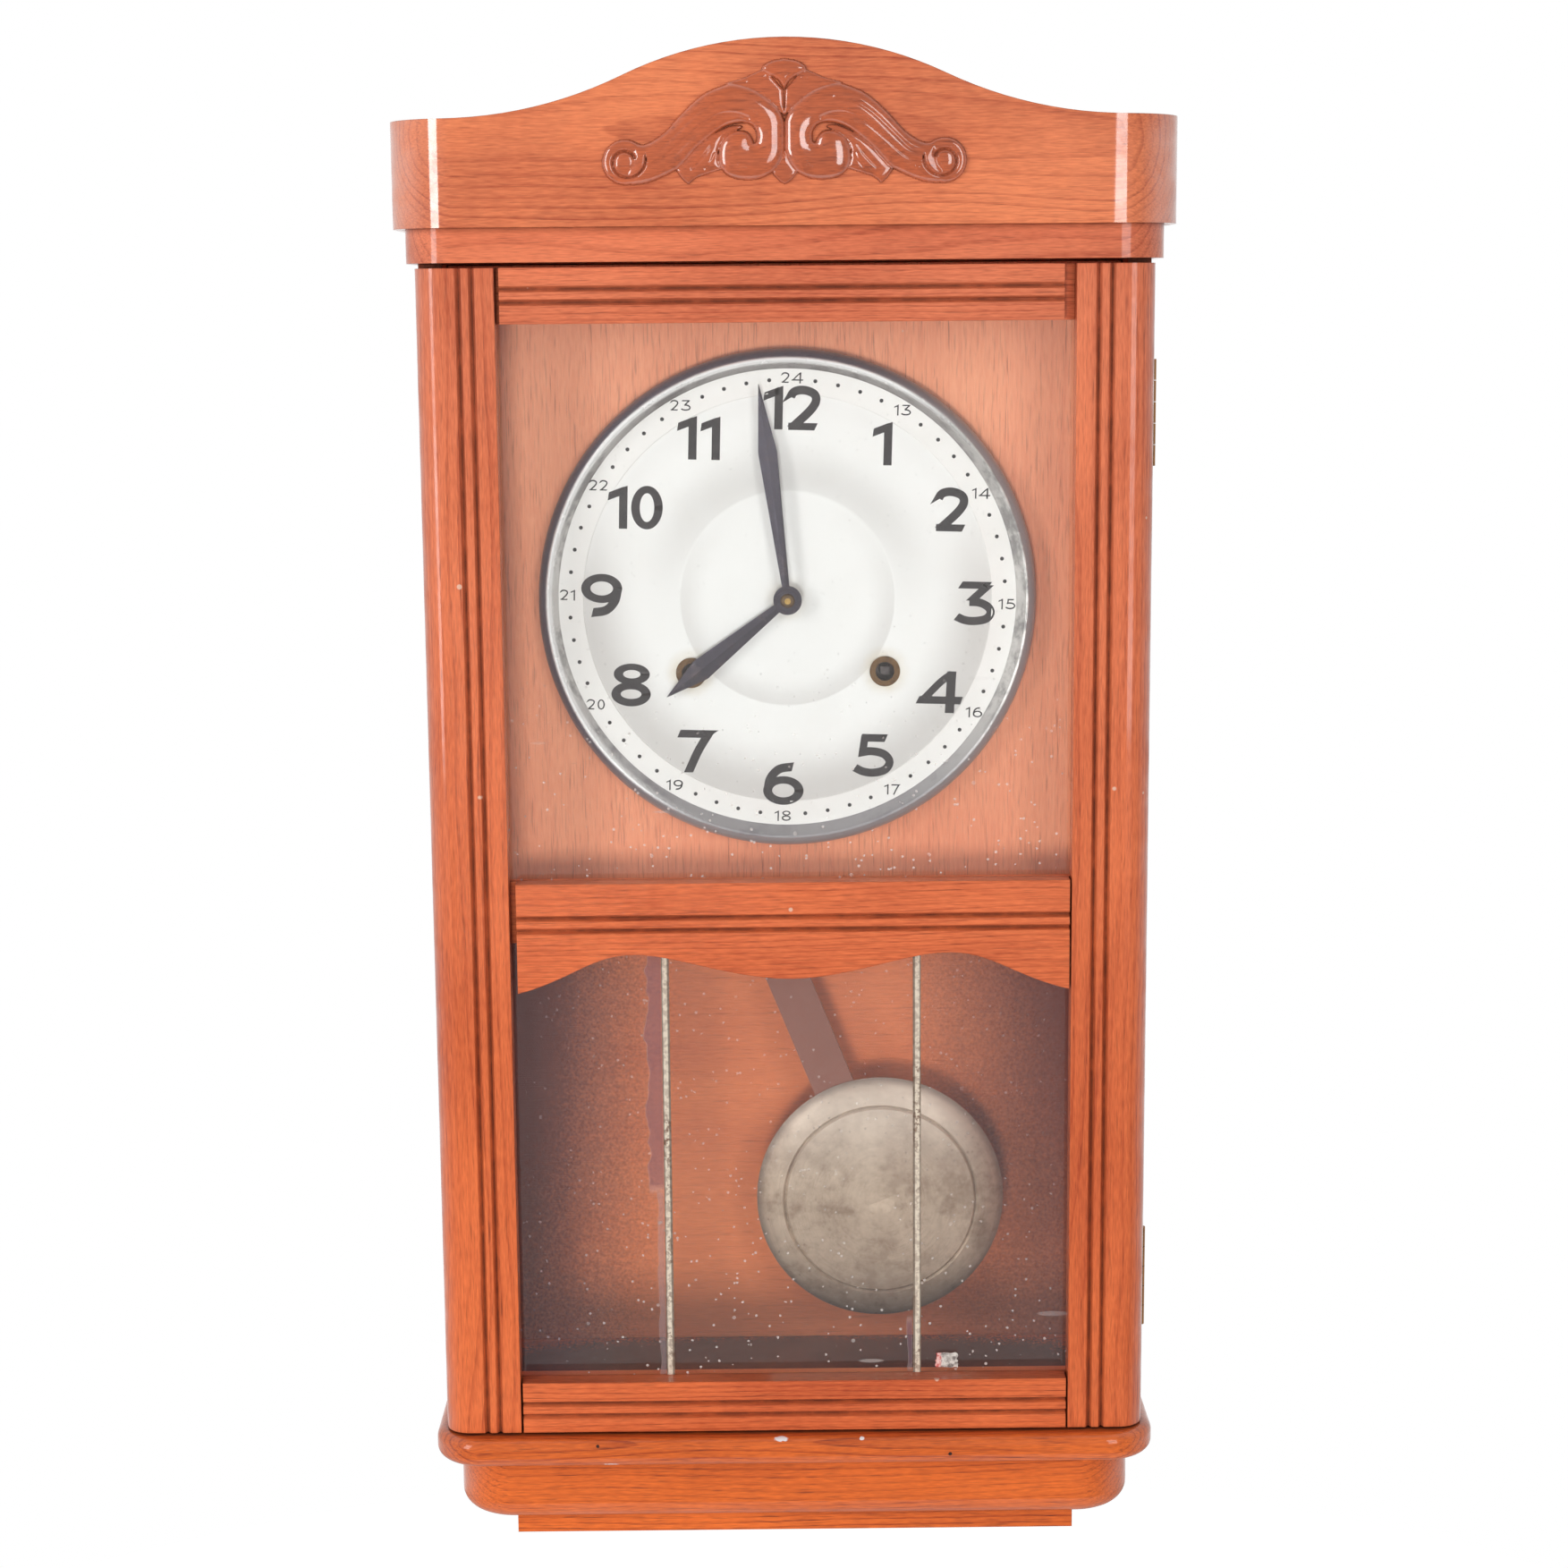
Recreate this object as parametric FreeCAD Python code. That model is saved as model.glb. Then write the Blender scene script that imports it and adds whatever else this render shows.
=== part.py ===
import FreeCAD, Part
import math
import os

V = FreeCAD.Vector

# Pendulum wall clock: a glazed wooden case with a full-width door, a silvered dial and a
# striking movement of two trains. Millimetres. X runs to the viewer's right, Y from the
# viewer into the wall, Z up. The origin is the centre of the hanger hole, on the back plane.
# Heights are measured from the underside of the foot; level() turns them into Z.

# ---- case ----
CASE_WIDTH = 307.0
CASE_DEPTH = 103.5
CASE_HEIGHT = 507.0
SIDE_THICKNESS = 10.0
BACK_THICKNESS = 6.0
HANGER_DROP = 30.0
HANGER_HOLE_RADIUS = 4.5
HANGER_WIDTH = 34.0
HANGER_TALL = 30.0
HANGER_THICKNESS = 1.5
NAIL_HEAD_RADIUS = 8.5

# ---- base ----
FOOT_WIDTH = 247.0
FOOT_HEIGHT = 9.0
FOOT_SETBACK = 11.0
BLOCK_WIDTH = 298.0
BLOCK_HEIGHT = 28.5
BLOCK_SETBACK = 2.0
BLOCK_CORNER = 25.0
BLOCK_ROUND = 8.0
SHELF_OVERHANG = 5.0
SHELF_FRONT = 8.0
SHELF_THICKNESS = 12.5
SHELF_CORNER = 22.0
SHELF_ROUND = 4.5

# ---- crown ----
TOP_OVERHANG = 4.0
TOP_THICKNESS = 14.0
TOP_CORNER = 20.0
CROWN_OVERHANG = 9.5
CROWN_SHOULDER = 43.5
CROWN_RISE = 31.0
CROWN_THICKNESS = 20.0
CROWN_CORNER = 30.0
CROWN_ARCH_RADIUS = 155.0
CROWN_FLANK_ANGLE = 25.0
CROWN_RETURN_THICKNESS = 12.0
CROWN_JOINT = 3.0

# ---- carved ornament on the crown ----
CREST_RISE = 16.1
CREST_RELIEF = 2.4
CREST_VOLUTE_OFFSET = 64.6
CREST_VOLUTE_RISE = 9.4
CREST_VOLUTE_RADIUS = 9.2
CREST_VOLUTE_RELIEF = 2.9
CREST_EYE_RADIUS = 4.4
CREST_EDGE = 1.2
CREST_LOBE_OFFSET = 12.9
CREST_LOBE_RISE = 13.4
CREST_LOBE_RADIUS = 10.6
CREST_LOBE_RELIEF = 3.7
CREST_PETAL_RELIEF = 1.4
CREST_BUD_RELIEF = 2.8

# ---- door ----
DOOR_GAP = 0.5
DOOR_THICKNESS = 22.0
DOOR_FOOT_GAP = 1.0
DOOR_HEAD_GAP = 2.0
STILE_WIDTH = 33.5
STILE_CORNER = 11.0
FLUTE_WIDTH = 2.6
FLUTE_DEPTH = 2.2
FLUTE_BEAD = 2.9
FLUTE_LAND = 8.0
TOP_RAIL = 23.0
MID_RAIL = 27.0
MID_RAIL_LEVEL = 296.5
BOTTOM_RAIL = 22.7
RAIL_FACING = 8.0
TOP_FACING_GAPS = (2.0, 5.0)
MID_FACING_GAPS = (3.0, 0.8)
BOTTOM_FACING_GAPS = (1.0, 0.8)
TOP_GROOVE_DROP = 7.4
MID_GROOVE_DROP = 13.6
BOTTOM_GROOVE_DROP = 8.5
APRON_GAP = 0.2
APRON_TIP_DROP = 47.5
APRON_ARCH_DROP = 31.8
APRON_CENTRE_DROP = 42.0
APRON_ARCH_OFFSET = 76.0
REBATE = 6.0
REBATE_LIP = 10.0
GLASS_THICKNESS = 2.5
GLASS_CLEARANCE = 0.5
BEAD_WIDTH = 5.0
BEAD_DEPTH = 6.0
STRIP_WIDTH = 3.4
STRIP_THICKNESS = 0.8
STRIP_OFFSET = 54.3

# ---- hinges and catch ----
HINGE_AXIS_OUT = 0.5
HINGE_RADIUS = 2.0
HINGE_PIN_RADIUS = 1.0
HINGE_LENGTH = 45.0
HINGE_INSET = 62.0
HINGE_LEAF = 1.2
HINGE_LEAF_WIDTH = 8.5
HINGE_PLAY = 0.05
KNUCKLE_GAP = 0.3
CATCH_LEVEL = 300.0
CATCH_STUD_RADIUS = 1.8
CATCH_SHEET = 0.8
CATCH_SPRING_LENGTH = 14.0
CATCH_STUD_LENGTH = 11.0
CATCH_CLEARANCE = 0.3

# ---- dial ----
DIAL_LEVEL = 413.7
DIAL_BOARD_SETBACK = 18.0
DIAL_BOARD_THICKNESS = 8.0
DIAL_BOARD_FOOT = 275.0
DIAL_BOARD_PLAY = 0.5
DIAL_RADIUS = 99.5
DIAL_SHEET = 0.7
DIAL_STANDOFF = 3.2
DIAL_TRACK_RADIUS = 88.0
DIAL_DISC_RADIUS = 46.0
DIAL_DISH = 2.0
DIAL_STEP = 0.25
DIAL_HOLE = 4.6
BEZEL_RADIUS = 107.0
BEZEL_SIGHT = 98.7
BEZEL_HEIGHT = 10.5
BEZEL_CREST_RADIUS = 103.2
BEZEL_FOOT = 3.0
BEZEL_EASE = 0.4
EYELET_RADIUS = 6.6
EYELET_BORE = 5.0
EYELET_RIM = 0.9
EYELET_PROUD = 0.25
EYELET_TAIL = 1.5

# ---- movement ----
MOTION_SPACE = 8.0
PLATE_THICKNESS = 1.8
PLATE_SPACING = 30.0
PLATE_WIDTH = 124.0
PLATE_BELOW = 72.0
PLATE_ABOVE = 60.0
PILLAR_RADIUS = 3.0
PILLAR_INSET = 6.0
PIVOT_RADIUS = 0.8
PIVOT_PLAY = 0.05
ARBOR_RADIUS = 1.3
ARBOR_SHAKE = 0.2
WIND_OFFSET = 42.0
WIND_DROP = 31.7
WIND_ARBOR_RADIUS = 2.6
WIND_SQUARE = 3.6
WIND_REACH = 2.0
BARREL_RADIUS = 23.5
BARREL_LENGTH = 17.0
RATCHET_TEETH = 16
RATCHET_RADIUS = 8.5
RATCHET_ROOT = 7.2
RATCHET_THICKNESS = 2.0
RATCHET_GAP = 0.3
RATCHET_LEAN = 0.26
TOOTH_TIP = 0.12
CLICK_BOSS = 2.6
CLICK_GAP = 0.35
CLICK_NOSE = 12.0
STUD_END = 1.2
ARBOR_END = 0.3
BARREL_LID = 0.8
SEAT_THICKNESS = 12.0
SEAT_SHORT = 1.6
CLEAT = 12.0

# ---- wheelwork: teeth and modules ----
GREAT_TEETH = 48
GREAT_MODULE = 1.3
SECOND_PINION = 12
SECOND_TEETH = 36
SECOND_MODULE = 1.1
CENTRE_PINION = 12
CENTRE_TEETH = 54
CENTRE_MODULE = 0.75
THIRD_PINION = 6
THIRD_TEETH = 60
THIRD_MODULE = 0.6
ESCAPE_PINION = 6
ESCAPE_TEETH = 34
ESCAPE_RADIUS = 16.0
ESCAPE_ROOT = 13.2
ESCAPE_LEAN = 0.1
ESCAPE_ARBOR_RADIUS = 1.0
ANCHOR_SHEET = 2.5
ANCHOR_BAND = 1.7
ANCHOR_CLEAR = 1.2
ESCAPE_RISE = 26.0
ANCHOR_RISE = 21.0
STRIKE_TEETH = 40
STRIKE_MODULE = 0.9
STRIKE_PINION = 8
WARN_TEETH = 30
WARN_MODULE = 0.9
FLY_PINION = 8
CANNON_TEETH = 12
MOTION_TEETH = 36
MOTION_MODULE = 0.85
MOTION_PINION = 10
HOUR_TEETH = 40
MOTION_ANGLE = 60.0
WHEEL_THICKNESS = 1.5
GREAT_THICKNESS = 2.5
THIN_WHEEL = 1.3
PINION_LENGTH = 3.9
LONG_PINION = 4.6
SHORT_PINION = 3.5
PINION_AHEAD = 1.1
MOTION_SHEET = 1.4
MOTION_PINION_LENGTH = 3.1
CANNON_GAP = 0.5
CANNON_LENGTH = 2.4
HOUR_WHEEL_GAP = 0.9
FLY_SPAN = 9.0
FLY_LENGTH = 14.0
FLY_SHEET = 0.8
WHEEL_FORM = (0.85, 1.2, 0.20, 0.56)
FULL_LEAF = (0.75, 1.2, 0.22, 0.52)
EIGHT_LEAF = (0.65, 1.2, 0.22, 0.46)
SIX_LEAF = (0.6, 1.15, 0.22, 0.42)

# ---- hands ----
MINUTE_TURN = -7.2
HOUR_TURN = 231.5
MINUTE_LENGTH = 93.0
HOUR_LENGTH = 67.0
HAND_THICKNESS = 0.8
HAND_RIDGE = 1.3
HAND_TIP_WIDTH = 0.3
MINUTE_WIDTH = 8.1
MINUTE_WAIST = 0.69
MINUTE_NECK = 3.1
HOUR_WIDTH = 9.8
HOUR_WAIST = 0.72
HOUR_NECK = 3.9
HAND_COLLAR_RADIUS = 4.7
HAND_COLLAR = 0.5
HAND_NUT_RADIUS = 3.1
HAND_NUT_HEIGHT = 1.7
CANNON_RADIUS = 2.2
HOUR_PIPE_RADIUS = 3.3
HAND_HUB_RADIUS = 6.1
HAND_GAP = 2.2

# ---- pendulum ----
PENDULUM_SETBACK = 7.4
PENDULUM_TILT = 21.9
HOOK_LEVEL = 262.0
HOOK_OFFSET = -12.7
ROD_TO_BOB = 145.2
ROD_WIDTH = 19.0
ROD_THICKNESS = 4.0
ROD_NECK = 8.0
SCREW_REACH = 26.0
HUB_ABOVE = 15.0
HUB_BELOW = 10.0
HUB_SIDE = 4.0
HUB_SLACK = 0.3
BOB_RADIUS = 57.5
BOB_DOME = 6.5
BOB_WALL = 1.0
BOB_RING_RADIUS = 44.5
BOB_RING_HALF = 1.0
BOB_CROWN = 1.6
BORDER_SAG = 0.3
LEADER_RADIUS = 1.25
CRUTCH_LENGTH = 42.0
CRUTCH_WIRE = 1.5
CRUTCH_PRONG = 1.0
CRUTCH_PLAY = 0.4
COCK_WIDTH = 18.0
COCK_ARM_WIDTH = 8.0
COCK_SHEET = 2.0
EYE_RADIUS = 3.2
EYE_THICKNESS = 3.0
YOKE_WIDTH = 3.2
YOKE_SHEET = 1.4
YOKE_PLAY = 0.4
HOOK_PIN_RADIUS = 1.2
HOOK_PLAY = 0.07
RATING_THREAD_RADIUS = 1.5
RATING_NUT_RADIUS = 6.0
RATING_NUT_HEIGHT = 4.0
NUT_GAP = 0.2

# ---- gong and hammer ----
GONG_EDGE = 48.5
GONG_LEVEL = 470.0
GONG_ROD_RADIUS = 1.6
GONG_ROD_LENGTH = 165.0
GONG_ROD_SPACING = 9.0
GONG_TUNING = (1.0, 0.94, 0.88)
GONG_STAND = 11.0
GONG_BLOCK = (34.0, 14.0, 14.0)
HAMMER_GAP = 1.4
HAMMER_BOSS = 4.0
HAMMER_BOSS_RADIUS = 3.4
HAMMER_WIRE = 1.5
HAMMER_LENGTH = 14.0
HAMMER_HEAD_RADIUS = 4.5
HAMMER_DROP = 34.0
STAR_POINTS = 8
STAR_RADIUS = 7.0
STAR_ROOT = 4.6
STAR_THICKNESS = 2.0
STAR_CLEARANCE = 0.4

# ---- derived levels ----
SHELF_TOP = FOOT_HEIGHT + BLOCK_HEIGHT + SHELF_THICKNESS
CASE_TOP = SHELF_TOP + CASE_HEIGHT
CROWN_FOOT = CASE_TOP + TOP_THICKNESS
CREST_LEVEL = CROWN_FOOT + CREST_RISE
HANGER_LEVEL = CASE_TOP - HANGER_DROP
DOOR_FOOT = SHELF_TOP + DOOR_FOOT_GAP
DOOR_HEAD = CASE_TOP - DOOR_HEAD_GAP
SUSPENSION_LEVEL = DIAL_LEVEL + ESCAPE_RISE + ANCHOR_RISE
SEAT_TOP = DIAL_LEVEL - PLATE_BELOW
CROWN_FRONT = -CASE_DEPTH - DOOR_GAP - DOOR_THICKNESS - CROWN_OVERHANG

# ---- derived depths, Y grows into the wall ----
HALF_WIDTH = CASE_WIDTH / 2
INNER_HALF = HALF_WIDTH - SIDE_THICKNESS
GONG_OFFSET = INNER_HALF - GONG_EDGE
DOOR_BACK = -CASE_DEPTH - DOOR_GAP
DOOR_FRONT = DOOR_BACK - DOOR_THICKNESS
BOARD_FRONT = -CASE_DEPTH + DIAL_BOARD_SETBACK
BOARD_BACK = BOARD_FRONT + DIAL_BOARD_THICKNESS
PLATE_FRONT = BOARD_BACK + MOTION_SPACE
TRAIN_FRONT = PLATE_FRONT + PLATE_THICKNESS
TRAIN_BACK = TRAIN_FRONT + PLATE_SPACING
PLATE_BACK = TRAIN_BACK + PLATE_THICKNESS
SEAT_DEPTH = PLATE_BACK - BOARD_BACK - SEAT_SHORT
PENDULUM_Y = PLATE_BACK + PENDULUM_SETBACK
GLASS_FRONT = DOOR_FRONT + REBATE_LIP
GLASS_BACK = GLASS_FRONT + GLASS_THICKNESS
APRON_THICKNESS = REBATE_LIP - STRIP_THICKNESS - APRON_GAP
DIAL_FACE = BOARD_FRONT - DIAL_STANDOFF
HINGE_X = HALF_WIDTH + HINGE_AXIS_OUT
STILE_INNER = HALF_WIDTH - STILE_WIDTH

# ---- axial places of the wheels, behind the front plate's inner face ----
GREAT_AT = PLATE_SPACING - 5.8
SECOND_PINION_AT = PLATE_SPACING - 7.0
SECOND_AT = 2.7
CENTRE_AT = 11.7
THIRD_AT = 18.7
ESCAPE_AT = 6.7
WARN_AT = 20.7
STRIKE_SECOND_AT = 2.7
FLY_VANES_AT = 5.0
BARREL_AT = GREAT_AT - BARREL_LENGTH


def level(height):
    """Z of a height above the foot."""
    return height - HANGER_LEVEL


DIAL_Z = level(DIAL_LEVEL)
SUSPENSION_Z = level(SUSPENSION_LEVEL)


# ---- small builders ----
def box(x0, x1, y0, y1, z0, z1):
    """Box between two corners, given as low and high values."""
    return Part.makeBox(x1 - x0, y1 - y0, z1 - z0, V(x0, y0, z0))


def rod_y(x, z, y0, y1, radius):
    """Cylinder along Y."""
    return Part.makeCylinder(radius, y1 - y0, V(x, y0, z), V(0, 1, 0))


def rod_z(x, y, z0, z1, radius):
    """Cylinder along Z."""
    return Part.makeCylinder(radius, z1 - z0, V(x, y, z0), V(0, 0, 1))


def fuse(shapes):
    """One solid from overlapping or touching solids."""
    return shapes[0].multiFuse(shapes[1:]).removeSplitter()


def group(shapes):
    """Separate solids that share a node."""
    return Part.makeCompound(shapes)


def polygon_xz(points, y0, y1):
    """Prism along Y over an outline in X and Z."""
    ring = [V(x, y0, z) for x, z in points]
    return Part.Face(Part.makePolygon(ring + ring[:1])).extrude(V(0, y1 - y0, 0))


def polygon_xy(points, z0, z1):
    """Prism along Z over an outline in X and Y."""
    ring = [V(x, y, z0) for x, y in points]
    return Part.Face(Part.makePolygon(ring + ring[:1])).extrude(V(0, 0, z1 - z0))


def turned(profile, x, z):
    """Solid of revolution about a Y axis; the profile is (radius, y) pairs."""
    ring = [V(x + radius, y, z) for radius, y in profile]
    return Part.Face(Part.makePolygon(ring + ring[:1])).revolve(V(x, 0, z), V(0, 1, 0), 360)


def curve_edges(strokes, point):
    """Edges of an outline: a stroke of two pairs is a line, one of three is an arc through them."""
    edges = []
    for stroke in strokes:
        ends = [point(*pair) for pair in stroke]
        curve = Part.LineSegment(*ends) if len(ends) == 2 else Part.Arc(*ends)
        edges.append(curve.toShape())
    return edges


def turned_curve(strokes, x, z):
    """Solid of revolution about a Y axis; the strokes are lines and arcs of (radius, y) pairs."""
    wire = Part.Wire(curve_edges(strokes, lambda radius, y: V(x + radius, y, z)))
    return Part.Face(wire).revolve(V(x, 0, z), V(0, 1, 0), 360)


def relief(strokes, x, z, y0, height):
    """Prism towards the viewer over an outline of lines and arcs of (x, z) pairs."""
    wire = Part.Wire(curve_edges(strokes, lambda dx, dz: V(x + dx, y0, z + dz)))
    return Part.Face(wire).extrude(V(0, -height, 0))


def rounded_slab(half, back, front, radius, z0, z1):
    """Slab whose two front corners are rounded in plan."""
    bend = radius * math.sqrt(0.5)
    left = V(-half + radius, front + radius, z0)
    right = V(half - radius, front + radius, z0)
    edges = [
        Part.LineSegment(V(-half, back, z0), V(-half, left.y, z0)).toShape(),
        Part.Arc(V(-half, left.y, z0), left + V(-bend, -bend, 0), V(left.x, front, z0)).toShape(),
        Part.LineSegment(V(left.x, front, z0), V(right.x, front, z0)).toShape(),
        Part.Arc(V(right.x, front, z0), right + V(bend, -bend, 0), V(half, right.y, z0)).toShape(),
        Part.LineSegment(V(half, right.y, z0), V(half, back, z0)).toShape(),
        Part.LineSegment(V(half, back, z0), V(-half, back, z0)).toShape(),
    ]
    return Part.Face(Part.Wire(edges)).extrude(V(0, 0, z1 - z0))


def round_rim(slab, heights, back, radius):
    """Round the edges of a slab that lie at the given heights, but not those along its back."""
    chosen = []
    for edge in slab.Edges:
        bounds = edge.BoundBox
        flat = bounds.ZLength < 0.01
        at_height = any(abs(bounds.ZMax - height) < 0.01 for height in heights)
        at_back = bounds.YMin > back - 0.01
        if flat and at_height and not at_back:
            chosen.append(edge)
    return slab.makeFillet(radius, chosen)


# ---- wheelwork ----
def tooth_ring(teeth, module, form, phase, x, z):
    """Outline of a toothed wheel; the phase is the angle of one tooth's middle."""
    addendum, dedendum, tip, root = form
    pitch_radius = teeth * module / 2
    step = 2 * math.pi / teeth
    corners = (
        (pitch_radius - dedendum * module, -root * step / 2),
        (pitch_radius + addendum * module, -tip * step / 2),
        (pitch_radius + addendum * module, tip * step / 2),
        (pitch_radius - dedendum * module, root * step / 2),
    )
    points = []
    for index in range(teeth):
        middle = phase + index * step
        for radius, offset in corners:
            points.append((x + radius * math.cos(middle + offset), z + radius * math.sin(middle + offset)))
    return points


def gear(teeth, module, form, phase, place, y0, thickness):
    """Toothed disc at a place (x, z), from y0 backwards by its thickness."""
    return polygon_xz(tooth_ring(teeth, module, form, phase, *place), y0, y0 + thickness)


def saw_ring(teeth, tip_radius, root_radius, phase, lean, place, y0, thickness):
    """Disc with slanting saw teeth, as on a ratchet or an escape wheel."""
    step = 2 * math.pi / teeth
    points = []
    for index in range(teeth):
        middle = phase + index * step
        corners = ((root_radius, -0.5), (tip_radius, lean), (tip_radius, lean + TOOTH_TIP))
        for radius, share in corners:
            angle = middle + share * step
            points.append((place[0] + radius * math.cos(angle), place[1] + radius * math.sin(angle)))
    return polygon_xz(points, y0, y0 + thickness)


def bearing(place_a, place_b):
    """Angle of the line from one arbor to another, seen from the front."""
    return math.atan2(place_b[1] - place_a[1], place_b[0] - place_a[0])


def mesh_phase(teeth, towards):
    """Phase that puts a gap on the line towards the other wheel."""
    return towards + math.pi / teeth


def centre_distance(teeth_a, teeth_b, module):
    """Distance between two arbors whose wheels mesh."""
    return (teeth_a + teeth_b) * module / 2


def third_corner(place_a, reach_a, place_b, reach_b, side):
    """Place at two given distances from two others; side is +1 left of the line a to b."""
    span = math.dist(place_a, place_b)
    along = (reach_a ** 2 - reach_b ** 2 + span ** 2) / (2 * span)
    off = side * math.sqrt(reach_a ** 2 - along ** 2)
    ux = (place_b[0] - place_a[0]) / span
    uz = (place_b[1] - place_a[1]) / span
    return (place_a[0] + along * ux - off * uz, place_a[1] + along * uz + off * ux)


def polar(place, distance, degrees):
    """Place at a distance and an angle from another."""
    angle = math.radians(degrees)
    return (place[0] + distance * math.cos(angle), place[1] + distance * math.sin(angle))


# ---- arbor places (x, z) ----
CENTRE = (0.0, DIAL_Z)
TIME_WIND = (WIND_OFFSET, DIAL_Z - WIND_DROP)
STRIKE_WIND = (-WIND_OFFSET, DIAL_Z - WIND_DROP)
GREAT_REACH = centre_distance(GREAT_TEETH, SECOND_PINION, GREAT_MODULE)
SECOND_REACH = centre_distance(SECOND_TEETH, CENTRE_PINION, SECOND_MODULE)
SECOND = third_corner(TIME_WIND, GREAT_REACH, CENTRE, SECOND_REACH, -1)
ESCAPE = (0.0, DIAL_Z + ESCAPE_RISE)
CENTRE_REACH = centre_distance(CENTRE_TEETH, THIRD_PINION, CENTRE_MODULE)
THIRD_REACH = centre_distance(THIRD_TEETH, ESCAPE_PINION, THIRD_MODULE)
THIRD = third_corner(CENTRE, CENTRE_REACH, ESCAPE, THIRD_REACH, 1)
ANCHOR = (0.0, SUSPENSION_Z)
STRIKE_SECOND = polar(STRIKE_WIND, GREAT_REACH, 88.5)
STRIKE_REACH = centre_distance(STRIKE_TEETH, STRIKE_PINION, STRIKE_MODULE)
WARN = polar(STRIKE_SECOND, STRIKE_REACH, 100.0)
FLY_REACH = centre_distance(WARN_TEETH, FLY_PINION, WARN_MODULE)
FLY = polar(WARN, FLY_REACH, 60.0)
MOTION_REACH = centre_distance(CANNON_TEETH, MOTION_TEETH, MOTION_MODULE)
HOUR_MODULE = 2 * MOTION_REACH / (MOTION_PINION + HOUR_TEETH)
MOTION = polar(CENTRE, MOTION_REACH, MOTION_ANGLE)
HAMMER = (-PLATE_WIDTH / 2 + PILLAR_INSET, DIAL_Z - 4.0)
CLICK_OFFSET = (13.0, 6.0)


# ---- case ----
def back_panel():
    """Back between the sides, with the seat of the hanger plate and room for a nail's head."""
    panel = box(-INNER_HALF, INNER_HALF, -BACK_THICKNESS, 0, level(SHELF_TOP), level(CASE_TOP))
    half = HANGER_WIDTH / 2
    seat = box(-half, half, -HANGER_THICKNESS, 0, -HANGER_TALL / 2, HANGER_TALL / 2)
    room = rod_y(0, 0, -BACK_THICKNESS + 1.0, 0, NAIL_HEAD_RADIUS)
    return panel.cut(seat).cut(room)


def hanger_plate():
    """Steel plate let into the back, with the hole that the clock hangs by."""
    half = HANGER_WIDTH / 2
    plate = box(-half, half, -HANGER_THICKNESS, 0, -HANGER_TALL / 2, HANGER_TALL / 2)
    return plate.cut(rod_y(0, 0, -HANGER_THICKNESS - 1, 1, HANGER_HOLE_RADIUS))


def hinge_levels():
    """Z of the middle of each hinge."""
    return (level(DOOR_FOOT + HINGE_INSET), level(DOOR_HEAD - HINGE_INSET))


def knuckle_room(middle):
    """Room that the wood leaves round a hinge's knuckles."""
    half = HINGE_LENGTH / 2 + KNUCKLE_GAP
    return rod_z(HINGE_X, DOOR_BACK, middle - half, middle + half, HINGE_RADIUS + KNUCKLE_GAP)


def leaf_box(y0, y1, middle):
    """A hinge leaf's plate, from the knuckle into the wood."""
    half = HINGE_LENGTH / 2
    return box(HINGE_X - HINGE_LEAF_WIDTH, HINGE_X, y0, y1, middle - half, middle + half)


def case_leaf_at(middle):
    return leaf_box(-CASE_DEPTH, -CASE_DEPTH + HINGE_LEAF, middle)


def door_leaf_at(middle):
    return leaf_box(DOOR_BACK - HINGE_LEAF, DOOR_BACK, middle)


def side(sign):
    """Side board; the right one is cut for the hinges."""
    x0, x1 = sorted((sign * INNER_HALF, sign * HALF_WIDTH))
    board = box(x0, x1, -CASE_DEPTH, 0, level(SHELF_TOP), level(CASE_TOP))
    if sign < 0:
        return board
    for middle in hinge_levels():
        board = board.cut(case_leaf_at(middle)).cut(knuckle_room(middle))
    return board


def knuckles(middle, indices):
    """Knuckle rings of one leaf; five share the hinge's length."""
    pitch = HINGE_LENGTH / 5
    rings = []
    for index in indices:
        low = middle - HINGE_LENGTH / 2 + index * pitch + KNUCKLE_GAP / 2
        rings.append(rod_z(HINGE_X, DOOR_BACK, low, low + pitch - KNUCKLE_GAP, HINGE_RADIUS))
    return rings


def leaf_clear(middle, indices):
    """Gaps that the other leaf's knuckles turn in."""
    pitch = HINGE_LENGTH / 5
    gaps = []
    for index in indices:
        low = middle - HINGE_LENGTH / 2 + index * pitch
        gaps.append(rod_z(HINGE_X, DOOR_BACK, low - KNUCKLE_GAP / 2, low + pitch + KNUCKLE_GAP / 2,
                          HINGE_RADIUS + KNUCKLE_GAP))
    return gaps


def hinge_case_leaves():
    """Case leaves of the two butt hinges, each with three knuckles and the pin."""
    leaves = []
    for middle in hinge_levels():
        plate = case_leaf_at(middle)
        for gap in leaf_clear(middle, (1, 3)):
            plate = plate.cut(gap)
        half = HINGE_LENGTH / 2
        pin = rod_z(HINGE_X, DOOR_BACK, middle - half, middle + half, HINGE_PIN_RADIUS)
        leaves.append(fuse([plate] + knuckles(middle, (0, 2, 4)) + [pin]))
    return group(leaves)


def hinge_door_leaves():
    """Door leaves of the two butt hinges, each with two knuckles bored for the pin."""
    leaves = []
    for middle in hinge_levels():
        plate = door_leaf_at(middle)
        for gap in leaf_clear(middle, (0, 2, 4)):
            plate = plate.cut(gap)
        leaf = fuse([plate] + knuckles(middle, (1, 3)))
        half = HINGE_LENGTH / 2 + 1
        bore = rod_z(HINGE_X, DOOR_BACK, middle - half, middle + half, HINGE_PIN_RADIUS + HINGE_PLAY)
        leaves.append(leaf.cut(bore))
    return group(leaves)


def top_board():
    """Top of the case; its edge shows as the step under the crown."""
    front = DOOR_FRONT - TOP_OVERHANG
    return rounded_slab(HALF_WIDTH + TOP_OVERHANG, 0, front, TOP_CORNER, level(CASE_TOP), level(CROWN_FOOT))


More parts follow.
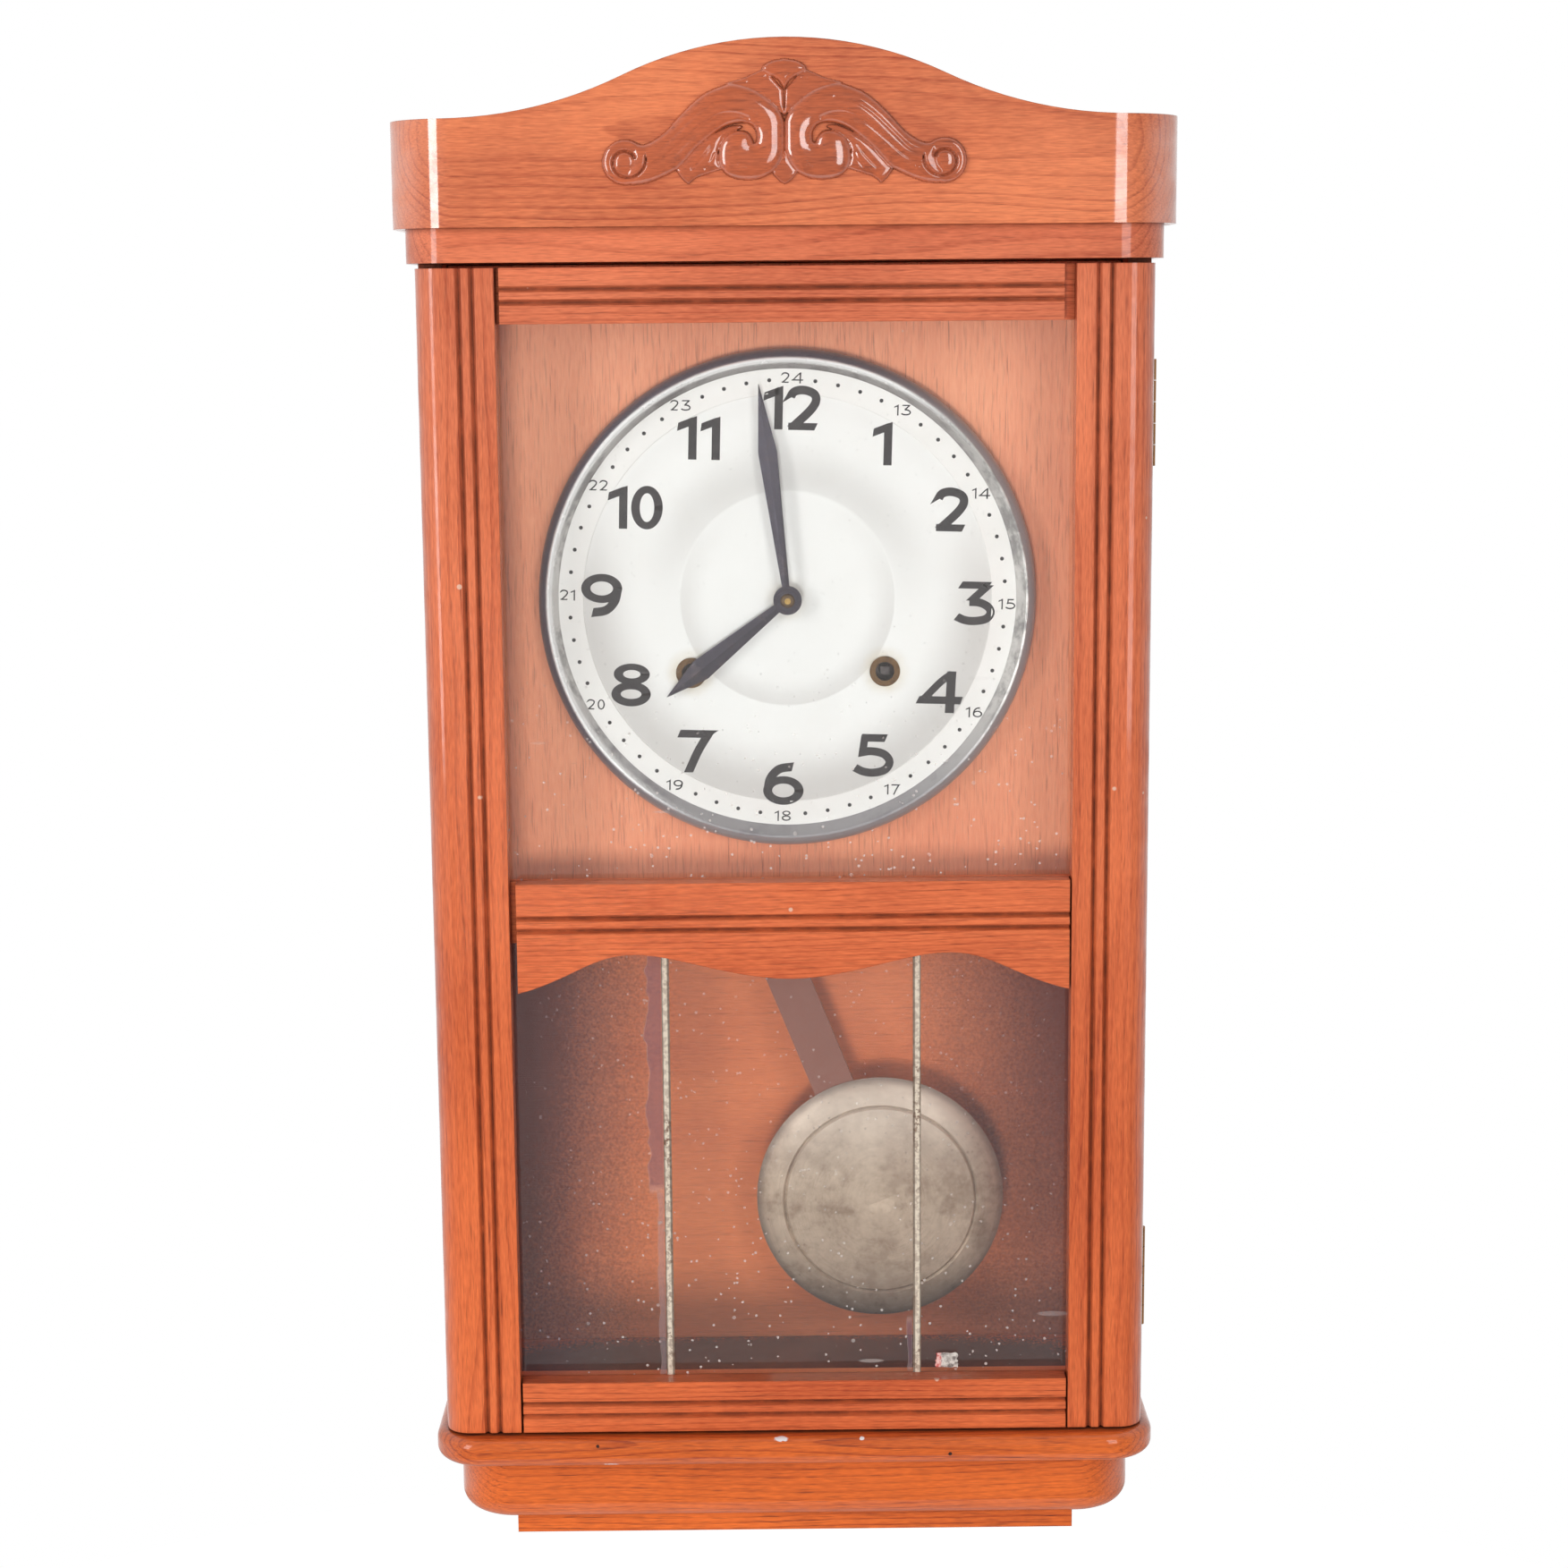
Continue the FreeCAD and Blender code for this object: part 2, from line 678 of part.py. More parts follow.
def bottom_board():
    """Bottom of the case; its rounded nose shows all round as the base shelf."""
    z0 = level(SHELF_TOP - SHELF_THICKNESS)
    z1 = level(SHELF_TOP)
    slab = rounded_slab(HALF_WIDTH + SHELF_OVERHANG, 0, DOOR_FRONT - SHELF_FRONT, SHELF_CORNER, z0, z1)
    return round_rim(slab, (z0, z1), 0, SHELF_ROUND)


def base_block():
    """Moulded block under the shelf, rounded in plan and along its lower edge."""
    z0 = level(FOOT_HEIGHT)
    slab = rounded_slab(BLOCK_WIDTH / 2, 0, DOOR_FRONT + BLOCK_SETBACK, BLOCK_CORNER, z0, z0 + BLOCK_HEIGHT)
    return round_rim(slab, (z0,), 0, BLOCK_ROUND)


def foot_strip():
    half = FOOT_WIDTH / 2
    return box(-half, half, DOOR_FRONT + FOOT_SETBACK, 0, level(0), level(FOOT_HEIGHT))


def crown_outline(half, z0, z_shoulder):
    """Elevation of the crown: flat shoulders, hollow flanks and a round arch, all tangent."""
    flank = math.radians(CROWN_FLANK_ANGLE)
    arch_drop = CROWN_ARCH_RADIUS * (1 - math.cos(flank))
    hollow_radius = (CROWN_RISE - arch_drop) / (1 - math.cos(flank))
    x_turn = CROWN_ARCH_RADIUS * math.sin(flank)
    x_foot = x_turn + hollow_radius * math.sin(flank)
    z_peak = z_shoulder + CROWN_RISE
    z_turn = z_peak - arch_drop
    x_mid = x_foot - hollow_radius * math.sin(flank / 2)
    z_mid = z_shoulder + hollow_radius * (1 - math.cos(flank / 2))
    back = 0
    edges = [
        Part.LineSegment(V(-half, back, z0), V(-half, back, z_shoulder)).toShape(),
        Part.LineSegment(V(-half, back, z_shoulder), V(-x_foot, back, z_shoulder)).toShape(),
        Part.Arc(V(-x_foot, back, z_shoulder), V(-x_mid, back, z_mid), V(-x_turn, back, z_turn)).toShape(),
        Part.Arc(V(-x_turn, back, z_turn), V(0, back, z_peak), V(x_turn, back, z_turn)).toShape(),
        Part.Arc(V(x_turn, back, z_turn), V(x_mid, back, z_mid), V(x_foot, back, z_shoulder)).toShape(),
        Part.LineSegment(V(x_foot, back, z_shoulder), V(half, back, z_shoulder)).toShape(),
        Part.LineSegment(V(half, back, z_shoulder), V(half, back, z0)).toShape(),
        Part.LineSegment(V(half, back, z0), V(-half, back, z0)).toShape(),
    ]
    return Part.Face(Part.Wire(edges))


def crown_joint():
    """Y where the crown's rounded corners meet its returns."""
    return CROWN_FRONT + CROWN_CORNER + CROWN_JOINT


def crown_board():
    """Arched front of the crown with its two rounded corners."""
    z0 = level(CROWN_FOOT)
    z1 = z0 + CROWN_SHOULDER + CROWN_RISE
    half = HALF_WIDTH + CROWN_OVERHANG
    front = CROWN_FRONT
    back = crown_joint()
    outer = rounded_slab(half, back, front, CROWN_CORNER, z0, z1)
    inner_half = half - CROWN_RETURN_THICKNESS
    inner_corner = CROWN_CORNER - CROWN_THICKNESS
    inner = rounded_slab(inner_half, back + 1, front + CROWN_THICKNESS, inner_corner, z0 - 1, z1 + 1)
    plan = outer.cut(inner)
    face = crown_outline(half + 1, z0, z0 + CROWN_SHOULDER)
    face.translate(V(0, front - 1, 0))
    return plan.common(face.extrude(V(0, back - front + 2, 0)))


def crown_sides():
    """Returns of the crown, from its rounded corners back to the wall."""
    z0 = level(CROWN_FOOT)
    half = HALF_WIDTH + CROWN_OVERHANG
    front = crown_joint()
    boards = []
    for sign in (-1, 1):
        x0, x1 = sorted((sign * (half - CROWN_RETURN_THICKNESS), sign * half))
        boards.append(box(x0, x1, front, 0, z0, z0 + CROWN_SHOULDER))
    return group(boards)


def mirrored(strokes, sign):
    """The same outline, or its mirror image across the middle."""
    return [tuple((sign * dx, dz) for dx, dz in stroke) for stroke in strokes]


def crest_scroll(sign):
    """Half of the ornament: a scrolled arm that rises to the middle, its lobe and its leaf."""
    z = level(CREST_LEVEL)
    arm = (
        ((57.0, 14.3), (49.5, 20.3), (41.4, 28.7)),
        ((41.4, 28.7), (27.0, 38.6), (12.2, 37.7)),
        ((12.2, 37.7), (5.0, 32.7), (0.0, 25.0)),
        ((0.0, 25.0), (0.0, 14.3)),
        ((0.0, 14.3), (14.0, 2.1), (25.5, 6.4)),
        ((25.5, 6.4), (32.4, 4.4), (39.0, 0.3)),
        ((39.0, 0.3), (41.9, 2.9), (44.1, 6.4)),
        ((44.1, 6.4), (52.0, 2.1), (62.7, 0.5)),
        ((62.7, 0.5), (57.0, 14.3)),
    )
    petal = (
        ((0.0, 38.2), (8.0, 45.3), (19.3, 40.9)),
        ((19.3, 40.9), (19.3, 36.0)),
        ((19.3, 36.0), (0.0, 24.0)),
        ((0.0, 24.0), (0.0, 38.2)),
    )
    body = relief(mirrored(arm, sign), 0, z, CROWN_FRONT, CREST_RELIEF)
    leaf = relief(mirrored(petal, sign), 0, z, CROWN_FRONT, CREST_PETAL_RELIEF)
    return [body, leaf, crest_volute(sign), crest_lobe(sign)]


def crest_volute(sign):
    """Round end of an arm, with a groove round its raised eye."""
    face = CROWN_FRONT - CREST_VOLUTE_RELIEF
    eye = CREST_EYE_RADIUS
    edge = CREST_EDGE
    profile = (
        (0, CROWN_FRONT), (CREST_VOLUTE_RADIUS, CROWN_FRONT), (CREST_VOLUTE_RADIUS, face + edge),
        (CREST_VOLUTE_RADIUS - edge, face), (eye + edge, face), (eye, face + edge), (eye - edge, face),
        (0, face),
    )
    return turned(profile, sign * CREST_VOLUTE_OFFSET, level(CREST_LEVEL) + CREST_VOLUTE_RISE)


def crest_lobe(sign):
    """Domed lobe: the part of a ball that stands out of the crown's face."""
    rise = CREST_LOBE_RELIEF
    ball_radius = (CREST_LOBE_RADIUS ** 2 + rise ** 2) / (2 * rise)
    x = sign * CREST_LOBE_OFFSET
    z = level(CREST_LEVEL) + CREST_LOBE_RISE
    ball = Part.makeSphere(ball_radius, V(x, CROWN_FRONT - rise + ball_radius, z))
    reach = CREST_LOBE_RADIUS + 1
    shell = box(x - reach, x + reach, CROWN_FRONT - 2 * rise, CROWN_FRONT, z - reach, z + reach)
    return ball.common(shell)


def crest_carving():
    """Carved ornament on the crown: two scrolled arms, a bud between them and a tip below."""
    z = level(CREST_LEVEL)
    bud = (
        ((0.0, 38.2), (3.4, 40.8), (7.2, 44.6)),
        ((7.2, 44.6), (4.6, 48.4), (0.0, 49.9)),
        ((0.0, 49.9), (-4.6, 48.4), (-7.2, 44.6)),
        ((-7.2, 44.6), (-3.4, 40.8), (0.0, 38.2)),
    )
    tip = (
        ((0.0, 16.0), (5.0, 6.0)),
        ((5.0, 6.0), (0.0, 0.0)),
        ((0.0, 0.0), (-5.0, 6.0)),
        ((-5.0, 6.0), (0.0, 16.0)),
    )
    upper = relief(bud, 0, z, CROWN_FRONT, CREST_BUD_RELIEF)
    lower = relief(tip, 0, z, CROWN_FRONT, CREST_PETAL_RELIEF)
    return fuse(crest_scroll(-1) + crest_scroll(1) + [upper, lower])


# ---- door ----
def flute_cuts_vertical(sign):
    """Two grooves down the face of a stile, with a bead between them."""
    z0 = level(DOOR_FOOT) - 1
    z1 = level(DOOR_HEAD) + 1
    first = STILE_INNER + FLUTE_LAND
    cuts = []
    for start in (first, first + FLUTE_WIDTH + FLUTE_BEAD):
        middle = sign * (start + FLUTE_WIDTH / 2)
        half = FLUTE_WIDTH / 2
        deep = (middle, DOOR_FRONT + FLUTE_DEPTH)
        points = ((middle - half, DOOR_FRONT), deep, (middle + half, DOOR_FRONT))
        cuts.append(polygon_xy(points, z0, z1))
    return cuts


def door_stile(sign):
    """Upright of the door: rounded outer edge, fluted face, rebated back."""
    z0 = level(DOOR_FOOT)
    z1 = level(DOOR_HEAD)
    radius = STILE_CORNER
    bend = radius * math.sqrt(0.5)
    outer = HALF_WIDTH
    corner = V(sign * (outer - radius), DOOR_FRONT + radius, z0)
    start = V(sign * outer, DOOR_FRONT + radius, z0)
    end = V(sign * (outer - radius), DOOR_FRONT, z0)
    inner = sign * STILE_INNER
    edges = [
        Part.LineSegment(V(sign * outer, DOOR_BACK, z0), start).toShape(),
        Part.Arc(start, corner + V(sign * bend, -bend, 0), end).toShape(),
        Part.LineSegment(end, V(inner, DOOR_FRONT, z0)).toShape(),
        Part.LineSegment(V(inner, DOOR_FRONT, z0), V(inner, DOOR_BACK, z0)).toShape(),
        Part.LineSegment(V(inner, DOOR_BACK, z0), V(sign * outer, DOOR_BACK, z0)).toShape(),
    ]
    stile = Part.Face(Part.Wire(edges)).extrude(V(0, 0, z1 - z0))
    for cut in flute_cuts_vertical(sign):
        stile = stile.cut(cut)
    x0, x1 = sorted((inner, inner + sign * REBATE))
    for low, high in (lower_pane_levels(), upper_pane_levels()):
        stile = stile.cut(box(x0, x1, GLASS_FRONT, DOOR_BACK, low, high))
    if sign > 0:
        for middle in hinge_levels():
            stile = stile.cut(door_leaf_at(middle)).cut(knuckle_room(middle))
    return stile


def upper_pane_levels():
    """Low and high Z of the upper pane's rebate."""
    return (level(MID_RAIL_LEVEL) - REBATE, level(DOOR_HEAD - TOP_RAIL) + REBATE)


def lower_pane_levels():
    """Low and high Z of the lower pane's rebate."""
    return (level(DOOR_FOOT + BOTTOM_RAIL) - REBATE, level(MID_RAIL_LEVEL - MID_RAIL) + REBATE)


def rail(z0, z1, gaps):
    """Rail between the stiles; its moulded facing stops a little short of each."""
    core = box(-STILE_INNER, STILE_INNER, DOOR_FRONT + RAIL_FACING, DOOR_BACK, z0, z1)
    left = -STILE_INNER + gaps[0]
    facing = box(left, STILE_INNER - gaps[1], DOOR_FRONT, DOOR_FRONT + RAIL_FACING, z0, z1)
    return core.fuse(facing).removeSplitter()


def rail_grooves(z_top):
    """Two grooves along the face of a rail, with a bead between them."""
    cuts = []
    for top in (z_top, z_top - FLUTE_WIDTH - FLUTE_BEAD):
        middle = top - FLUTE_WIDTH / 2
        half = FLUTE_WIDTH / 2
        start = -STILE_INNER - 1
        low = V(start, DOOR_FRONT, middle - half)
        high = V(start, DOOR_FRONT, middle + half)
        deep = V(start, DOOR_FRONT + FLUTE_DEPTH, middle)
        face = Part.Face(Part.makePolygon([low, high, deep, low]))
        cuts.append(face.extrude(V(-2 * start, 0, 0)))
    return cuts


def rebate_cut(z0, z1):
    """Room for a pane and its beads behind the face of a rail."""
    return box(-STILE_INNER, STILE_INNER, GLASS_FRONT, DOOR_BACK, z0, z1)


def door_top_rail():
    z1 = level(DOOR_HEAD)
    z0 = z1 - TOP_RAIL
    piece = rail(z0, z1, TOP_FACING_GAPS).cut(rebate_cut(z0, z0 + REBATE))
    for cut in rail_grooves(z1 - TOP_GROOVE_DROP):
        piece = piece.cut(cut)
    return piece


def door_bottom_rail():
    z0 = level(DOOR_FOOT)
    z1 = z0 + BOTTOM_RAIL
    piece = rail(z0, z1, BOTTOM_FACING_GAPS).cut(rebate_cut(z1 - REBATE, z1))
    for cut in rail_grooves(z1 - BOTTOM_GROOVE_DROP):
        piece = piece.cut(cut)
    return piece


def apron_edge():
    """Lower edge of the apron: two arches either side of a shallow point, with low tips."""
    top = level(MID_RAIL_LEVEL)
    left = -STILE_INNER + MID_FACING_GAPS[0]
    right = STILE_INNER - MID_FACING_GAPS[1]
    z_tip = top - APRON_TIP_DROP
    z_arch = top - APRON_ARCH_DROP
    z_centre = top - APRON_CENTRE_DROP
    reach = APRON_ARCH_OFFSET
    points = [
        V(left, DOOR_FRONT, z_tip),
        V(left + 0.45 * (-reach - left), DOOR_FRONT, z_tip + 0.42 * (z_arch - z_tip)),
        V(-reach, DOOR_FRONT, z_arch),
        V(-reach / 2, DOOR_FRONT, z_arch + 0.42 * (z_centre - z_arch)),
        V(0, DOOR_FRONT, z_centre),
        V(reach / 2, DOOR_FRONT, z_arch + 0.42 * (z_centre - z_arch)),
        V(reach, DOOR_FRONT, z_arch),
        V(right - 0.45 * (right - reach), DOOR_FRONT, z_tip + 0.42 * (z_arch - z_tip)),
        V(right, DOOR_FRONT, z_tip),
    ]
    curve = Part.BSplineCurve()
    curve.interpolate(Points=points)
    return curve.toShape(), points[0], points[-1]


def door_mid_rail():
    """Rail between the panes, with the scalloped apron that hangs from it."""
    z1 = level(MID_RAIL_LEVEL)
    z0 = z1 - MID_RAIL
    piece = rail(z0, z1, MID_FACING_GAPS)
    curve, first, last = apron_edge()
    high_left = V(first.x, DOOR_FRONT, z0)
    high_right = V(last.x, DOOR_FRONT, z0)
    edges = [
        curve,
        Part.LineSegment(last, high_right).toShape(),
        Part.LineSegment(high_right, high_left).toShape(),
        Part.LineSegment(high_left, first).toShape(),
    ]
    apron = Part.Face(Part.Wire(edges)).extrude(V(0, APRON_THICKNESS, 0))
    piece = piece.cut(rebate_cut(z1 - REBATE, z1)).cut(rebate_cut(z0, z0 + REBATE))
    piece = piece.fuse(apron).removeSplitter()
    for cut in rail_grooves(z1 - MID_GROOVE_DROP):
        piece = piece.cut(cut)
    return piece


def pane(levels):
    """Sheet of glass in its rebate."""
    half = STILE_INNER + REBATE - GLASS_CLEARANCE
    low, high = levels
    return box(-half, half, GLASS_FRONT, GLASS_BACK, low + GLASS_CLEARANCE, high - GLASS_CLEARANCE)


def glass_upper():
    return pane(upper_pane_levels())


def glass_lower():
    return pane(lower_pane_levels())


def glass_beads():
    """Wooden beads that hold each pane in its rebate."""
    beads = []
    outer = STILE_INNER + REBATE
    for low, high in (lower_pane_levels(), upper_pane_levels()):
        for sign in (-1, 1):
            x0, x1 = sorted((sign * outer, sign * (outer - BEAD_WIDTH)))
            beads.append(box(x0, x1, GLASS_BACK, GLASS_BACK + BEAD_DEPTH, low, high))
        span = STILE_INNER + REBATE - BEAD_WIDTH
        beads.append(box(-span, span, GLASS_BACK, GLASS_BACK + BEAD_DEPTH, low, low + BEAD_WIDTH))
        beads.append(box(-span, span, GLASS_BACK, GLASS_BACK + BEAD_DEPTH, high - BEAD_WIDTH, high))
    return group(beads)


def glass_strips():
    """Two brass strips down the face of the lower pane."""
    low, high = lower_pane_levels()
    half = STRIP_WIDTH / 2
    strips = []
    for sign in (-1, 1):
        middle = sign * STRIP_OFFSET
        strips.append(box(middle - half, middle + half, GLASS_FRONT - STRIP_THICKNESS, GLASS_FRONT,
                          low + REBATE, high - REBATE))
    return group(strips)


def catch_place():
    """X and Z of the door catch, behind the left stile."""
    return (-INNER_HALF + 5.0, level(CATCH_LEVEL))


def catch_stud():
    """Turned stud in the back of the left stile, with a swollen end."""
    x, z = catch_place()
    back = DOOR_BACK
    radius = CATCH_STUD_RADIUS
    neck = radius * 0.6
    end = back + CATCH_STUD_LENGTH
    profile = ((0, back), (neck, back), (neck, end - 4), (radius, end - 2), (neck, end), (0, end))
    return turned(profile, x, z)


def catch_spring():
    """Two springy prongs above and below the stud, on a foot on the side board."""
    x, z = catch_place()
    reach = CATCH_STUD_RADIUS + CATCH_CLEARANCE
    y0 = -CASE_DEPTH + 2.0
    y1 = y0 + CATCH_SPRING_LENGTH
    thick = CATCH_SHEET
    foot = box(-INNER_HALF, -INNER_HALF + thick, y1 - 4, y1, z - reach - thick, z + reach + thick)
    upper = box(-INNER_HALF, x + 2, y0, y1, z + reach, z + reach + thick)
    lower = box(-INNER_HALF, x + 2, y0, y1, z - reach - thick, z - reach)
    return fuse([foot, upper, lower])


# ---- dial ----
def winding_places():
    return (TIME_WIND, STRIKE_WIND)


def dial_board():
    """Veneered board behind the dial, bored for the hand pipe and the two winding squares."""
    half = INNER_HALF - DIAL_BOARD_PLAY
    top = level(CASE_TOP - DIAL_BOARD_PLAY)
    board = box(-half, half, BOARD_FRONT, BOARD_BACK, level(DIAL_BOARD_FOOT), top)
    board = board.cut(rod_y(*CENTRE, BOARD_FRONT - 1, BOARD_BACK + 1, EYELET_RADIUS + 2))
    for place in winding_places():
        board = board.cut(rod_y(*place, BOARD_FRONT - 1, BOARD_BACK + 1, EYELET_RADIUS + 1))
    return board


def dial_wall(radius):
    """Y of the dial's hollow wall at a radius; the wall is an arc that runs out flat at the track."""
    reach = DIAL_TRACK_RADIUS - DIAL_DISC_RADIUS
    drop = DIAL_DISH - DIAL_STEP
    curve = (reach ** 2 + drop ** 2) / (2 * drop)
    away = DIAL_TRACK_RADIUS - radius
    return DIAL_FACE + DIAL_STEP + curve - math.sqrt(curve ** 2 - away ** 2)


def dial_plate():
    """Pressed silvered dial: a flat track, a hollow wall and a flat middle, with three holes."""
    face = DIAL_FACE
    sheet = DIAL_SHEET
    deep = dial_wall(DIAL_DISC_RADIUS)
    half_way = (DIAL_TRACK_RADIUS + DIAL_DISC_RADIUS) / 2
    middle_behind = (half_way, dial_wall(half_way) + sheet)
    ledge = face + DIAL_STEP
    strokes = (
        ((0, deep), (DIAL_DISC_RADIUS, deep)),
        ((DIAL_DISC_RADIUS, deep), (half_way, dial_wall(half_way)), (DIAL_TRACK_RADIUS, ledge)),
        ((DIAL_TRACK_RADIUS, ledge), (DIAL_TRACK_RADIUS + DIAL_STEP, face)),
        ((DIAL_TRACK_RADIUS + DIAL_STEP, face), (DIAL_RADIUS, face)),
        ((DIAL_RADIUS, face), (DIAL_RADIUS, ledge + sheet)),
        ((DIAL_RADIUS, ledge + sheet), (DIAL_TRACK_RADIUS, ledge + sheet)),
        ((DIAL_TRACK_RADIUS, ledge + sheet), middle_behind, (DIAL_DISC_RADIUS, deep + sheet)),
        ((DIAL_DISC_RADIUS, deep + sheet), (0, deep + sheet)),
        ((0, deep + sheet), (0, deep)),
    )
    plate = turned_curve(strokes, *CENTRE)
    plate = plate.cut(rod_y(*CENTRE, face - 1, BOARD_FRONT + 1, DIAL_HOLE))
    for place in winding_places():
        plate = plate.cut(rod_y(*place, face - 1, BOARD_FRONT + 1, EYELET_BORE))
    return plate


def bezel_ring():
    """Turned metal ring round the dial: rounded outer shoulder, fine crest and sloping inner wall."""
    crest = BOARD_FRONT - BEZEL_HEIGHT
    foot = BOARD_FRONT - BEZEL_FOOT
    shoulder = BEZEL_RADIUS - BEZEL_CREST_RADIUS
    bend = 1 - math.sqrt(0.5)
    middle = (BEZEL_RADIUS - bend * shoulder, crest + bend * (foot - crest))
    ledge = (BEZEL_CREST_RADIUS - 2 * BEZEL_EASE, crest + BEZEL_EASE)
    lip = (BEZEL_SIGHT + BEZEL_EASE, DIAL_FACE - BEZEL_EASE)
    strokes = (
        ((BEZEL_RADIUS, BOARD_FRONT), (BEZEL_RADIUS, foot)),
        ((BEZEL_RADIUS, foot), middle, (BEZEL_CREST_RADIUS, crest)),
        ((BEZEL_CREST_RADIUS, crest), ledge),
        (ledge, lip),
        (lip, (BEZEL_SIGHT, DIAL_FACE)),
        ((BEZEL_SIGHT, DIAL_FACE), (DIAL_RADIUS, DIAL_FACE)),
        ((DIAL_RADIUS, DIAL_FACE), (DIAL_RADIUS, BOARD_FRONT)),
        ((DIAL_RADIUS, BOARD_FRONT), (BEZEL_RADIUS, BOARD_FRONT)),
    )
    return turned_curve(strokes, *CENTRE)


def winding_eyelets():
    """Brass eyelets in the winding holes; each flange lies on the high side of the dial's wall."""
    seat = dial_wall(math.hypot(WIND_OFFSET, WIND_DROP) + EYELET_RADIUS)
    front = seat - EYELET_PROUD
    tail = BOARD_FRONT + EYELET_TAIL
    bore = EYELET_BORE - EYELET_RIM
    profile = ((bore, front), (EYELET_RADIUS, front), (EYELET_RADIUS, seat), (EYELET_BORE, seat),
               (EYELET_BORE, tail), (bore, tail))
    return group([turned(profile, *place) for place in winding_places()])


def case_cleats():
    """Cleats glued to the sides: two behind the dial board, two under the seat board."""
    cleats = []
    for sign in (-1, 1):
        x0, x1 = sorted((sign * INNER_HALF, sign * (INNER_HALF - CLEAT)))
        cleats.append(box(x0, x1, BOARD_BACK, BOARD_BACK + CLEAT, level(SEAT_TOP) + 4, level(CASE_TOP)))
        z1 = level(SEAT_TOP - SEAT_THICKNESS)
        cleats.append(box(x0, x1, BOARD_BACK, BOARD_BACK + SEAT_DEPTH, z1 - CLEAT, z1))
    return group(cleats)


def seat_board():
    """Board across the case that the movement stands on."""
    z1 = level(SEAT_TOP)
    return box(-INNER_HALF, INNER_HALF, BOARD_BACK, BOARD_BACK + SEAT_DEPTH, z1 - SEAT_THICKNESS, z1)


# ---- movement frame ----
def plate_places():
    """Arbors that run in both plates."""
    return (CENTRE, SECOND, THIRD, ESCAPE, ANCHOR, STRIKE_SECOND, WARN, FLY)


def pillar_places():
    half = PLATE_WIDTH / 2 - PILLAR_INSET
    low = DIAL_Z - PLATE_BELOW + PILLAR_INSET
    high = DIAL_Z + PLATE_ABOVE - PILLAR_INSET
    return ((-half, low), (half, low), (-half, high), (half, high))


def movement_plate(y0):
    """Brass plate bored for the arbors."""
    half = PLATE_WIDTH / 2
    plate = box(-half, half, y0, y0 + PLATE_THICKNESS, DIAL_Z - PLATE_BELOW, DIAL_Z + PLATE_ABOVE)
    for place in plate_places():
        plate = plate.cut(rod_y(*place, y0 - 1, y0 + PLATE_THICKNESS + 1, pivot_hole(place)))
    for place in winding_places():
        plate = plate.cut(rod_y(*place, y0 - 1, y0 + PLATE_THICKNESS + 1, WIND_ARBOR_RADIUS + PIVOT_PLAY))
    return plate


def pivot_hole(place):
    """Radius of the hole for an arbor; the centre and anchor arbors run thick through the plates."""
    thick = place in (CENTRE, ANCHOR)
    return (ARBOR_RADIUS if thick else PIVOT_RADIUS) + PIVOT_PLAY


def front_plate():
    """Front plate, with the stud that carries the motion wheel and the two click studs."""
    plate = movement_plate(PLATE_FRONT)
    studs = [rod_y(*MOTION, PLATE_FRONT - MOTION_SPACE + STUD_END, PLATE_FRONT, ARBOR_RADIUS)]
    for place in click_places():
        studs.append(rod_y(*place, ratchet_front() - STUD_END, PLATE_FRONT, ARBOR_RADIUS))
    return fuse([plate] + studs)


def back_plate():
    """Back plate with the four pillars riveted to it and the stud that the hammer turns on."""
    stud = rod_y(*HAMMER, PLATE_BACK, PLATE_BACK + HAMMER_BOSS + STUD_END / 2, ARBOR_RADIUS)
    pillars = [rod_y(*place, TRAIN_FRONT, TRAIN_BACK, PILLAR_RADIUS) for place in pillar_places()]
    return fuse([movement_plate(TRAIN_BACK), stud] + pillars)


def arbor(place, front=TRAIN_FRONT, back=TRAIN_BACK):
    """Steel arbor between the plates with a thinner pivot at each end."""
    body = rod_y(*place, front + ARBOR_SHAKE, back - ARBOR_SHAKE, ARBOR_RADIUS)
    pivots = rod_y(*place, front - PLATE_THICKNESS, back + PLATE_THICKNESS, PIVOT_RADIUS)
    return [body, pivots]


def at(offset):
    """Y of a place behind the front plate's inner face."""
    return TRAIN_FRONT + offset


def second_wheel_on(place, towards_great, wheel_parts):
    """An arbor driven by a great wheel, with its pinion and what it carries."""
    phase = mesh_phase(SECOND_PINION, towards_great)
    front = at(SECOND_PINION_AT)
    pinion = gear(SECOND_PINION, GREAT_MODULE, FULL_LEAF, phase, place, front, LONG_PINION)
    return fuse(arbor(place) + [pinion] + wheel_parts)


def centre_arbor():
    """Centre arbor with its pinion and wheel; it carries the minute hand."""
    phase = mesh_phase(CENTRE_PINION, bearing(CENTRE, SECOND))
    front = at(SECOND_AT - PINION_AHEAD)
    pinion = gear(CENTRE_PINION, SECOND_MODULE, FULL_LEAF, phase, CENTRE, front, SHORT_PINION)
    wheel = gear(CENTRE_TEETH, CENTRE_MODULE, WHEEL_FORM, bearing(CENTRE, THIRD), CENTRE, at(CENTRE_AT),
                 WHEEL_THICKNESS)
    shaft = rod_y(*CENTRE, nut_front() - ARBOR_END, PLATE_BACK, ARBOR_RADIUS)
    return fuse([shaft, pinion, wheel])


def second_wheel():
    """Second wheel of the going train."""
    wheel = gear(SECOND_TEETH, SECOND_MODULE, WHEEL_FORM, bearing(SECOND, CENTRE), SECOND, at(SECOND_AT),
                 WHEEL_THICKNESS)
    return second_wheel_on(SECOND, bearing(SECOND, TIME_WIND), [wheel])


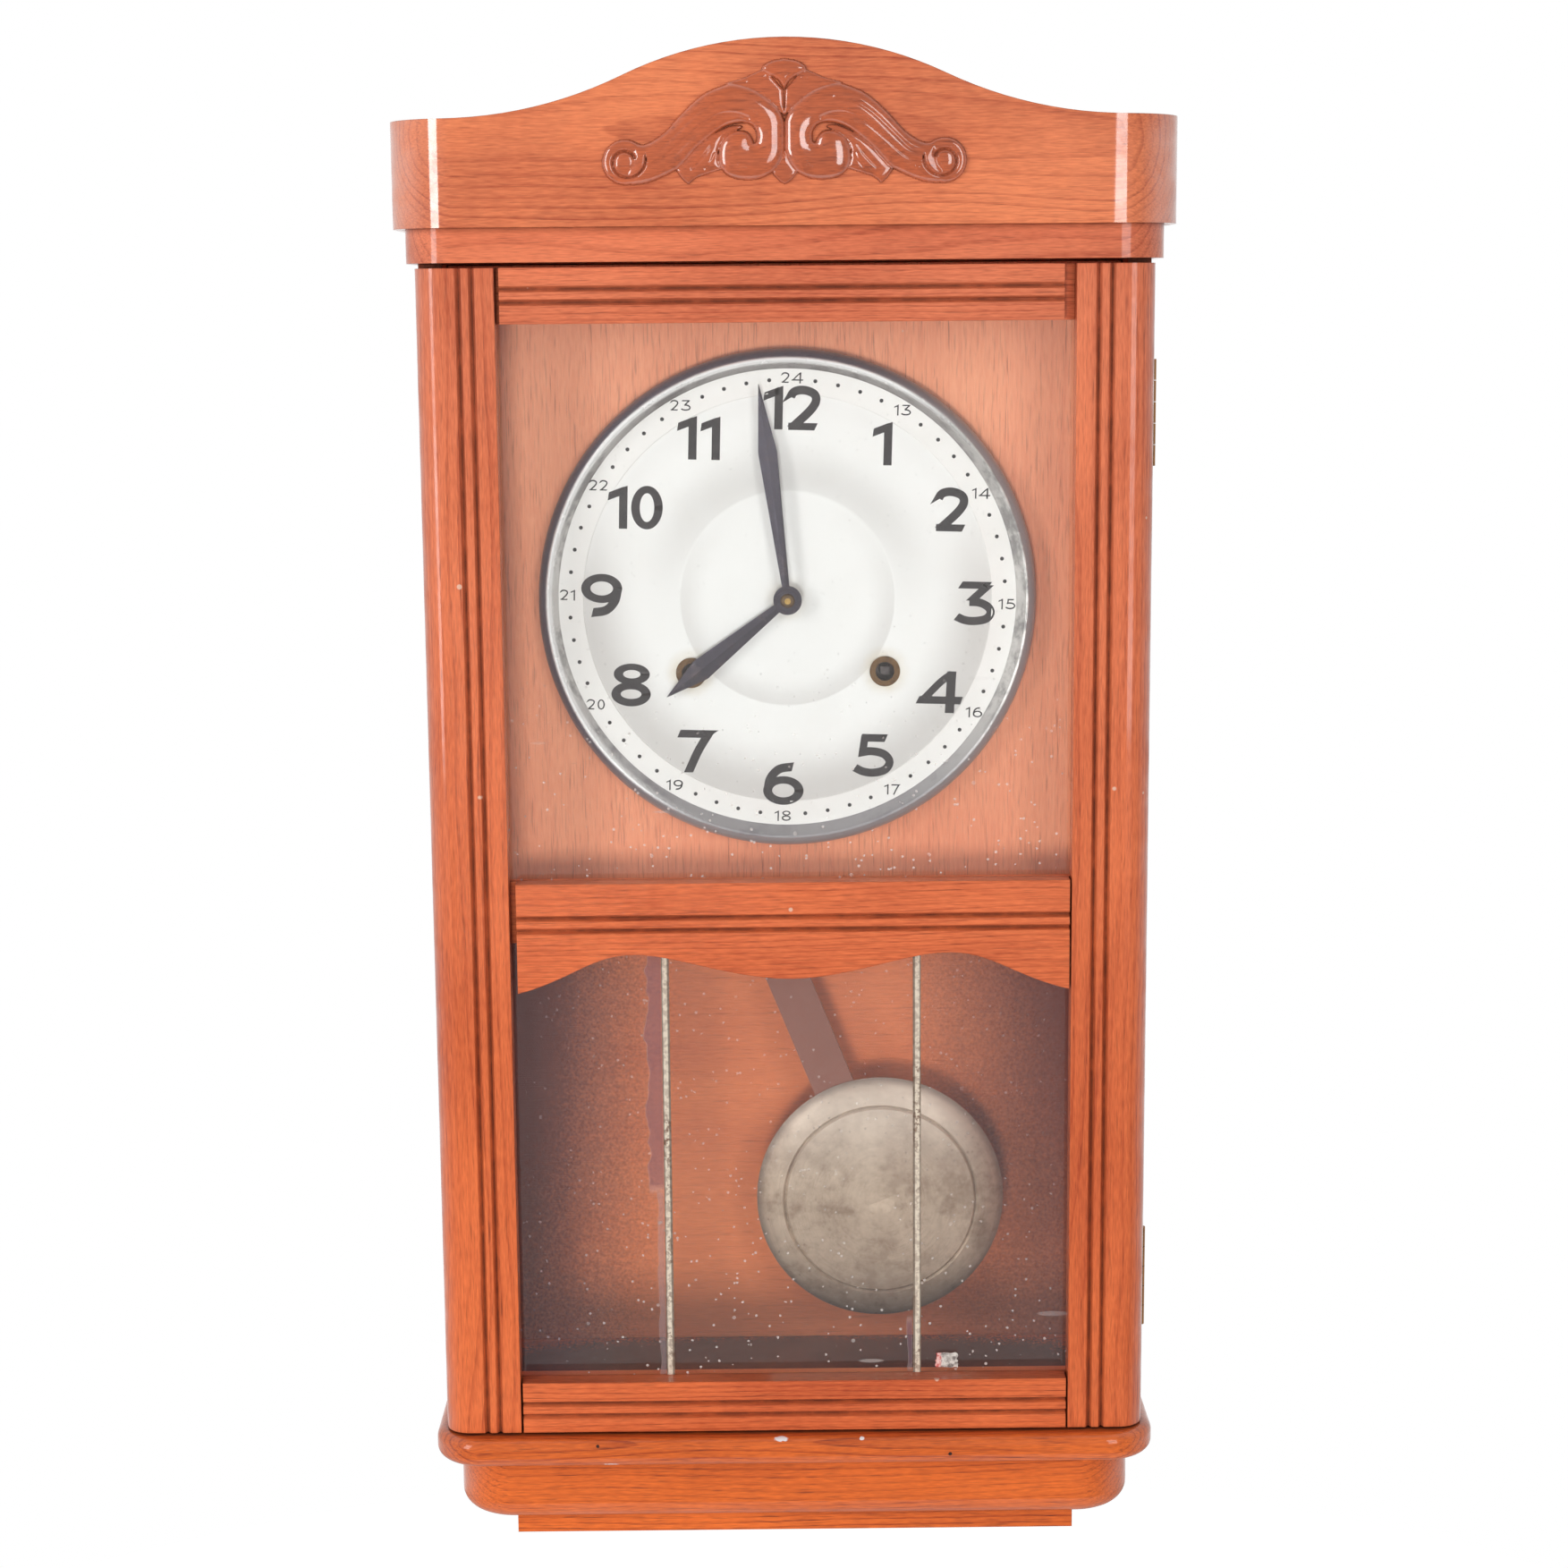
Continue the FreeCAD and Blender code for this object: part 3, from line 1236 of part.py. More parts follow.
def third_wheel():
    """Third wheel of the going train."""
    phase = mesh_phase(THIRD_PINION, bearing(THIRD, CENTRE))
    front = at(CENTRE_AT - PINION_AHEAD)
    pinion = gear(THIRD_PINION, CENTRE_MODULE, SIX_LEAF, phase, THIRD, front, PINION_LENGTH)
    facing = bearing(THIRD, ESCAPE)
    wheel = gear(THIRD_TEETH, THIRD_MODULE, WHEEL_FORM, facing, THIRD, at(THIRD_AT), THIN_WHEEL)
    return fuse(arbor(THIRD) + [pinion, wheel])


def escape_wheel():
    """Escape wheel with its six-leaf pinion."""
    phase = mesh_phase(ESCAPE_PINION, bearing(ESCAPE, THIRD))
    front = at(THIRD_AT - PINION_AHEAD)
    pinion = gear(ESCAPE_PINION, THIRD_MODULE, SIX_LEAF, phase, ESCAPE, front, SHORT_PINION)
    quarter = math.pi / 2
    y0 = at(ESCAPE_AT)
    wheel = saw_ring(ESCAPE_TEETH, ESCAPE_RADIUS, ESCAPE_ROOT, quarter, ESCAPE_LEAN, ESCAPE, y0, THIN_WHEEL)
    shaft = rod_y(*ESCAPE, at(ARBOR_SHAKE), TRAIN_BACK - ARBOR_SHAKE, ESCAPE_ARBOR_RADIUS)
    return fuse([shaft, pinion, wheel] + arbor(ESCAPE)[1:])


def barrel(place, towards):
    """Going barrel: closed drum with the great wheel round its back end, free on its arbor."""
    drum = rod_y(*place, at(BARREL_AT), at(GREAT_AT), BARREL_RADIUS)
    lid = rod_y(*place, at(BARREL_AT - BARREL_LID), at(BARREL_AT), BARREL_RADIUS - 2 * BARREL_LID)
    wheel = gear(GREAT_TEETH, GREAT_MODULE, WHEEL_FORM, towards, place, at(GREAT_AT), GREAT_THICKNESS)
    whole = fuse([drum, lid, wheel])
    return whole.cut(rod_y(*place, TRAIN_FRONT, TRAIN_BACK, WIND_ARBOR_RADIUS + PIVOT_PLAY))


def time_barrel():
    return barrel(TIME_WIND, bearing(TIME_WIND, SECOND))


def strike_barrel():
    return barrel(STRIKE_WIND, bearing(STRIKE_WIND, STRIKE_SECOND))


def ratchet_front():
    """Y of the front of the ratchets and the clicks."""
    return PLATE_FRONT - RATCHET_GAP - RATCHET_THICKNESS


def winding_arbor(place, mirrored):
    """Barrel arbor: a square end for the key, and the ratchet in front of the plate."""
    y0 = ratchet_front()
    shaft = rod_y(*place, y0, PLATE_BACK, WIND_ARBOR_RADIUS)
    half = WIND_SQUARE / 2
    front = DIAL_FACE + DIAL_DISH + WIND_REACH
    square = box(place[0] - half, place[0] + half, front, PLATE_FRONT, place[1] - half, place[1] + half)
    lean = -RATCHET_LEAN - TOOTH_TIP if mirrored else RATCHET_LEAN
    ratchet = saw_ring(RATCHET_TEETH, RATCHET_RADIUS, RATCHET_ROOT, 0, lean, place, y0, RATCHET_THICKNESS)
    return fuse([shaft, square, ratchet])


def time_winding_arbor():
    return winding_arbor(TIME_WIND, False)


def strike_winding_arbor():
    return winding_arbor(STRIKE_WIND, True)


def click_places():
    """Studs that the clicks turn on, outwards of each winding arbor."""
    dx, dz = CLICK_OFFSET
    return ((TIME_WIND[0] + dx, TIME_WIND[1] + dz), (STRIKE_WIND[0] - dx, STRIKE_WIND[1] + dz))


def click(index):
    """Click: a lever on its stud, whose nose lies just outside the ratchet's teeth."""
    place = click_places()[index]
    arbor_place = winding_places()[index]
    sign = 1 if index == 0 else -1
    y0 = ratchet_front()
    nose = polar(arbor_place, RATCHET_RADIUS + CLICK_GAP, 90 - sign * CLICK_NOSE)
    heel = polar(arbor_place, RATCHET_RADIUS + CLICK_BOSS, 90 - sign * (CLICK_NOSE + 4))
    belly = polar(arbor_place, RATCHET_RADIUS + CLICK_GAP, 90 - sign * (CLICK_NOSE + 16))
    root_x = place[0] - sign
    root = ((root_x, place[1] - CLICK_BOSS + 0.4), (root_x, place[1] + CLICK_BOSS - 0.4))
    lever = polygon_xz(root + (heel, nose, belly), y0, y0 + RATCHET_THICKNESS)
    boss = rod_y(*place, y0, y0 + RATCHET_THICKNESS, CLICK_BOSS)
    bore = rod_y(*place, y0 - 1, y0 + RATCHET_THICKNESS + 1, ARBOR_RADIUS + PIVOT_PLAY)
    return fuse([lever, boss]).cut(bore)


def time_click():
    return click(0)


def strike_click():
    return click(1)


# ---- escapement and suspension ----
def leader_tilt():
    """Angle of the leader from the plumb line, in degrees; positive swings to the viewer's right."""
    return math.degrees(math.atan2(HOOK_OFFSET, SUSPENSION_Z - level(HOOK_LEVEL)))


def swung(shape, place, degrees):
    """Turn a shape drawn hanging plumb about a Y axis, so that its foot moves to the right."""
    turned_shape = shape.copy()
    turned_shape.rotate(V(place[0], 0, place[1]), V(0, 1, 0), -degrees)
    return turned_shape


def anchor():
    """Anchor with two pallets, its arbor, and the crutch that follows the pendulum's leader."""
    x, z = ANCHOR
    y0 = at(ESCAPE_AT - (ANCHOR_SHEET - THIN_WHEEL) / 2)
    y1 = y0 + ANCHOR_SHEET
    drop = ANCHOR_RISE - ESCAPE_RADIUS
    span = math.sqrt(ANCHOR_RISE ** 2 - ESCAPE_RADIUS ** 2)
    lean = math.asin(ESCAPE_RADIUS / ANCHOR_RISE)
    band = ANCHOR_BAND
    pallet_x = span * math.sin(lean) + ANCHOR_CLEAR
    pallet_z = z - span * math.cos(lean) + band
    arch_z = z - drop + 1.5 * band
    right = (
        (band, z + band), (3.5 * band, z + 1.0), (pallet_x + band, pallet_z + band),
        (pallet_x, pallet_z), (3 * band, arch_z),
    )
    left = [(-out, up) for out, up in reversed(right)]
    points = [(x + out, up) for out, up in list(right) + left]
    body = polygon_xz(points, y0, y1)
    shaft = rod_y(x, z, TRAIN_FRONT - PLATE_THICKNESS, crutch_back(), ARBOR_RADIUS)
    half = CRUTCH_WIRE / 2
    y_arm = crutch_back() - CRUTCH_WIRE
    foot = z - CRUTCH_LENGTH
    fork_top = foot + 2 * CRUTCH_WIRE
    arm = box(x - half, x + half, y_arm, crutch_back(), foot, z)
    prong_gap = LEADER_RADIUS + CRUTCH_PLAY
    span = prong_gap + CRUTCH_PRONG
    y_prong = PENDULUM_Y + 2 * LEADER_RADIUS
    prongs = []
    for sign in (-1, 1):
        x0, x1 = sorted((x + sign * prong_gap, x + sign * span))
        prongs.append(box(x0, x1, y_arm, y_prong, foot, fork_top))
    bridge = box(x - span, x + span, y_arm, crutch_back(), foot, fork_top)
    return swung(fuse([body, shaft, arm, bridge] + prongs), ANCHOR, leader_tilt())


def crutch_back():
    """Y of the back of the crutch, clear of the leader."""
    return PENDULUM_Y - EYE_THICKNESS / 2 - 2 * CRUTCH_PLAY


def suspension_cock():
    """Bracket on the back plate, with the pin that the leader hangs on."""
    x, z = ANCHOR
    low = z + EYE_RADIUS + COCK_SHEET
    high = DIAL_Z + PLATE_ABOVE
    shake = ARBOR_SHAKE + 0.1
    eye_back = PENDULUM_Y + EYE_THICKNESS / 2 + shake
    half = COCK_ARM_WIDTH / 2
    foot = box(x - COCK_WIDTH / 2, x + COCK_WIDTH / 2, PLATE_BACK, PLATE_BACK + COCK_SHEET, low, high)
    arm = box(x - half, x + half, PLATE_BACK, eye_back + COCK_SHEET, high - COCK_SHEET, high)
    ear = box(x - half, x + half, eye_back, eye_back + COCK_SHEET, z - EYE_RADIUS, high)
    pin = rod_y(x, z, PENDULUM_Y - EYE_THICKNESS / 2 - shake, eye_back, HOOK_PIN_RADIUS)
    return fuse([foot, arm, ear, pin])


def eye(x, z):
    """Ring that hangs on a pin."""
    ring = rod_y(x, z, PENDULUM_Y - EYE_THICKNESS / 2, PENDULUM_Y + EYE_THICKNESS / 2, EYE_RADIUS)
    return ring, rod_y(x, z, PENDULUM_Y - 4, PENDULUM_Y + 4, HOOK_PIN_RADIUS + HOOK_PLAY)


def leader_length():
    return math.hypot(HOOK_OFFSET, SUSPENSION_Z - level(HOOK_LEVEL))


def pendulum_leader():
    """Leader wire: an eye on the suspension pin above and a cross pin below."""
    x, z = ANCHOR
    ring, bore = eye(x, z)
    low = z - leader_length()
    half = YOKE_WIDTH / 2
    under = low + EYE_RADIUS + 1.0
    top = under + YOKE_SHEET
    reach = EYE_THICKNESS / 2 + YOKE_PLAY + YOKE_SHEET
    y0 = PENDULUM_Y - reach
    y1 = PENDULUM_Y + reach
    wire = rod_z(x, PENDULUM_Y, under, z - EYE_RADIUS + HOOK_PIN_RADIUS / 2, LEADER_RADIUS)
    yoke_top = box(x - half, x + half, y0, y1, under, top)
    front = box(x - half, x + half, y0, y0 + YOKE_SHEET, low - half, top)
    back = box(x - half, x + half, y1 - YOKE_SHEET, y1, low - half, top)
    pin = rod_y(x, low, y0, y1, HOOK_PIN_RADIUS)
    whole = fuse([ring, wire, yoke_top, front, back, pin]).cut(bore)
    return swung(whole, ANCHOR, leader_tilt())


def hook_place():
    """X and Z of the pin that the pendulum hangs on."""
    return (ANCHOR[0] + HOOK_OFFSET, level(HOOK_LEVEL))


def pendulum_rod():
    """Flat pendulum stick, drawn plumb: an eye above and a threaded end below."""
    x, z = hook_place()
    ring, bore = eye(x, z)
    neck_half = YOKE_WIDTH / 2
    neck_sheet = 0.8 * EYE_THICKNESS / 2
    stick_top = z - ROD_NECK
    neck_top = z - EYE_RADIUS + 1
    y0 = PENDULUM_Y - neck_sheet
    neck = box(x - neck_half, x + neck_half, y0, y0 + 2 * neck_sheet, stick_top - 1, neck_top)
    half = ROD_WIDTH / 2
    y0 = PENDULUM_Y - ROD_THICKNESS / 2
    stick_foot = z - ROD_TO_BOB + 1.2
    stick = box(x - half, x + half, y0, y0 + ROD_THICKNESS, stick_foot, stick_top)
    screw = rod_z(x, PENDULUM_Y, z - ROD_TO_BOB - SCREW_REACH, stick_foot, RATING_THREAD_RADIUS)
    whole = fuse([ring, neck, stick, screw]).cut(bore)
    return swung(whole, hook_place(), PENDULUM_TILT)


def bob_hub_levels():
    """Top and foot of the hub inside the bob, with the pendulum drawn plumb."""
    z = hook_place()[1] - ROD_TO_BOB
    return (z + HUB_ABOVE, z - HUB_BELOW)


def bob_front():
    """Y of the crown of the bob's face."""
    return PENDULUM_Y - ROD_THICKNESS / 2 - 2 * HUB_SLACK - BOB_DOME


def cap_drop(radius, reach, depth):
    """Fall of a ball's cap at a radius; the cap falls by its depth at its reach."""
    ball = (reach ** 2 + depth ** 2) / (2 * depth)
    return ball - math.sqrt(ball ** 2 - radius ** 2)


def bob_shell():
    """Pressed face of the bob: a low dome, a ring groove and a falling border, open behind."""
    x, z_hook = hook_place()
    face = bob_front()
    ring = BOB_RING_RADIUS
    inner = ring - BOB_RING_HALF
    outer = ring + BOB_RING_HALF
    crown = face + BOB_CROWN
    rim = face + BOB_DOME
    border = (outer + BOB_RADIUS) / 2
    border_y = crown + (rim - crown) * BORDER_SAG
    wall = BOB_WALL
    middle = face + cap_drop(inner / 2, inner, BOB_CROWN)
    strokes = (
        ((0, face), (inner / 2, middle), (inner, crown)),
        ((inner, crown), (ring, crown + BOB_RING_HALF)),
        ((ring, crown + BOB_RING_HALF), (outer, crown)),
        ((outer, crown), (border, border_y), (BOB_RADIUS, rim)),
        ((BOB_RADIUS, rim), (BOB_RADIUS - wall, rim)),
        ((BOB_RADIUS - wall, rim), (border, border_y + wall), (outer, crown + BOB_RING_HALF + wall)),
        ((outer, crown + BOB_RING_HALF + wall), (inner, crown + BOB_RING_HALF + wall)),
        ((inner, crown + BOB_RING_HALF + wall), (0, face + wall)),
        ((0, face + wall), (0, face)),
    )
    return turned_curve(strokes, x, z_hook - ROD_TO_BOB)


def bob_hub():
    """Slotted hub behind the bob's face; the stick slides in it and it rests on the nut."""
    x, z_hook = hook_place()
    top, foot = bob_hub_levels()
    half = ROD_WIDTH / 2
    y0 = bob_front() + BOB_WALL - 0.2
    slot_half = ROD_THICKNESS / 2 + HUB_SLACK
    y1 = PENDULUM_Y + slot_half + 2 * BOB_WALL
    block = box(x - half - HUB_SIDE, x + half + HUB_SIDE, y0, y1, foot, top)
    wide = half + HUB_SLACK
    floor = foot + HUB_BELOW / 2
    slot = box(x - wide, x + wide, PENDULUM_Y - slot_half, PENDULUM_Y + slot_half, floor, top + 1)
    bore = rod_z(x, PENDULUM_Y, foot - 1, floor + 1, RATING_THREAD_RADIUS + HOOK_PLAY)
    return block.cut(slot).cut(bore)


def pendulum_bob():
    """Bob: the pressed face with its hub soldered inside."""
    return swung(fuse([bob_shell(), bob_hub()]), hook_place(), PENDULUM_TILT)


def rating_nut():
    """Nut under the hub that raises and lowers the bob."""
    x = hook_place()[0]
    top = bob_hub_levels()[1] - NUT_GAP
    foot = top - RATING_NUT_HEIGHT
    nut = rod_z(x, PENDULUM_Y, foot, top, RATING_NUT_RADIUS)
    bore = rod_z(x, PENDULUM_Y, foot - 1, top + 1, RATING_THREAD_RADIUS + PIVOT_PLAY)
    return swung(nut.cut(bore), hook_place(), PENDULUM_TILT)


# ---- strike train ----
def strike_second_wheel():
    """Second wheel of the strike; the star behind the back plate lifts the hammer's tail."""
    wheel = gear(STRIKE_TEETH, STRIKE_MODULE, WHEEL_FORM, bearing(STRIKE_SECOND, WARN), STRIKE_SECOND,
                 at(STRIKE_SECOND_AT), WHEEL_THICKNESS)
    y0 = star_front()
    lean = -TOOTH_TIP / 2
    star = saw_ring(STAR_POINTS, STAR_RADIUS, STAR_ROOT, 0, lean, STRIKE_SECOND, y0, STAR_THICKNESS)
    neck = rod_y(*STRIKE_SECOND, PLATE_BACK, y0 + STAR_THICKNESS, PIVOT_RADIUS)
    return second_wheel_on(STRIKE_SECOND, bearing(STRIKE_SECOND, STRIKE_WIND), [wheel, star, neck])


def star_front():
    """Y of the front of the star and of the hammer's tail."""
    return PLATE_BACK + 0.8


def warning_wheel():
    """Third wheel of the strike."""
    phase = mesh_phase(STRIKE_PINION, bearing(WARN, STRIKE_SECOND))
    front = at(STRIKE_SECOND_AT - PINION_AHEAD)
    pinion = gear(STRIKE_PINION, STRIKE_MODULE, EIGHT_LEAF, phase, WARN, front, PINION_LENGTH)
    wheel = gear(WARN_TEETH, WARN_MODULE, WHEEL_FORM, bearing(WARN, FLY), WARN, at(WARN_AT), THIN_WHEEL)
    return fuse(arbor(WARN) + [pinion, wheel])


def fly():
    """Air brake of the strike: two vanes on a pinion's arbor."""
    phase = mesh_phase(FLY_PINION, bearing(FLY, WARN))
    pinion = gear(FLY_PINION, WARN_MODULE, EIGHT_LEAF, phase, FLY, at(WARN_AT - PINION_AHEAD), SHORT_PINION)
    x, z = FLY
    y1 = at(FLY_VANES_AT + FLY_LENGTH)
    half = FLY_SHEET / 2
    vanes = box(x - FLY_SPAN, x + FLY_SPAN, at(FLY_VANES_AT), y1, z - half, z + half)
    return fuse(arbor(FLY) + [pinion, vanes])


# ---- hammer and gong ----
def gong_front():
    """Y of the plane of the gong rods."""
    return -BACK_THICKNESS - GONG_STAND


def hammer_head():
    """X and Z of the middle of the hammer's head."""
    edge = -GONG_OFFSET + GONG_ROD_SPACING + GONG_ROD_RADIUS
    return (edge + HAMMER_GAP + HAMMER_LENGTH / 2, level(GONG_LEVEL) - HAMMER_DROP)


def hammer():
    """Hammer on its stud: a tail towards the star and an arm to the head beside the gong rods."""
    x, z = HAMMER
    head_x, head_z = hammer_head()
    y0 = star_front()
    y1 = PLATE_BACK + HAMMER_BOSS
    boss = rod_y(x, z, y0, y1, HAMMER_BOSS_RADIUS)
    wire = HAMMER_WIRE
    outline = ((x - wire, z), (x + wire, z), (head_x + wire, head_z), (head_x - wire, head_z))
    arm = polygon_xz(outline, y1 - wire, y1)
    post = box(head_x - wire, head_x + wire, y1 - wire, gong_front(), head_z - wire, head_z + wire)
    start = V(head_x - HAMMER_LENGTH / 2, gong_front(), head_z)
    head = Part.makeCylinder(HAMMER_HEAD_RADIUS, HAMMER_LENGTH, start, V(1, 0, 0))
    reach = STAR_RADIUS + STAR_CLEARANCE
    end_x, end_z = polar(STRIKE_SECOND, reach, math.degrees(bearing(STRIKE_SECOND, HAMMER)))
    root = ((x, z - wire), (x - 1, z + wire))
    point = ((end_x - 0.4, end_z + 0.5), (end_x + 0.4, end_z - 0.5))
    tail = polygon_xz(root + point, y0, y0 + STAR_THICKNESS)
    bore = rod_y(x, z, y0 - 1, y1 + 1, ARBOR_RADIUS + PIVOT_PLAY)
    return fuse([boss, arm, post, head, tail]).cut(bore)


def gong_block():
    """Iron block on the back that holds the gong rods."""
    wide, deep, tall = GONG_BLOCK
    z = level(GONG_LEVEL)
    y1 = -BACK_THICKNESS
    block = box(-GONG_OFFSET - wide / 2, -GONG_OFFSET + wide / 2, y1 - deep, y1, z, z + tall)
    return block


def gong_rods():
    """Three tuned rods hanging from the block."""
    z = level(GONG_LEVEL)
    rods = []
    for index, share in zip((-1, 0, 1), GONG_TUNING):
        x = -GONG_OFFSET + index * GONG_ROD_SPACING
        rods.append(rod_z(x, gong_front(), z - GONG_ROD_LENGTH * share, z, GONG_ROD_RADIUS))
    return group(rods)


# ---- motion work and hands ----
def nut_front():
    """Y of the front of the nut on the hands."""
    return minute_hand_y() - HAND_COLLAR - HAND_NUT_HEIGHT


def hour_hand_y():
    return DIAL_FACE - HAND_GAP - HAND_THICKNESS


def minute_hand_y():
    return hour_hand_y() - HAND_GAP - HAND_THICKNESS


def cannon_pinion():
    """Tube on the centre arbor with the pinion that drives the motion wheel."""
    phase = mesh_phase(CANNON_TEETH, bearing(CENTRE, MOTION))
    back = PLATE_FRONT - CANNON_GAP
    teeth = gear(CANNON_TEETH, MOTION_MODULE, FULL_LEAF, phase, CENTRE, back - CANNON_LENGTH, CANNON_LENGTH)
    tube = rod_y(*CENTRE, minute_hand_y() + HAND_THICKNESS, back, CANNON_RADIUS)
    return fuse([teeth, tube]).cut(rod_y(*CENTRE, minute_hand_y() - 1, PLATE_FRONT, ARBOR_RADIUS))


def motion_wheel():
    """Motion wheel and its pinion, on a stud of the front plate."""
    y0 = PLATE_FRONT - CANNON_GAP - CANNON_LENGTH + 0.4
    facing = bearing(MOTION, CENTRE)
    wheel = gear(MOTION_TEETH, MOTION_MODULE, WHEEL_FORM, facing, MOTION, y0, MOTION_SHEET)
    phase = mesh_phase(MOTION_PINION, facing)
    front = y0 - MOTION_PINION_LENGTH
    pinion = gear(MOTION_PINION, HOUR_MODULE, FULL_LEAF, phase, MOTION, front, MOTION_PINION_LENGTH)
    bore = rod_y(*MOTION, front - 1, PLATE_FRONT, ARBOR_RADIUS + PIVOT_PLAY)
    return fuse([wheel, pinion]).cut(bore)


def hour_wheel():
    """Hour wheel with the pipe that carries the hour hand."""
    y1 = PLATE_FRONT - CANNON_GAP - CANNON_LENGTH - HOUR_WHEEL_GAP
    y0 = y1 - MOTION_SHEET
    wheel = gear(HOUR_TEETH, HOUR_MODULE, WHEEL_FORM, bearing(CENTRE, MOTION), CENTRE, y0, MOTION_SHEET)
    pipe = rod_y(*CENTRE, hour_hand_y() + HAND_THICKNESS, y1, HOUR_PIPE_RADIUS)
    bore = rod_y(*CENTRE, hour_hand_y() - 1, y1 + 1, CANNON_RADIUS + PIVOT_PLAY)
    return fuse([wheel, pipe]).cut(bore)


def hand_blade(length, neck, width, waist, y_back):
    """Blade drawn upright: flat behind, with a ridge down the middle of its front."""
    x, z = CENTRE
    outline = ((neck, HAND_HUB_RADIUS - 1), (width, length * waist), (HAND_TIP_WIDTH, length))
    rise = (HAND_THICKNESS, HAND_RIDGE, HAND_RIDGE / 2)
    left = [V(x - wide / 2, y_back, z + up) for wide, up in outline]
    right = [V(x + wide / 2, y_back, z + up) for wide, up in outline]
    ridge = [V(x, y_back - high, z + up) for high, (wide, up) in zip(rise, outline)]
    faces = [(left[0], right[0], ridge[0]), (right[-1], left[-1], ridge[-1])]
    for low in (0, 1):
        high = low + 1
        faces += [(left[low], ridge[low], ridge[high]), (left[low], ridge[high], left[high])]
        faces += [(ridge[low], right[low], right[high]), (ridge[low], right[high], ridge[high])]
        faces += [(right[low], left[low], left[high]), (right[low], left[high], right[high])]
    flats = [Part.Face(Part.makePolygon(list(face) + [face[0]])) for face in faces]
    return Part.makeSolid(Part.makeShell(flats))


def hand(length, neck, width, waist, y0, bore, degrees):
    """Hand with a round hub, turned clockwise from twelve."""
    x, z = CENTRE
    blade = hand_blade(length, neck, width, waist, y0 + HAND_THICKNESS)
    hub = rod_y(x, z, y0, y0 + HAND_THICKNESS, HAND_HUB_RADIUS)
    collar = rod_y(x, z, y0 - HAND_COLLAR, y0, HAND_COLLAR_RADIUS)
    whole = fuse([blade, hub, collar]).cut(rod_y(x, z, y0 - 2, y0 + 2, bore))
    whole.rotate(V(x, 0, z), V(0, 1, 0), degrees)
    return whole


def hour_hand():
    y0 = hour_hand_y()
    bore = CANNON_RADIUS + PIVOT_PLAY
    return hand(HOUR_LENGTH, HOUR_NECK, HOUR_WIDTH, HOUR_WAIST, y0, bore, HOUR_TURN)


def minute_hand():
    y0 = minute_hand_y()
    return hand(MINUTE_LENGTH, MINUTE_NECK, MINUTE_WIDTH, MINUTE_WAIST, y0, ARBOR_RADIUS, MINUTE_TURN)


def hand_nut():
    """Domed brass nut that holds the minute hand."""
    back = minute_hand_y() - HAND_COLLAR
    front = nut_front()
    bend = (HAND_NUT_RADIUS - ARBOR_RADIUS) * math.sqrt(0.5)
    strokes = (
        ((ARBOR_RADIUS, back), (HAND_NUT_RADIUS, back)),
        ((HAND_NUT_RADIUS, back), (ARBOR_RADIUS + bend, front + 0.5), (ARBOR_RADIUS, front)),
        ((ARBOR_RADIUS, front), (ARBOR_RADIUS, back)),
    )
    return turned_curve(strokes, *CENTRE)


# ---- all parts ----
PARTS = {
    "back_panel": back_panel,
    "hanger_plate": hanger_plate,
    "side_left": lambda: side(-1),
    "side_right": lambda: side(1),
    "top_board": top_board,
    "bottom_board": bottom_board,
    "base_block": base_block,
    "foot_strip": foot_strip,
    "crown_board": crown_board,
    "crown_sides": crown_sides,
    "crest_carving": crest_carving,
    "dial_board": dial_board,
    "case_cleats": case_cleats,
    "seat_board": seat_board,
    "hinge_case_leaves": hinge_case_leaves,
    "catch_spring": catch_spring,
    "dial_plate": dial_plate,
    "bezel_ring": bezel_ring,
    "winding_eyelets": winding_eyelets,
    "door_stile_left": lambda: door_stile(-1),
    "door_stile_right": lambda: door_stile(1),
    "door_top_rail": door_top_rail,
    "door_mid_rail": door_mid_rail,
    "door_bottom_rail": door_bottom_rail,
    "glass_upper": glass_upper,
    "glass_lower": glass_lower,
    "glass_strips": glass_strips,
    "glass_beads": glass_beads,
    "hinge_door_leaves": hinge_door_leaves,
    "catch_stud": catch_stud,
    "front_plate": front_plate,
    "back_plate": back_plate,
    "centre_arbor": centre_arbor,
    "cannon_pinion": cannon_pinion,
    "minute_hand": minute_hand,
    "hand_nut": hand_nut,
    "motion_wheel": motion_wheel,
    "hour_wheel": hour_wheel,
    "hour_hand": hour_hand,
    "second_wheel": second_wheel,
    "third_wheel": third_wheel,
    "escape_wheel": escape_wheel,
    "anchor": anchor,
    "suspension_cock": suspension_cock,
    "time_barrel": time_barrel,
    "time_winding_arbor": time_winding_arbor,
    "time_click": time_click,
    "strike_barrel": strike_barrel,
    "strike_winding_arbor": strike_winding_arbor,
    "strike_click": strike_click,
    "strike_second_wheel": strike_second_wheel,
    "warning_wheel": warning_wheel,
    "fly": fly,
    "hammer": hammer,
    "gong_block": gong_block,
    "gong_rods": gong_rods,
    "pendulum_leader": pendulum_leader,
    "pendulum_rod": pendulum_rod,
    "pendulum_bob": pendulum_bob,
    "rating_nut": rating_nut,
}


def main():
    os.makedirs("parts", exist_ok=True)
    for name, build in PARTS.items():
        shape = build()
        print(name, "valid" if shape.isValid() else "INVALID", len(shape.Solids), round(shape.Volume, 1))
        shape.exportStep("parts/" + name + ".step")


main()
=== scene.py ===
"""Looks of a pendulum wall clock: stained wood, old glass, a silvered dial and a spun bob.

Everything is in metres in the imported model's own frame: X to the viewer's right, Y into the
wall, Z up, with the origin in the hanger hole on the back plane.
"""

import logging
import math
from dataclasses import dataclass
from enum import Enum

import bmesh
import bpy
import numpy as np
from mathutils import Matrix, Vector


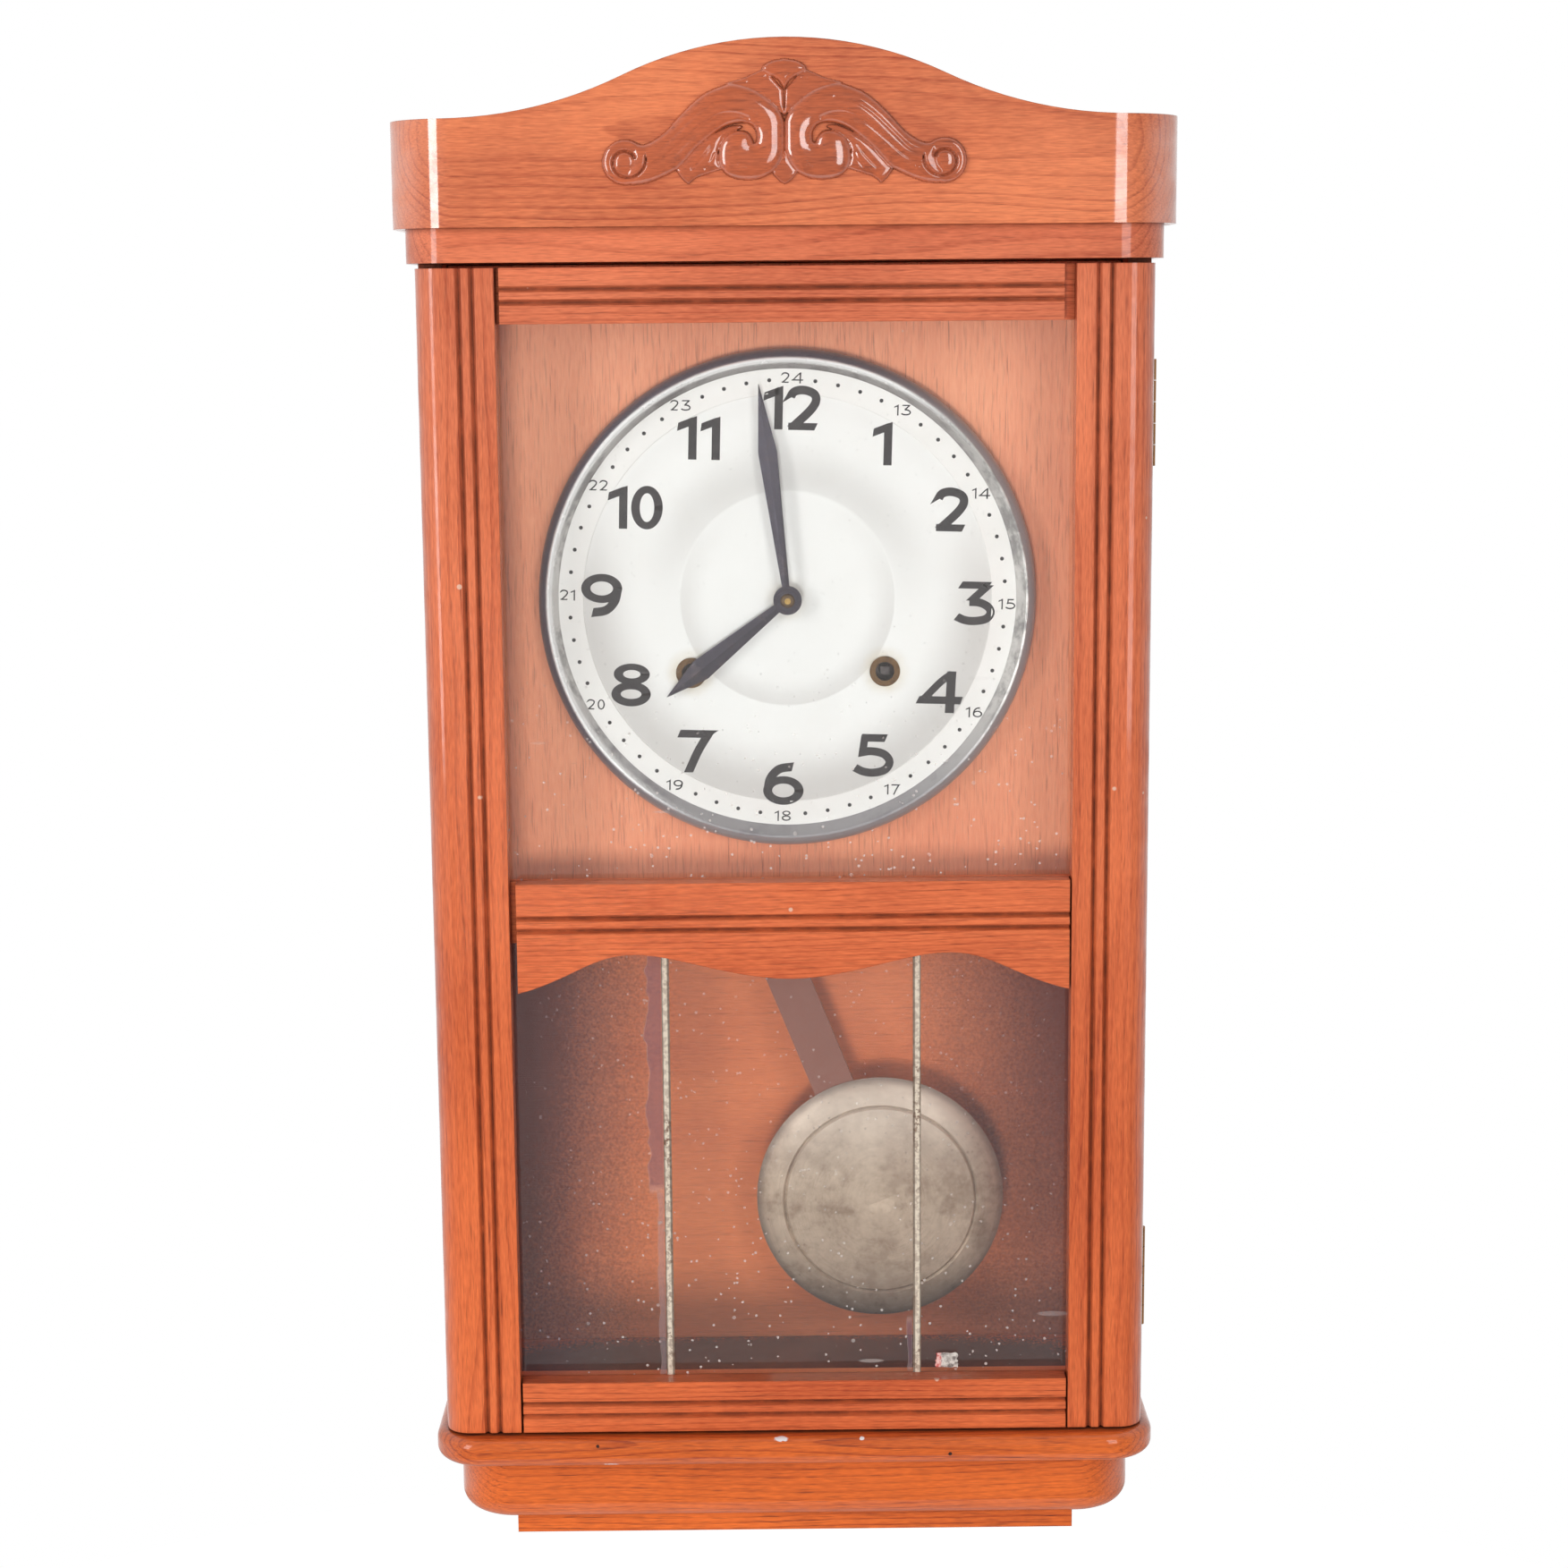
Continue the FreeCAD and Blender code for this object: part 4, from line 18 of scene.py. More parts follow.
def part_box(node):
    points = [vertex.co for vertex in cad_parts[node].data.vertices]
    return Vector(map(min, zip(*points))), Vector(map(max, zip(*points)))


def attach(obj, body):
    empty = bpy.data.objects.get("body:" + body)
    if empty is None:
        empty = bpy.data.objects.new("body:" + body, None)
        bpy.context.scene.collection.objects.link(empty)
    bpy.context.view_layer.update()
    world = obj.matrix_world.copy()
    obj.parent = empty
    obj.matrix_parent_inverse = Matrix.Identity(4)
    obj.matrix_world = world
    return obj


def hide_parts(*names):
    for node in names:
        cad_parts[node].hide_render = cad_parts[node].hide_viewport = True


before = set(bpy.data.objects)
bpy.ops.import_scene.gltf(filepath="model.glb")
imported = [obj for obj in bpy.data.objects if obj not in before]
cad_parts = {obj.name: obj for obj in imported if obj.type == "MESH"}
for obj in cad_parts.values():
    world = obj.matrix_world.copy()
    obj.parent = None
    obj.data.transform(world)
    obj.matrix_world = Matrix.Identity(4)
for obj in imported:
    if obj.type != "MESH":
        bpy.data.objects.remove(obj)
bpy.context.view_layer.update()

log = logging.getLogger("wall_clock")

Array = np.ndarray
Colour = tuple[float, float, float]
Socket = bpy.types.NodeSocket
MM = 0.001
TURN = 2.0 * math.pi


def stain(red: int, green: int, blue: int) -> Colour:
    """Linear colour of display values from 0 to 255."""
    shown = np.array([red, green, blue]) / 255.0
    linear = np.where(shown <= 0.04045, shown / 12.92, ((shown + 0.055) / 1.055) ** 2.4)
    return tuple(float(value) for value in linear)


# ---------------------------------------------------------------- node trees


class Graph:
    """A node tree that is built from left to right."""

    def __init__(self, tree: bpy.types.NodeTree) -> None:
        """Keep the tree that nodes are added to."""
        self.tree = tree

    def node(self, kind: str, settings: dict | None = None, **inputs) -> bpy.types.Node:
        """Add a node.

        Args:
            kind: type name without the ShaderNode prefix.
            settings: properties of the node itself.
            inputs: sockets or constants by socket name, with underscores for spaces.

        Returns:
            The new node.
        """
        made = self.tree.nodes.new("ShaderNode" + kind)
        for key, value in (settings or {}).items():
            setattr(made, key, value)
        for key, value in inputs.items():
            self.feed(made.inputs[key.replace("_", " ")], value)
        return made

    def feed(self, socket: Socket, value) -> None:
        """Link a socket, or set its constant."""
        if isinstance(value, Socket):
            self.tree.links.new(value, socket)
        elif isinstance(value, tuple) and len(value) == 3 and socket.type == "RGBA":
            socket.default_value = (*value, 1.0)
        else:
            socket.default_value = value

    def math(self, operation: str, *values) -> Socket:
        """Result of a Math node on up to three values."""
        made = self.node("Math", {"operation": operation})
        for socket, value in zip(made.inputs, values):
            self.feed(socket, value)
        return made.outputs[0]

    def vector(self, operation: str, *values, out: int = 0) -> Socket:
        """Result of a Vector Math node."""
        made = self.node("VectorMath", {"operation": operation})
        for socket, value in zip(made.inputs, values):
            self.feed(socket, value)
        return made.outputs[out]

    def mix(self, share, first, second, blend: str = "MIX") -> Socket:
        """Colour between two colours."""
        made = self.node("Mix", {"data_type": "RGBA", "blend_type": blend})
        self.feed(made.inputs[0], share)
        self.feed(made.inputs[6], first)
        self.feed(made.inputs[7], second)
        return made.outputs[2]

    def ramp(self, value, low, high, out_low=0.0, out_high=1.0) -> Socket:
        """Value carried smoothly from one range to another, and held at its ends."""
        made = self.node("MapRange", {"interpolation_type": "SMOOTHSTEP"})
        for index, given in enumerate((value, low, high, out_low, out_high)):
            self.feed(made.inputs[index], given)
        return made.outputs[0]

    def noise(self, vector, scale, detail: float = 2.0, rough: float = 0.5) -> Socket:
        """Noise from 0 to 1."""
        made = self.node("TexNoise", Vector=vector, Scale=scale, Detail=detail, Roughness=rough)
        return made.outputs[0]

    def place(self, vector, location=(0, 0, 0), rotation=(0, 0, 0), scale=(1, 1, 1)) -> Socket:
        """Vector scaled, then turned, then moved."""
        made = self.node("Mapping", Vector=vector, Location=location, Rotation=rotation, Scale=scale)
        return made.outputs[0]

    def own(self) -> Socket:
        """Object coordinates of the piece itself."""
        return self.node("TexCoord").outputs["Object"]

    def use(self, group: bpy.types.NodeTree, **inputs) -> bpy.types.Node:
        """Place a node group and fill its inputs."""
        return self.node("Group", {"node_tree": group}, **inputs)


class Effect:
    """A shader node group with named inputs and outputs, built once."""

    SOCKETS = {"vector": "NodeSocketVector", "colour": "NodeSocketColor", "value": "NodeSocketFloat"}

    def __init__(self, name: str, inputs: dict, outputs: dict) -> None:
        """Make the group's tree and its sockets.

        Args:
            name: the group's name.
            inputs: kind and default of each input, by its name.
            outputs: kind of each output, by its name.
        """
        self.tree = bpy.data.node_groups.new(name, "ShaderNodeTree")
        for label, (kind, default) in inputs.items():
            made = self.tree.interface.new_socket(label, in_out="INPUT", socket_type=self.SOCKETS[kind])
            if default is not None:
                made.default_value = (*default, 1.0) if kind == "colour" else default
        for label, kind in outputs.items():
            self.tree.interface.new_socket(label, in_out="OUTPUT", socket_type=self.SOCKETS[kind])
        self.graph = Graph(self.tree)
        self.given = self.tree.nodes.new("NodeGroupInput").outputs
        self.result = self.tree.nodes.new("NodeGroupOutput").inputs

    def close(self, **results) -> bpy.types.NodeTree:
        """Link the outputs and return the finished group."""
        for label, value in results.items():
            self.graph.feed(self.result[label], value)
        return self.tree


def wood_figure() -> bpy.types.NodeTree:
    """Figure of sawn wood whose grain runs along the vector's third axis.

    Growth rings are the fraction of the distance from a pith line over the ring pitch, with
    that distance bent by slow noise. Fibres, short flecks and broad clouds are noises drawn out
    along the grain, and pores are short dark streaks along it.

    Returns:
        The node group.
    """
    effect = Effect(
        "wood_figure",
        {
            "Vector": ("vector", None),
            "Light": ("colour", (0.7, 0.2, 0.1)),
            "Deep": ("colour", (0.4, 0.1, 0.04)),
            "Pore": ("colour", (0.1, 0.03, 0.02)),
            "Pitch": ("value", 0.0027),
            "Bend": ("value", 0.006),
            "Rings": ("value", 0.6),
            "Pores": ("value", 0.5),
        },
        {"Color": "colour", "Height": "value"},
    )
    g, given = effect.graph, effect.given
    vector = given["Vector"]
    slow = g.noise(g.place(vector, scale=(9, 9, 2.6)), 1.0, 2.0, 0.55)
    fine = g.noise(g.place(vector, scale=(190, 190, 22)), 1.0, 3.0, 0.55)
    flat = g.place(vector, scale=(1, 1, 0))
    reach = g.vector("LENGTH", flat, out=1)
    wander = g.math("MULTIPLY", g.math("SUBTRACT", slow, 0.5), g.math("MULTIPLY", given["Bend"], 4.0))
    tremble = g.math("MULTIPLY", g.math("SUBTRACT", fine, 0.5), 0.0012)
    bent = g.math("ADD", g.math("ADD", reach, wander), tremble)
    cycle = g.math("FRACT", g.math("DIVIDE", bent, given["Pitch"]))
    ring = g.math("MULTIPLY", g.ramp(cycle, 0.58, 0.94), g.ramp(cycle, 0.95, 1.0, 1.0, 0.0))
    year = g.noise(g.node("CombineXYZ", X=g.math("MULTIPLY", bent, 110.0)).outputs[0], 1.0, 1.0)
    ring = g.math("MULTIPLY", ring, g.ramp(year, 0.32, 0.7, 0.25, 1.0))
    streak = g.ramp(g.noise(g.place(vector, scale=(1700, 1700, 80)), 1.0, 1.0, 0.6), 0.55, 0.72)
    streak = g.math("MULTIPLY", streak, g.math("ADD", 0.45, g.math("MULTIPLY", ring, 0.55)))
    fibre = g.noise(g.place(vector, scale=(1000, 1000, 13)), 1.0, 2.0, 0.6)
    fleck = g.noise(g.place(vector, scale=(1500, 1500, 170)), 1.0, 1.0, 0.6)
    broad = g.noise(g.place(vector, scale=(22, 22, 7)), 1.0, 3.0, 0.55)
    share = g.math("ADD", 0.3, g.math("MULTIPLY", ring, given["Rings"]))
    for noise, strength in ((fibre, 0.32), (fleck, 0.75), (broad, 1.15)):
        share = g.math("ADD", share, g.math("MULTIPLY", g.math("SUBTRACT", noise, 0.5), strength))
    share = g.math("MAXIMUM", g.math("MINIMUM", share, 1.0), 0.0)
    colour = g.mix(share, given["Light"], given["Deep"])
    colour = g.mix(g.math("MULTIPLY", streak, given["Pores"]), colour, given["Pore"])
    height = g.math("SUBTRACT", g.math("MULTIPLY", share, 0.3), streak)
    return effect.close(Color=colour, Height=height)


def old_dirt() -> bpy.types.NodeTree:
    """Dark grime and painted shade in corners and grooves, found by ambient occlusion and broken up by
    noise.

    Returns:
        The node group.
    """
    effect = Effect(
        "old_dirt",
        {
            "Vector": ("vector", None),
            "Color": ("colour", (0.5, 0.5, 0.5)),
            "Dirt": ("colour", (0.07, 0.018, 0.011)),
            "Amount": ("value", 0.8),
            "Reach": ("value", 0.0035),
        },
        {"Color": "colour", "Mask": "value"},
    )
    g, given = effect.graph, effect.given
    shade = g.node("AmbientOcclusion", {"samples": 6}, Distance=given["Reach"]).outputs["AO"]
    patchy = g.noise(given["Vector"], 90.0, 3.0, 0.6)
    mask = g.ramp(shade, 0.15, 0.95, 1.0, 0.0)
    mask = g.math("MULTIPLY", mask, g.ramp(patchy, 0.3, 0.62, 0.5, 1.0))
    mask = g.math("MULTIPLY", mask, given["Amount"])
    return effect.close(Color=g.mix(mask, given["Color"], given["Dirt"]), Mask=mask)


def fine_specks() -> bpy.types.NodeTree:
    """Scattered round specks; their number grows with the density.

    Returns:
        The node group.
    """
    effect = Effect(
        "fine_specks",
        {
            "Vector": ("vector", None),
            "Size": ("value", 0.3),
            "Scale": ("value", 200.0),
            "Density": ("value", 0.2),
        },
        {"Mask": "value"},
    )
    g, given = effect.graph, effect.given
    cells = g.node("TexVoronoi", {"feature": "F1"}, Vector=given["Vector"], Scale=given["Scale"])
    chosen = g.node("SeparateColor", Color=cells.outputs["Color"])
    keep = g.math("LESS_THAN", chosen.outputs[0], given["Density"])
    size = g.math("MULTIPLY", given["Size"], g.math("ADD", 0.35, chosen.outputs[1]))
    near = g.ramp(g.math("SUBTRACT", cells.outputs["Distance"], size), -0.05, 0.01, 1.0, 0.0)
    return effect.close(Mask=g.math("MULTIPLY", keep, near))


def patina() -> bpy.types.NodeTree:
    """Cloudy tarnish: a mix of two sizes of blotches.

    Returns:
        The node group.
    """
    effect = Effect(
        "patina",
        {
            "Vector": ("vector", None),
            "Scale": ("value", 40.0),
            "Low": ("value", 0.4),
            "High": ("value", 0.7),
        },
        {"Mask": "value"},
    )
    g, given = effect.graph, effect.given
    large = g.noise(given["Vector"], given["Scale"], 5.0, 0.62)
    small = g.noise(given["Vector"], g.math("MULTIPLY", given["Scale"], 6.0), 3.0, 0.6)
    both = g.math("ADD", g.math("MULTIPLY", large, 0.75), g.math("MULTIPLY", small, 0.25))
    return effect.close(Mask=g.ramp(both, given["Low"], given["High"]))


FIGURE = wood_figure()
GRIME_AND_SHADE = old_dirt()
SPECKS = fine_specks()
PATINA = patina()


# ---------------------------------------------------------------- finishes


class Grain(Enum):
    """Turn that lays the grain's direction on the third axis of the figure."""

    ALONG_X = (0.0, -math.pi / 2, 0.0)
    ALONG_Y = (math.pi / 2, 0.0, 0.0)
    ALONG_Z = (0.0, 0.0, 0.0)


def new_material(name: str) -> tuple[Graph, bpy.types.Node, bpy.types.Material]:
    """Material with an empty Principled surface.

    Args:
        name: the material's name.

    Returns:
        Its graph, its Principled node and the material.
    """
    material = bpy.data.materials.new(name)
    material.use_nodes = True
    material.node_tree.nodes.clear()
    graph = Graph(material.node_tree)
    surface = graph.node("BsdfPrincipled")
    output = graph.node("OutputMaterial")
    graph.feed(output.inputs["Surface"], surface.outputs[0])
    return graph, surface, material


@dataclass(frozen=True)
class Mark:
    """A chip, nail hole, crack or dark patch: an ellipsoid that colours what lies in it.

    Attributes:
        centre: its middle.
        half: its half width, half depth and half height.
        colour: its colour.
        solid: share of its reach that is fully coloured.
        blur_end: share of its reach where its edge ends.
    """

    centre: tuple[float, float, float]
    half: tuple[float, float, float]
    colour: Colour
    solid: float = 0.8
    blur_end: float = 1.05

    def over(self, g: Graph, own: Socket, colour: Socket) -> Socket:
        """Colour with the mark on it, its edge broken up by noise."""
        away = g.vector("DIVIDE", g.vector("SUBTRACT", own, self.centre), self.half)
        ragged = g.math("MULTIPLY", g.math("SUBTRACT", g.noise(own, 900.0, 3.0), 0.5), self.solid)
        reach = g.math("ADD", g.vector("LENGTH", away, out=1), ragged)
        return g.mix(g.ramp(reach, self.solid, self.blur_end, 1.0, 0.0), colour, self.colour)


@dataclass(frozen=True)
class Wood:
    """A stained and varnished wood.

    Attributes:
        name: start of its materials' names.
        light: colour of the pale wood.
        deep: colour of its rings and fibres.
        pore: colour of its pores.
        aged: factor on the colour that grows towards the bottom of the clock.
        pitch: distance between growth rings.
        bend: how far the rings wander.
        rings: strength of the rings.
        pores: strength of the pores.
        dirt: strength of the grime and painted shade in corners and grooves.
        dirt_reach: how far from a corner the grime and painted shade lie.
        coat: weight of the varnish.
        coat_rough: roughness of the varnish.
        coat_index: refractive index of the varnish.
        rough: roughness of the wood below it.
        soft_edge: radius that edges look rounded by.
        chip: colour of small chips in the varnish.
    """

    name: str
    light: Colour
    deep: Colour
    pore: Colour = stain(70, 30, 24)
    aged: tuple[float, float, float] = (1.0, 1.0, 1.0)
    pitch: float = 0.0024
    bend: float = 0.006
    rings: float = 0.38
    pores: float = 0.5
    dirt: float = 0.8
    dirt_reach: float = 0.0035
    coat: float = 0.9
    coat_rough: float = 0.08
    coat_index: float = 1.5
    rough: float = 0.5
    soft_edge: float = 0.0008
    chip: Colour = stain(226, 190, 168)

    def material(self, piece: str, grain: Grain, pith: tuple[float, float] = (0.0, 0.0),
                 marks: tuple[Mark, ...] = ()) -> bpy.types.Material:
        """Material of one board, cut from its own place in the log.

        Args:
            piece: name of the board.
            grain: direction of the grain.
            pith: where the pith lies off the frame's axis, across the grain.
            marks: damage, dust and painted shade at fixed places.

        Returns:
            The material.
        """
        g, surface, material = new_material(f"{self.name}_{piece}")
        own = g.own()
        turned = g.place(own, location=(pith[0], pith[1], 0.37 * len(piece)), rotation=grain.value)
        figure = g.use(FIGURE, Vector=turned, Light=self.light, Deep=self.deep, Pore=self.pore,
                       Pitch=self.pitch, Bend=self.bend, Rings=self.rings, Pores=self.pores)
        height = g.node("SeparateXYZ", Vector=own).outputs["Z"]
        colour = g.mix(g.ramp(height, 0.06, -0.4), figure.outputs["Color"],
                       g.mix(1.0, figure.outputs["Color"], self.aged, "MULTIPLY"))
        # Grime and painted shade in corners and grooves, from ambient occlusion.
        dirt = g.use(GRIME_AND_SHADE, Vector=own, Color=colour, Amount=self.dirt, Reach=self.dirt_reach)
        shifted = g.vector("ADD", own, (0.1 * len(piece), 0.0, 0.0))
        chips = g.use(SPECKS, Vector=shifted, Size=0.16, Scale=160.0, Density=0.018)
        colour = g.mix(g.math("MULTIPLY", chips.outputs[0], 0.75), dirt.outputs["Color"], self.chip)
        for mark in marks:
            colour = mark.over(g, own, colour)
        g.feed(surface.inputs["Base Color"], colour)
        hand_wear = g.noise(own, 26.0, 3.0, 0.6)
        rough = g.ramp(hand_wear, 0.3, 0.7, self.rough - 0.07, self.rough + 0.1)
        rough = g.math("ADD", rough, g.math("MULTIPLY", dirt.outputs["Mask"], 0.3))
        g.feed(surface.inputs["Roughness"], rough)
        sheen = g.ramp(g.noise(own, 60.0, 4.0, 0.7), 0.35, 0.75, self.coat, self.coat * 0.45)
        dull = g.math("SUBTRACT", 1.0, dirt.outputs["Mask"])
        g.feed(surface.inputs["Coat Weight"], g.math("MULTIPLY", sheen, dull))
        surface.inputs["Coat Roughness"].default_value = self.coat_rough
        surface.inputs["Coat IOR"].default_value = self.coat_index
        edge = g.node("Bevel", {"samples": 4}, Radius=self.soft_edge)
        waves = g.noise(g.place(turned, scale=(1, 1, 0.2)), 160.0, 2.0)
        relief = g.math("ADD", figure.outputs["Height"], g.math("MULTIPLY", waves, 0.9))
        bump = g.node("Bump", Strength=0.35, Distance=0.00012, Height=relief, Normal=edge.outputs[0])
        g.feed(surface.inputs["Normal"], bump.outputs[0])
        return material


@dataclass(frozen=True)
class Metal:
    """A bare, plated or blued metal with tarnish.

    Attributes:
        name: the material's name.
        base: colour of the clean metal.
        tarnish: colour of the tarnished metal.
        rough: roughness of the clean metal.
        tarnish_rough: roughness of the tarnished metal.
        scale: scale of the tarnish's blotches.
        low: noise value below which the metal is clean.
        high: noise value above which it is fully tarnished.
        metallic: share of metal in its reflection.
        bump: strength of its fine grain.
    """

    name: str
    base: Colour
    tarnish: Colour
    rough: float = 0.3
    tarnish_rough: float = 0.5
    scale: float = 40.0
    low: float = 0.45
    high: float = 0.75
    metallic: float = 1.0
    bump: float = 0.1

    def material(self) -> bpy.types.Material:
        """The metal's material."""
        g, surface, material = new_material(self.name)
        own = g.own()
        cloud = g.use(PATINA, Vector=own, Scale=self.scale, Low=self.low, High=self.high).outputs[0]
        colour = g.mix(cloud, self.base, self.tarnish)
        # Grime and painted shade in corners, from ambient occlusion.
        dirt = g.use(GRIME_AND_SHADE, Vector=own, Color=colour, Amount=0.6, Reach=0.0015)
        g.feed(surface.inputs["Base Color"], dirt.outputs["Color"])
        g.feed(surface.inputs["Roughness"], g.ramp(cloud, 0.0, 1.0, self.rough, self.tarnish_rough))
        surface.inputs["Metallic"].default_value = self.metallic
        grains = g.noise(own, 900.0, 2.0)
        bump = g.node("Bump", Strength=self.bump, Distance=0.00008, Height=grains)
        g.feed(surface.inputs["Normal"], bump.outputs[0])
        return material


@dataclass(frozen=True)
class Glass:
    """Old window glass that lets lamp light straight through."""

    name: str = "pane_glass"
    tint: Colour = (0.97, 0.975, 0.97)
    clear: Colour = (0.96, 0.965, 0.96)
    index: float = 1.45

    def material(self) -> bpy.types.Material:
        """The glass material: refraction for the eye, a clear sheet for shadow and diffuse rays."""
        g, surface, material = new_material(self.name)
        surface.inputs["Base Color"].default_value = (*self.tint, 1.0)
        surface.inputs["Transmission Weight"].default_value = 1.0
        surface.inputs["Roughness"].default_value = 0.0
        surface.inputs["IOR"].default_value = self.index
        clear = g.node("BsdfTransparent", Color=self.clear)
        path = g.node("LightPath")
        straight = g.math("MAXIMUM", path.outputs["Is Shadow Ray"], path.outputs["Is Diffuse Ray"])
        blend = g.node("MixShader")
        g.feed(blend.inputs[0], straight)
        g.feed(blend.inputs[1], surface.outputs[0])
        g.feed(blend.inputs[2], clear.outputs[0])
        output = next(node for node in material.node_tree.nodes if node.type == "OUTPUT_MATERIAL")
        g.feed(output.inputs["Surface"], blend.outputs[0])
        return material


class Around:
    """Places on a round piece: its radius from an axis along Y and its height above the axis."""

    def __init__(self, graph: Graph, centre: tuple[float, float]) -> None:
        """Measure from the axis.

        Args:
            graph: tree that the nodes go into.
            centre: X and Z of the axis.
        """
        own = graph.own()
        self.vector = graph.vector("SUBTRACT", own, (centre[0], 0.0, centre[1]))
        self.flat = graph.vector("MULTIPLY", self.vector, (1.0, 0.0, 1.0))
        self.radius = graph.vector("LENGTH", self.flat, out=1)
        parts = graph.node("SeparateXYZ", Vector=self.flat)
        self.x, self.z = parts.outputs["X"], parts.outputs["Z"]
        self.angle = graph.math("ARCTAN2", self.z, self.x)


def ring_band(graph: Graph, radius: Socket, middle_radius: float,
              half: float) -> Socket:
    """Mask that is 1 on a circle and falls to 0 at a distance from it."""
    away = graph.math("ABSOLUTE", graph.math("SUBTRACT", radius, middle_radius))
    return graph.ramp(away, 0.0, half, 1.0, 0.0)


@dataclass(frozen=True)
class Silvering:
    """Silvered and lacquered dial, yellowed round its holes, with painted shade over parts of its hollow.
    """

    centre: tuple[float, float]
    pale: Colour = stain(252, 252, 250)
    # grey is the colour of the painted shade in the hollow and on the middle disc's edge.
    grey: Colour = stain(206, 203, 200)
    track: Colour = stain(248, 246, 243)
    yellow: Colour = stain(214, 196, 158)
    haze: Colour = stain(190, 182, 170)
    speck: Colour = stain(128, 112, 96)
    disc_radius: float = 0.046
    track_radius: float = 0.088
    wind_x: float = 0.042
    wind_drop: float = 0.0317
    stain_start: float = 0.0055
    stain_end: float = 0.0125

    def material(self) -> bpy.types.Material:
        """The dial's material."""
        g, surface, material = new_material("silvered_dial")
        around = Around(g, self.centre)
        # Painted shade: greyer above the middle disc where the hollow starts, and near the track.
        above = g.ramp(around.z, -0.02, 0.05)
        low = g.math("SUBTRACT", 1.0, above)
        band = g.math("MULTIPLY", ring_band(g, around.radius, 0.053, 0.018), above)
        outer = ring_band(g, around.radius, 0.086, 0.011)
        slope = g.ramp(around.radius, self.disc_radius, self.disc_radius + 0.0015)
        band = g.math("MULTIPLY", band, slope)
        grey = g.math("ADD", g.math("MULTIPLY", band, 0.45), g.math("MULTIPLY", outer, 0.12))
        colour = g.mix(grey, self.pale, self.grey)
        # Painted shade over the lower part of the hollow.
        lower = g.math("MULTIPLY", g.math("MULTIPLY", g.ramp(around.radius, 0.06, 0.084), low), 0.8)
        colour = g.mix(lower, colour, self.grey)
        # Painted shade along the lower edge of the middle disc.
        rise = g.ramp(around.radius, 0.034, self.disc_radius - 0.0005)
        fall = g.ramp(around.radius, self.disc_radius - 0.0002, self.disc_radius + 0.0008, 1.0, 0.0)
        lip_shade = g.math("MULTIPLY", g.math("MULTIPLY", rise, fall), low)
        colour = g.mix(g.math("MULTIPLY", lip_shade, 0.45), colour, self.grey)
        track = g.ramp(around.radius, self.track_radius - 0.0003, self.track_radius + 0.0004)
        colour = g.mix(track, colour, self.track)
        glow = ring_band(g, around.radius, 0.0, self.stain_end)
        for side in (-1.0, 1.0):
            away = g.vector("SUBTRACT", around.flat, (side * self.wind_x, 0.0, -self.wind_drop))
            reach = g.vector("LENGTH", away, out=1)
            glow = g.math("MAXIMUM", glow, g.ramp(reach, self.stain_start, self.stain_end, 1.0, 0.0))
        cloud = g.use(PATINA, Vector=around.vector, Scale=55.0, Low=0.35, High=0.7).outputs[0]
        glow = g.math("MULTIPLY", glow, g.math("ADD", 0.35, g.math("MULTIPLY", cloud, 0.5)))
        colour = g.mix(g.math("MULTIPLY", glow, 0.7), colour, self.yellow)
        colour = g.mix(g.math("MULTIPLY", cloud, 0.05), colour, self.haze)
        specks = g.use(SPECKS, Vector=around.vector, Size=0.13, Scale=260.0, Density=0.02).outputs[0]
        colour = g.mix(g.math("MULTIPLY", specks, 0.45), colour, self.speck)
        g.feed(surface.inputs["Base Color"], colour)
        g.feed(surface.inputs["Roughness"], g.ramp(cloud, 0.0, 1.0, 0.42, 0.55))
        surface.inputs["Metallic"].default_value = 0.15
        return material


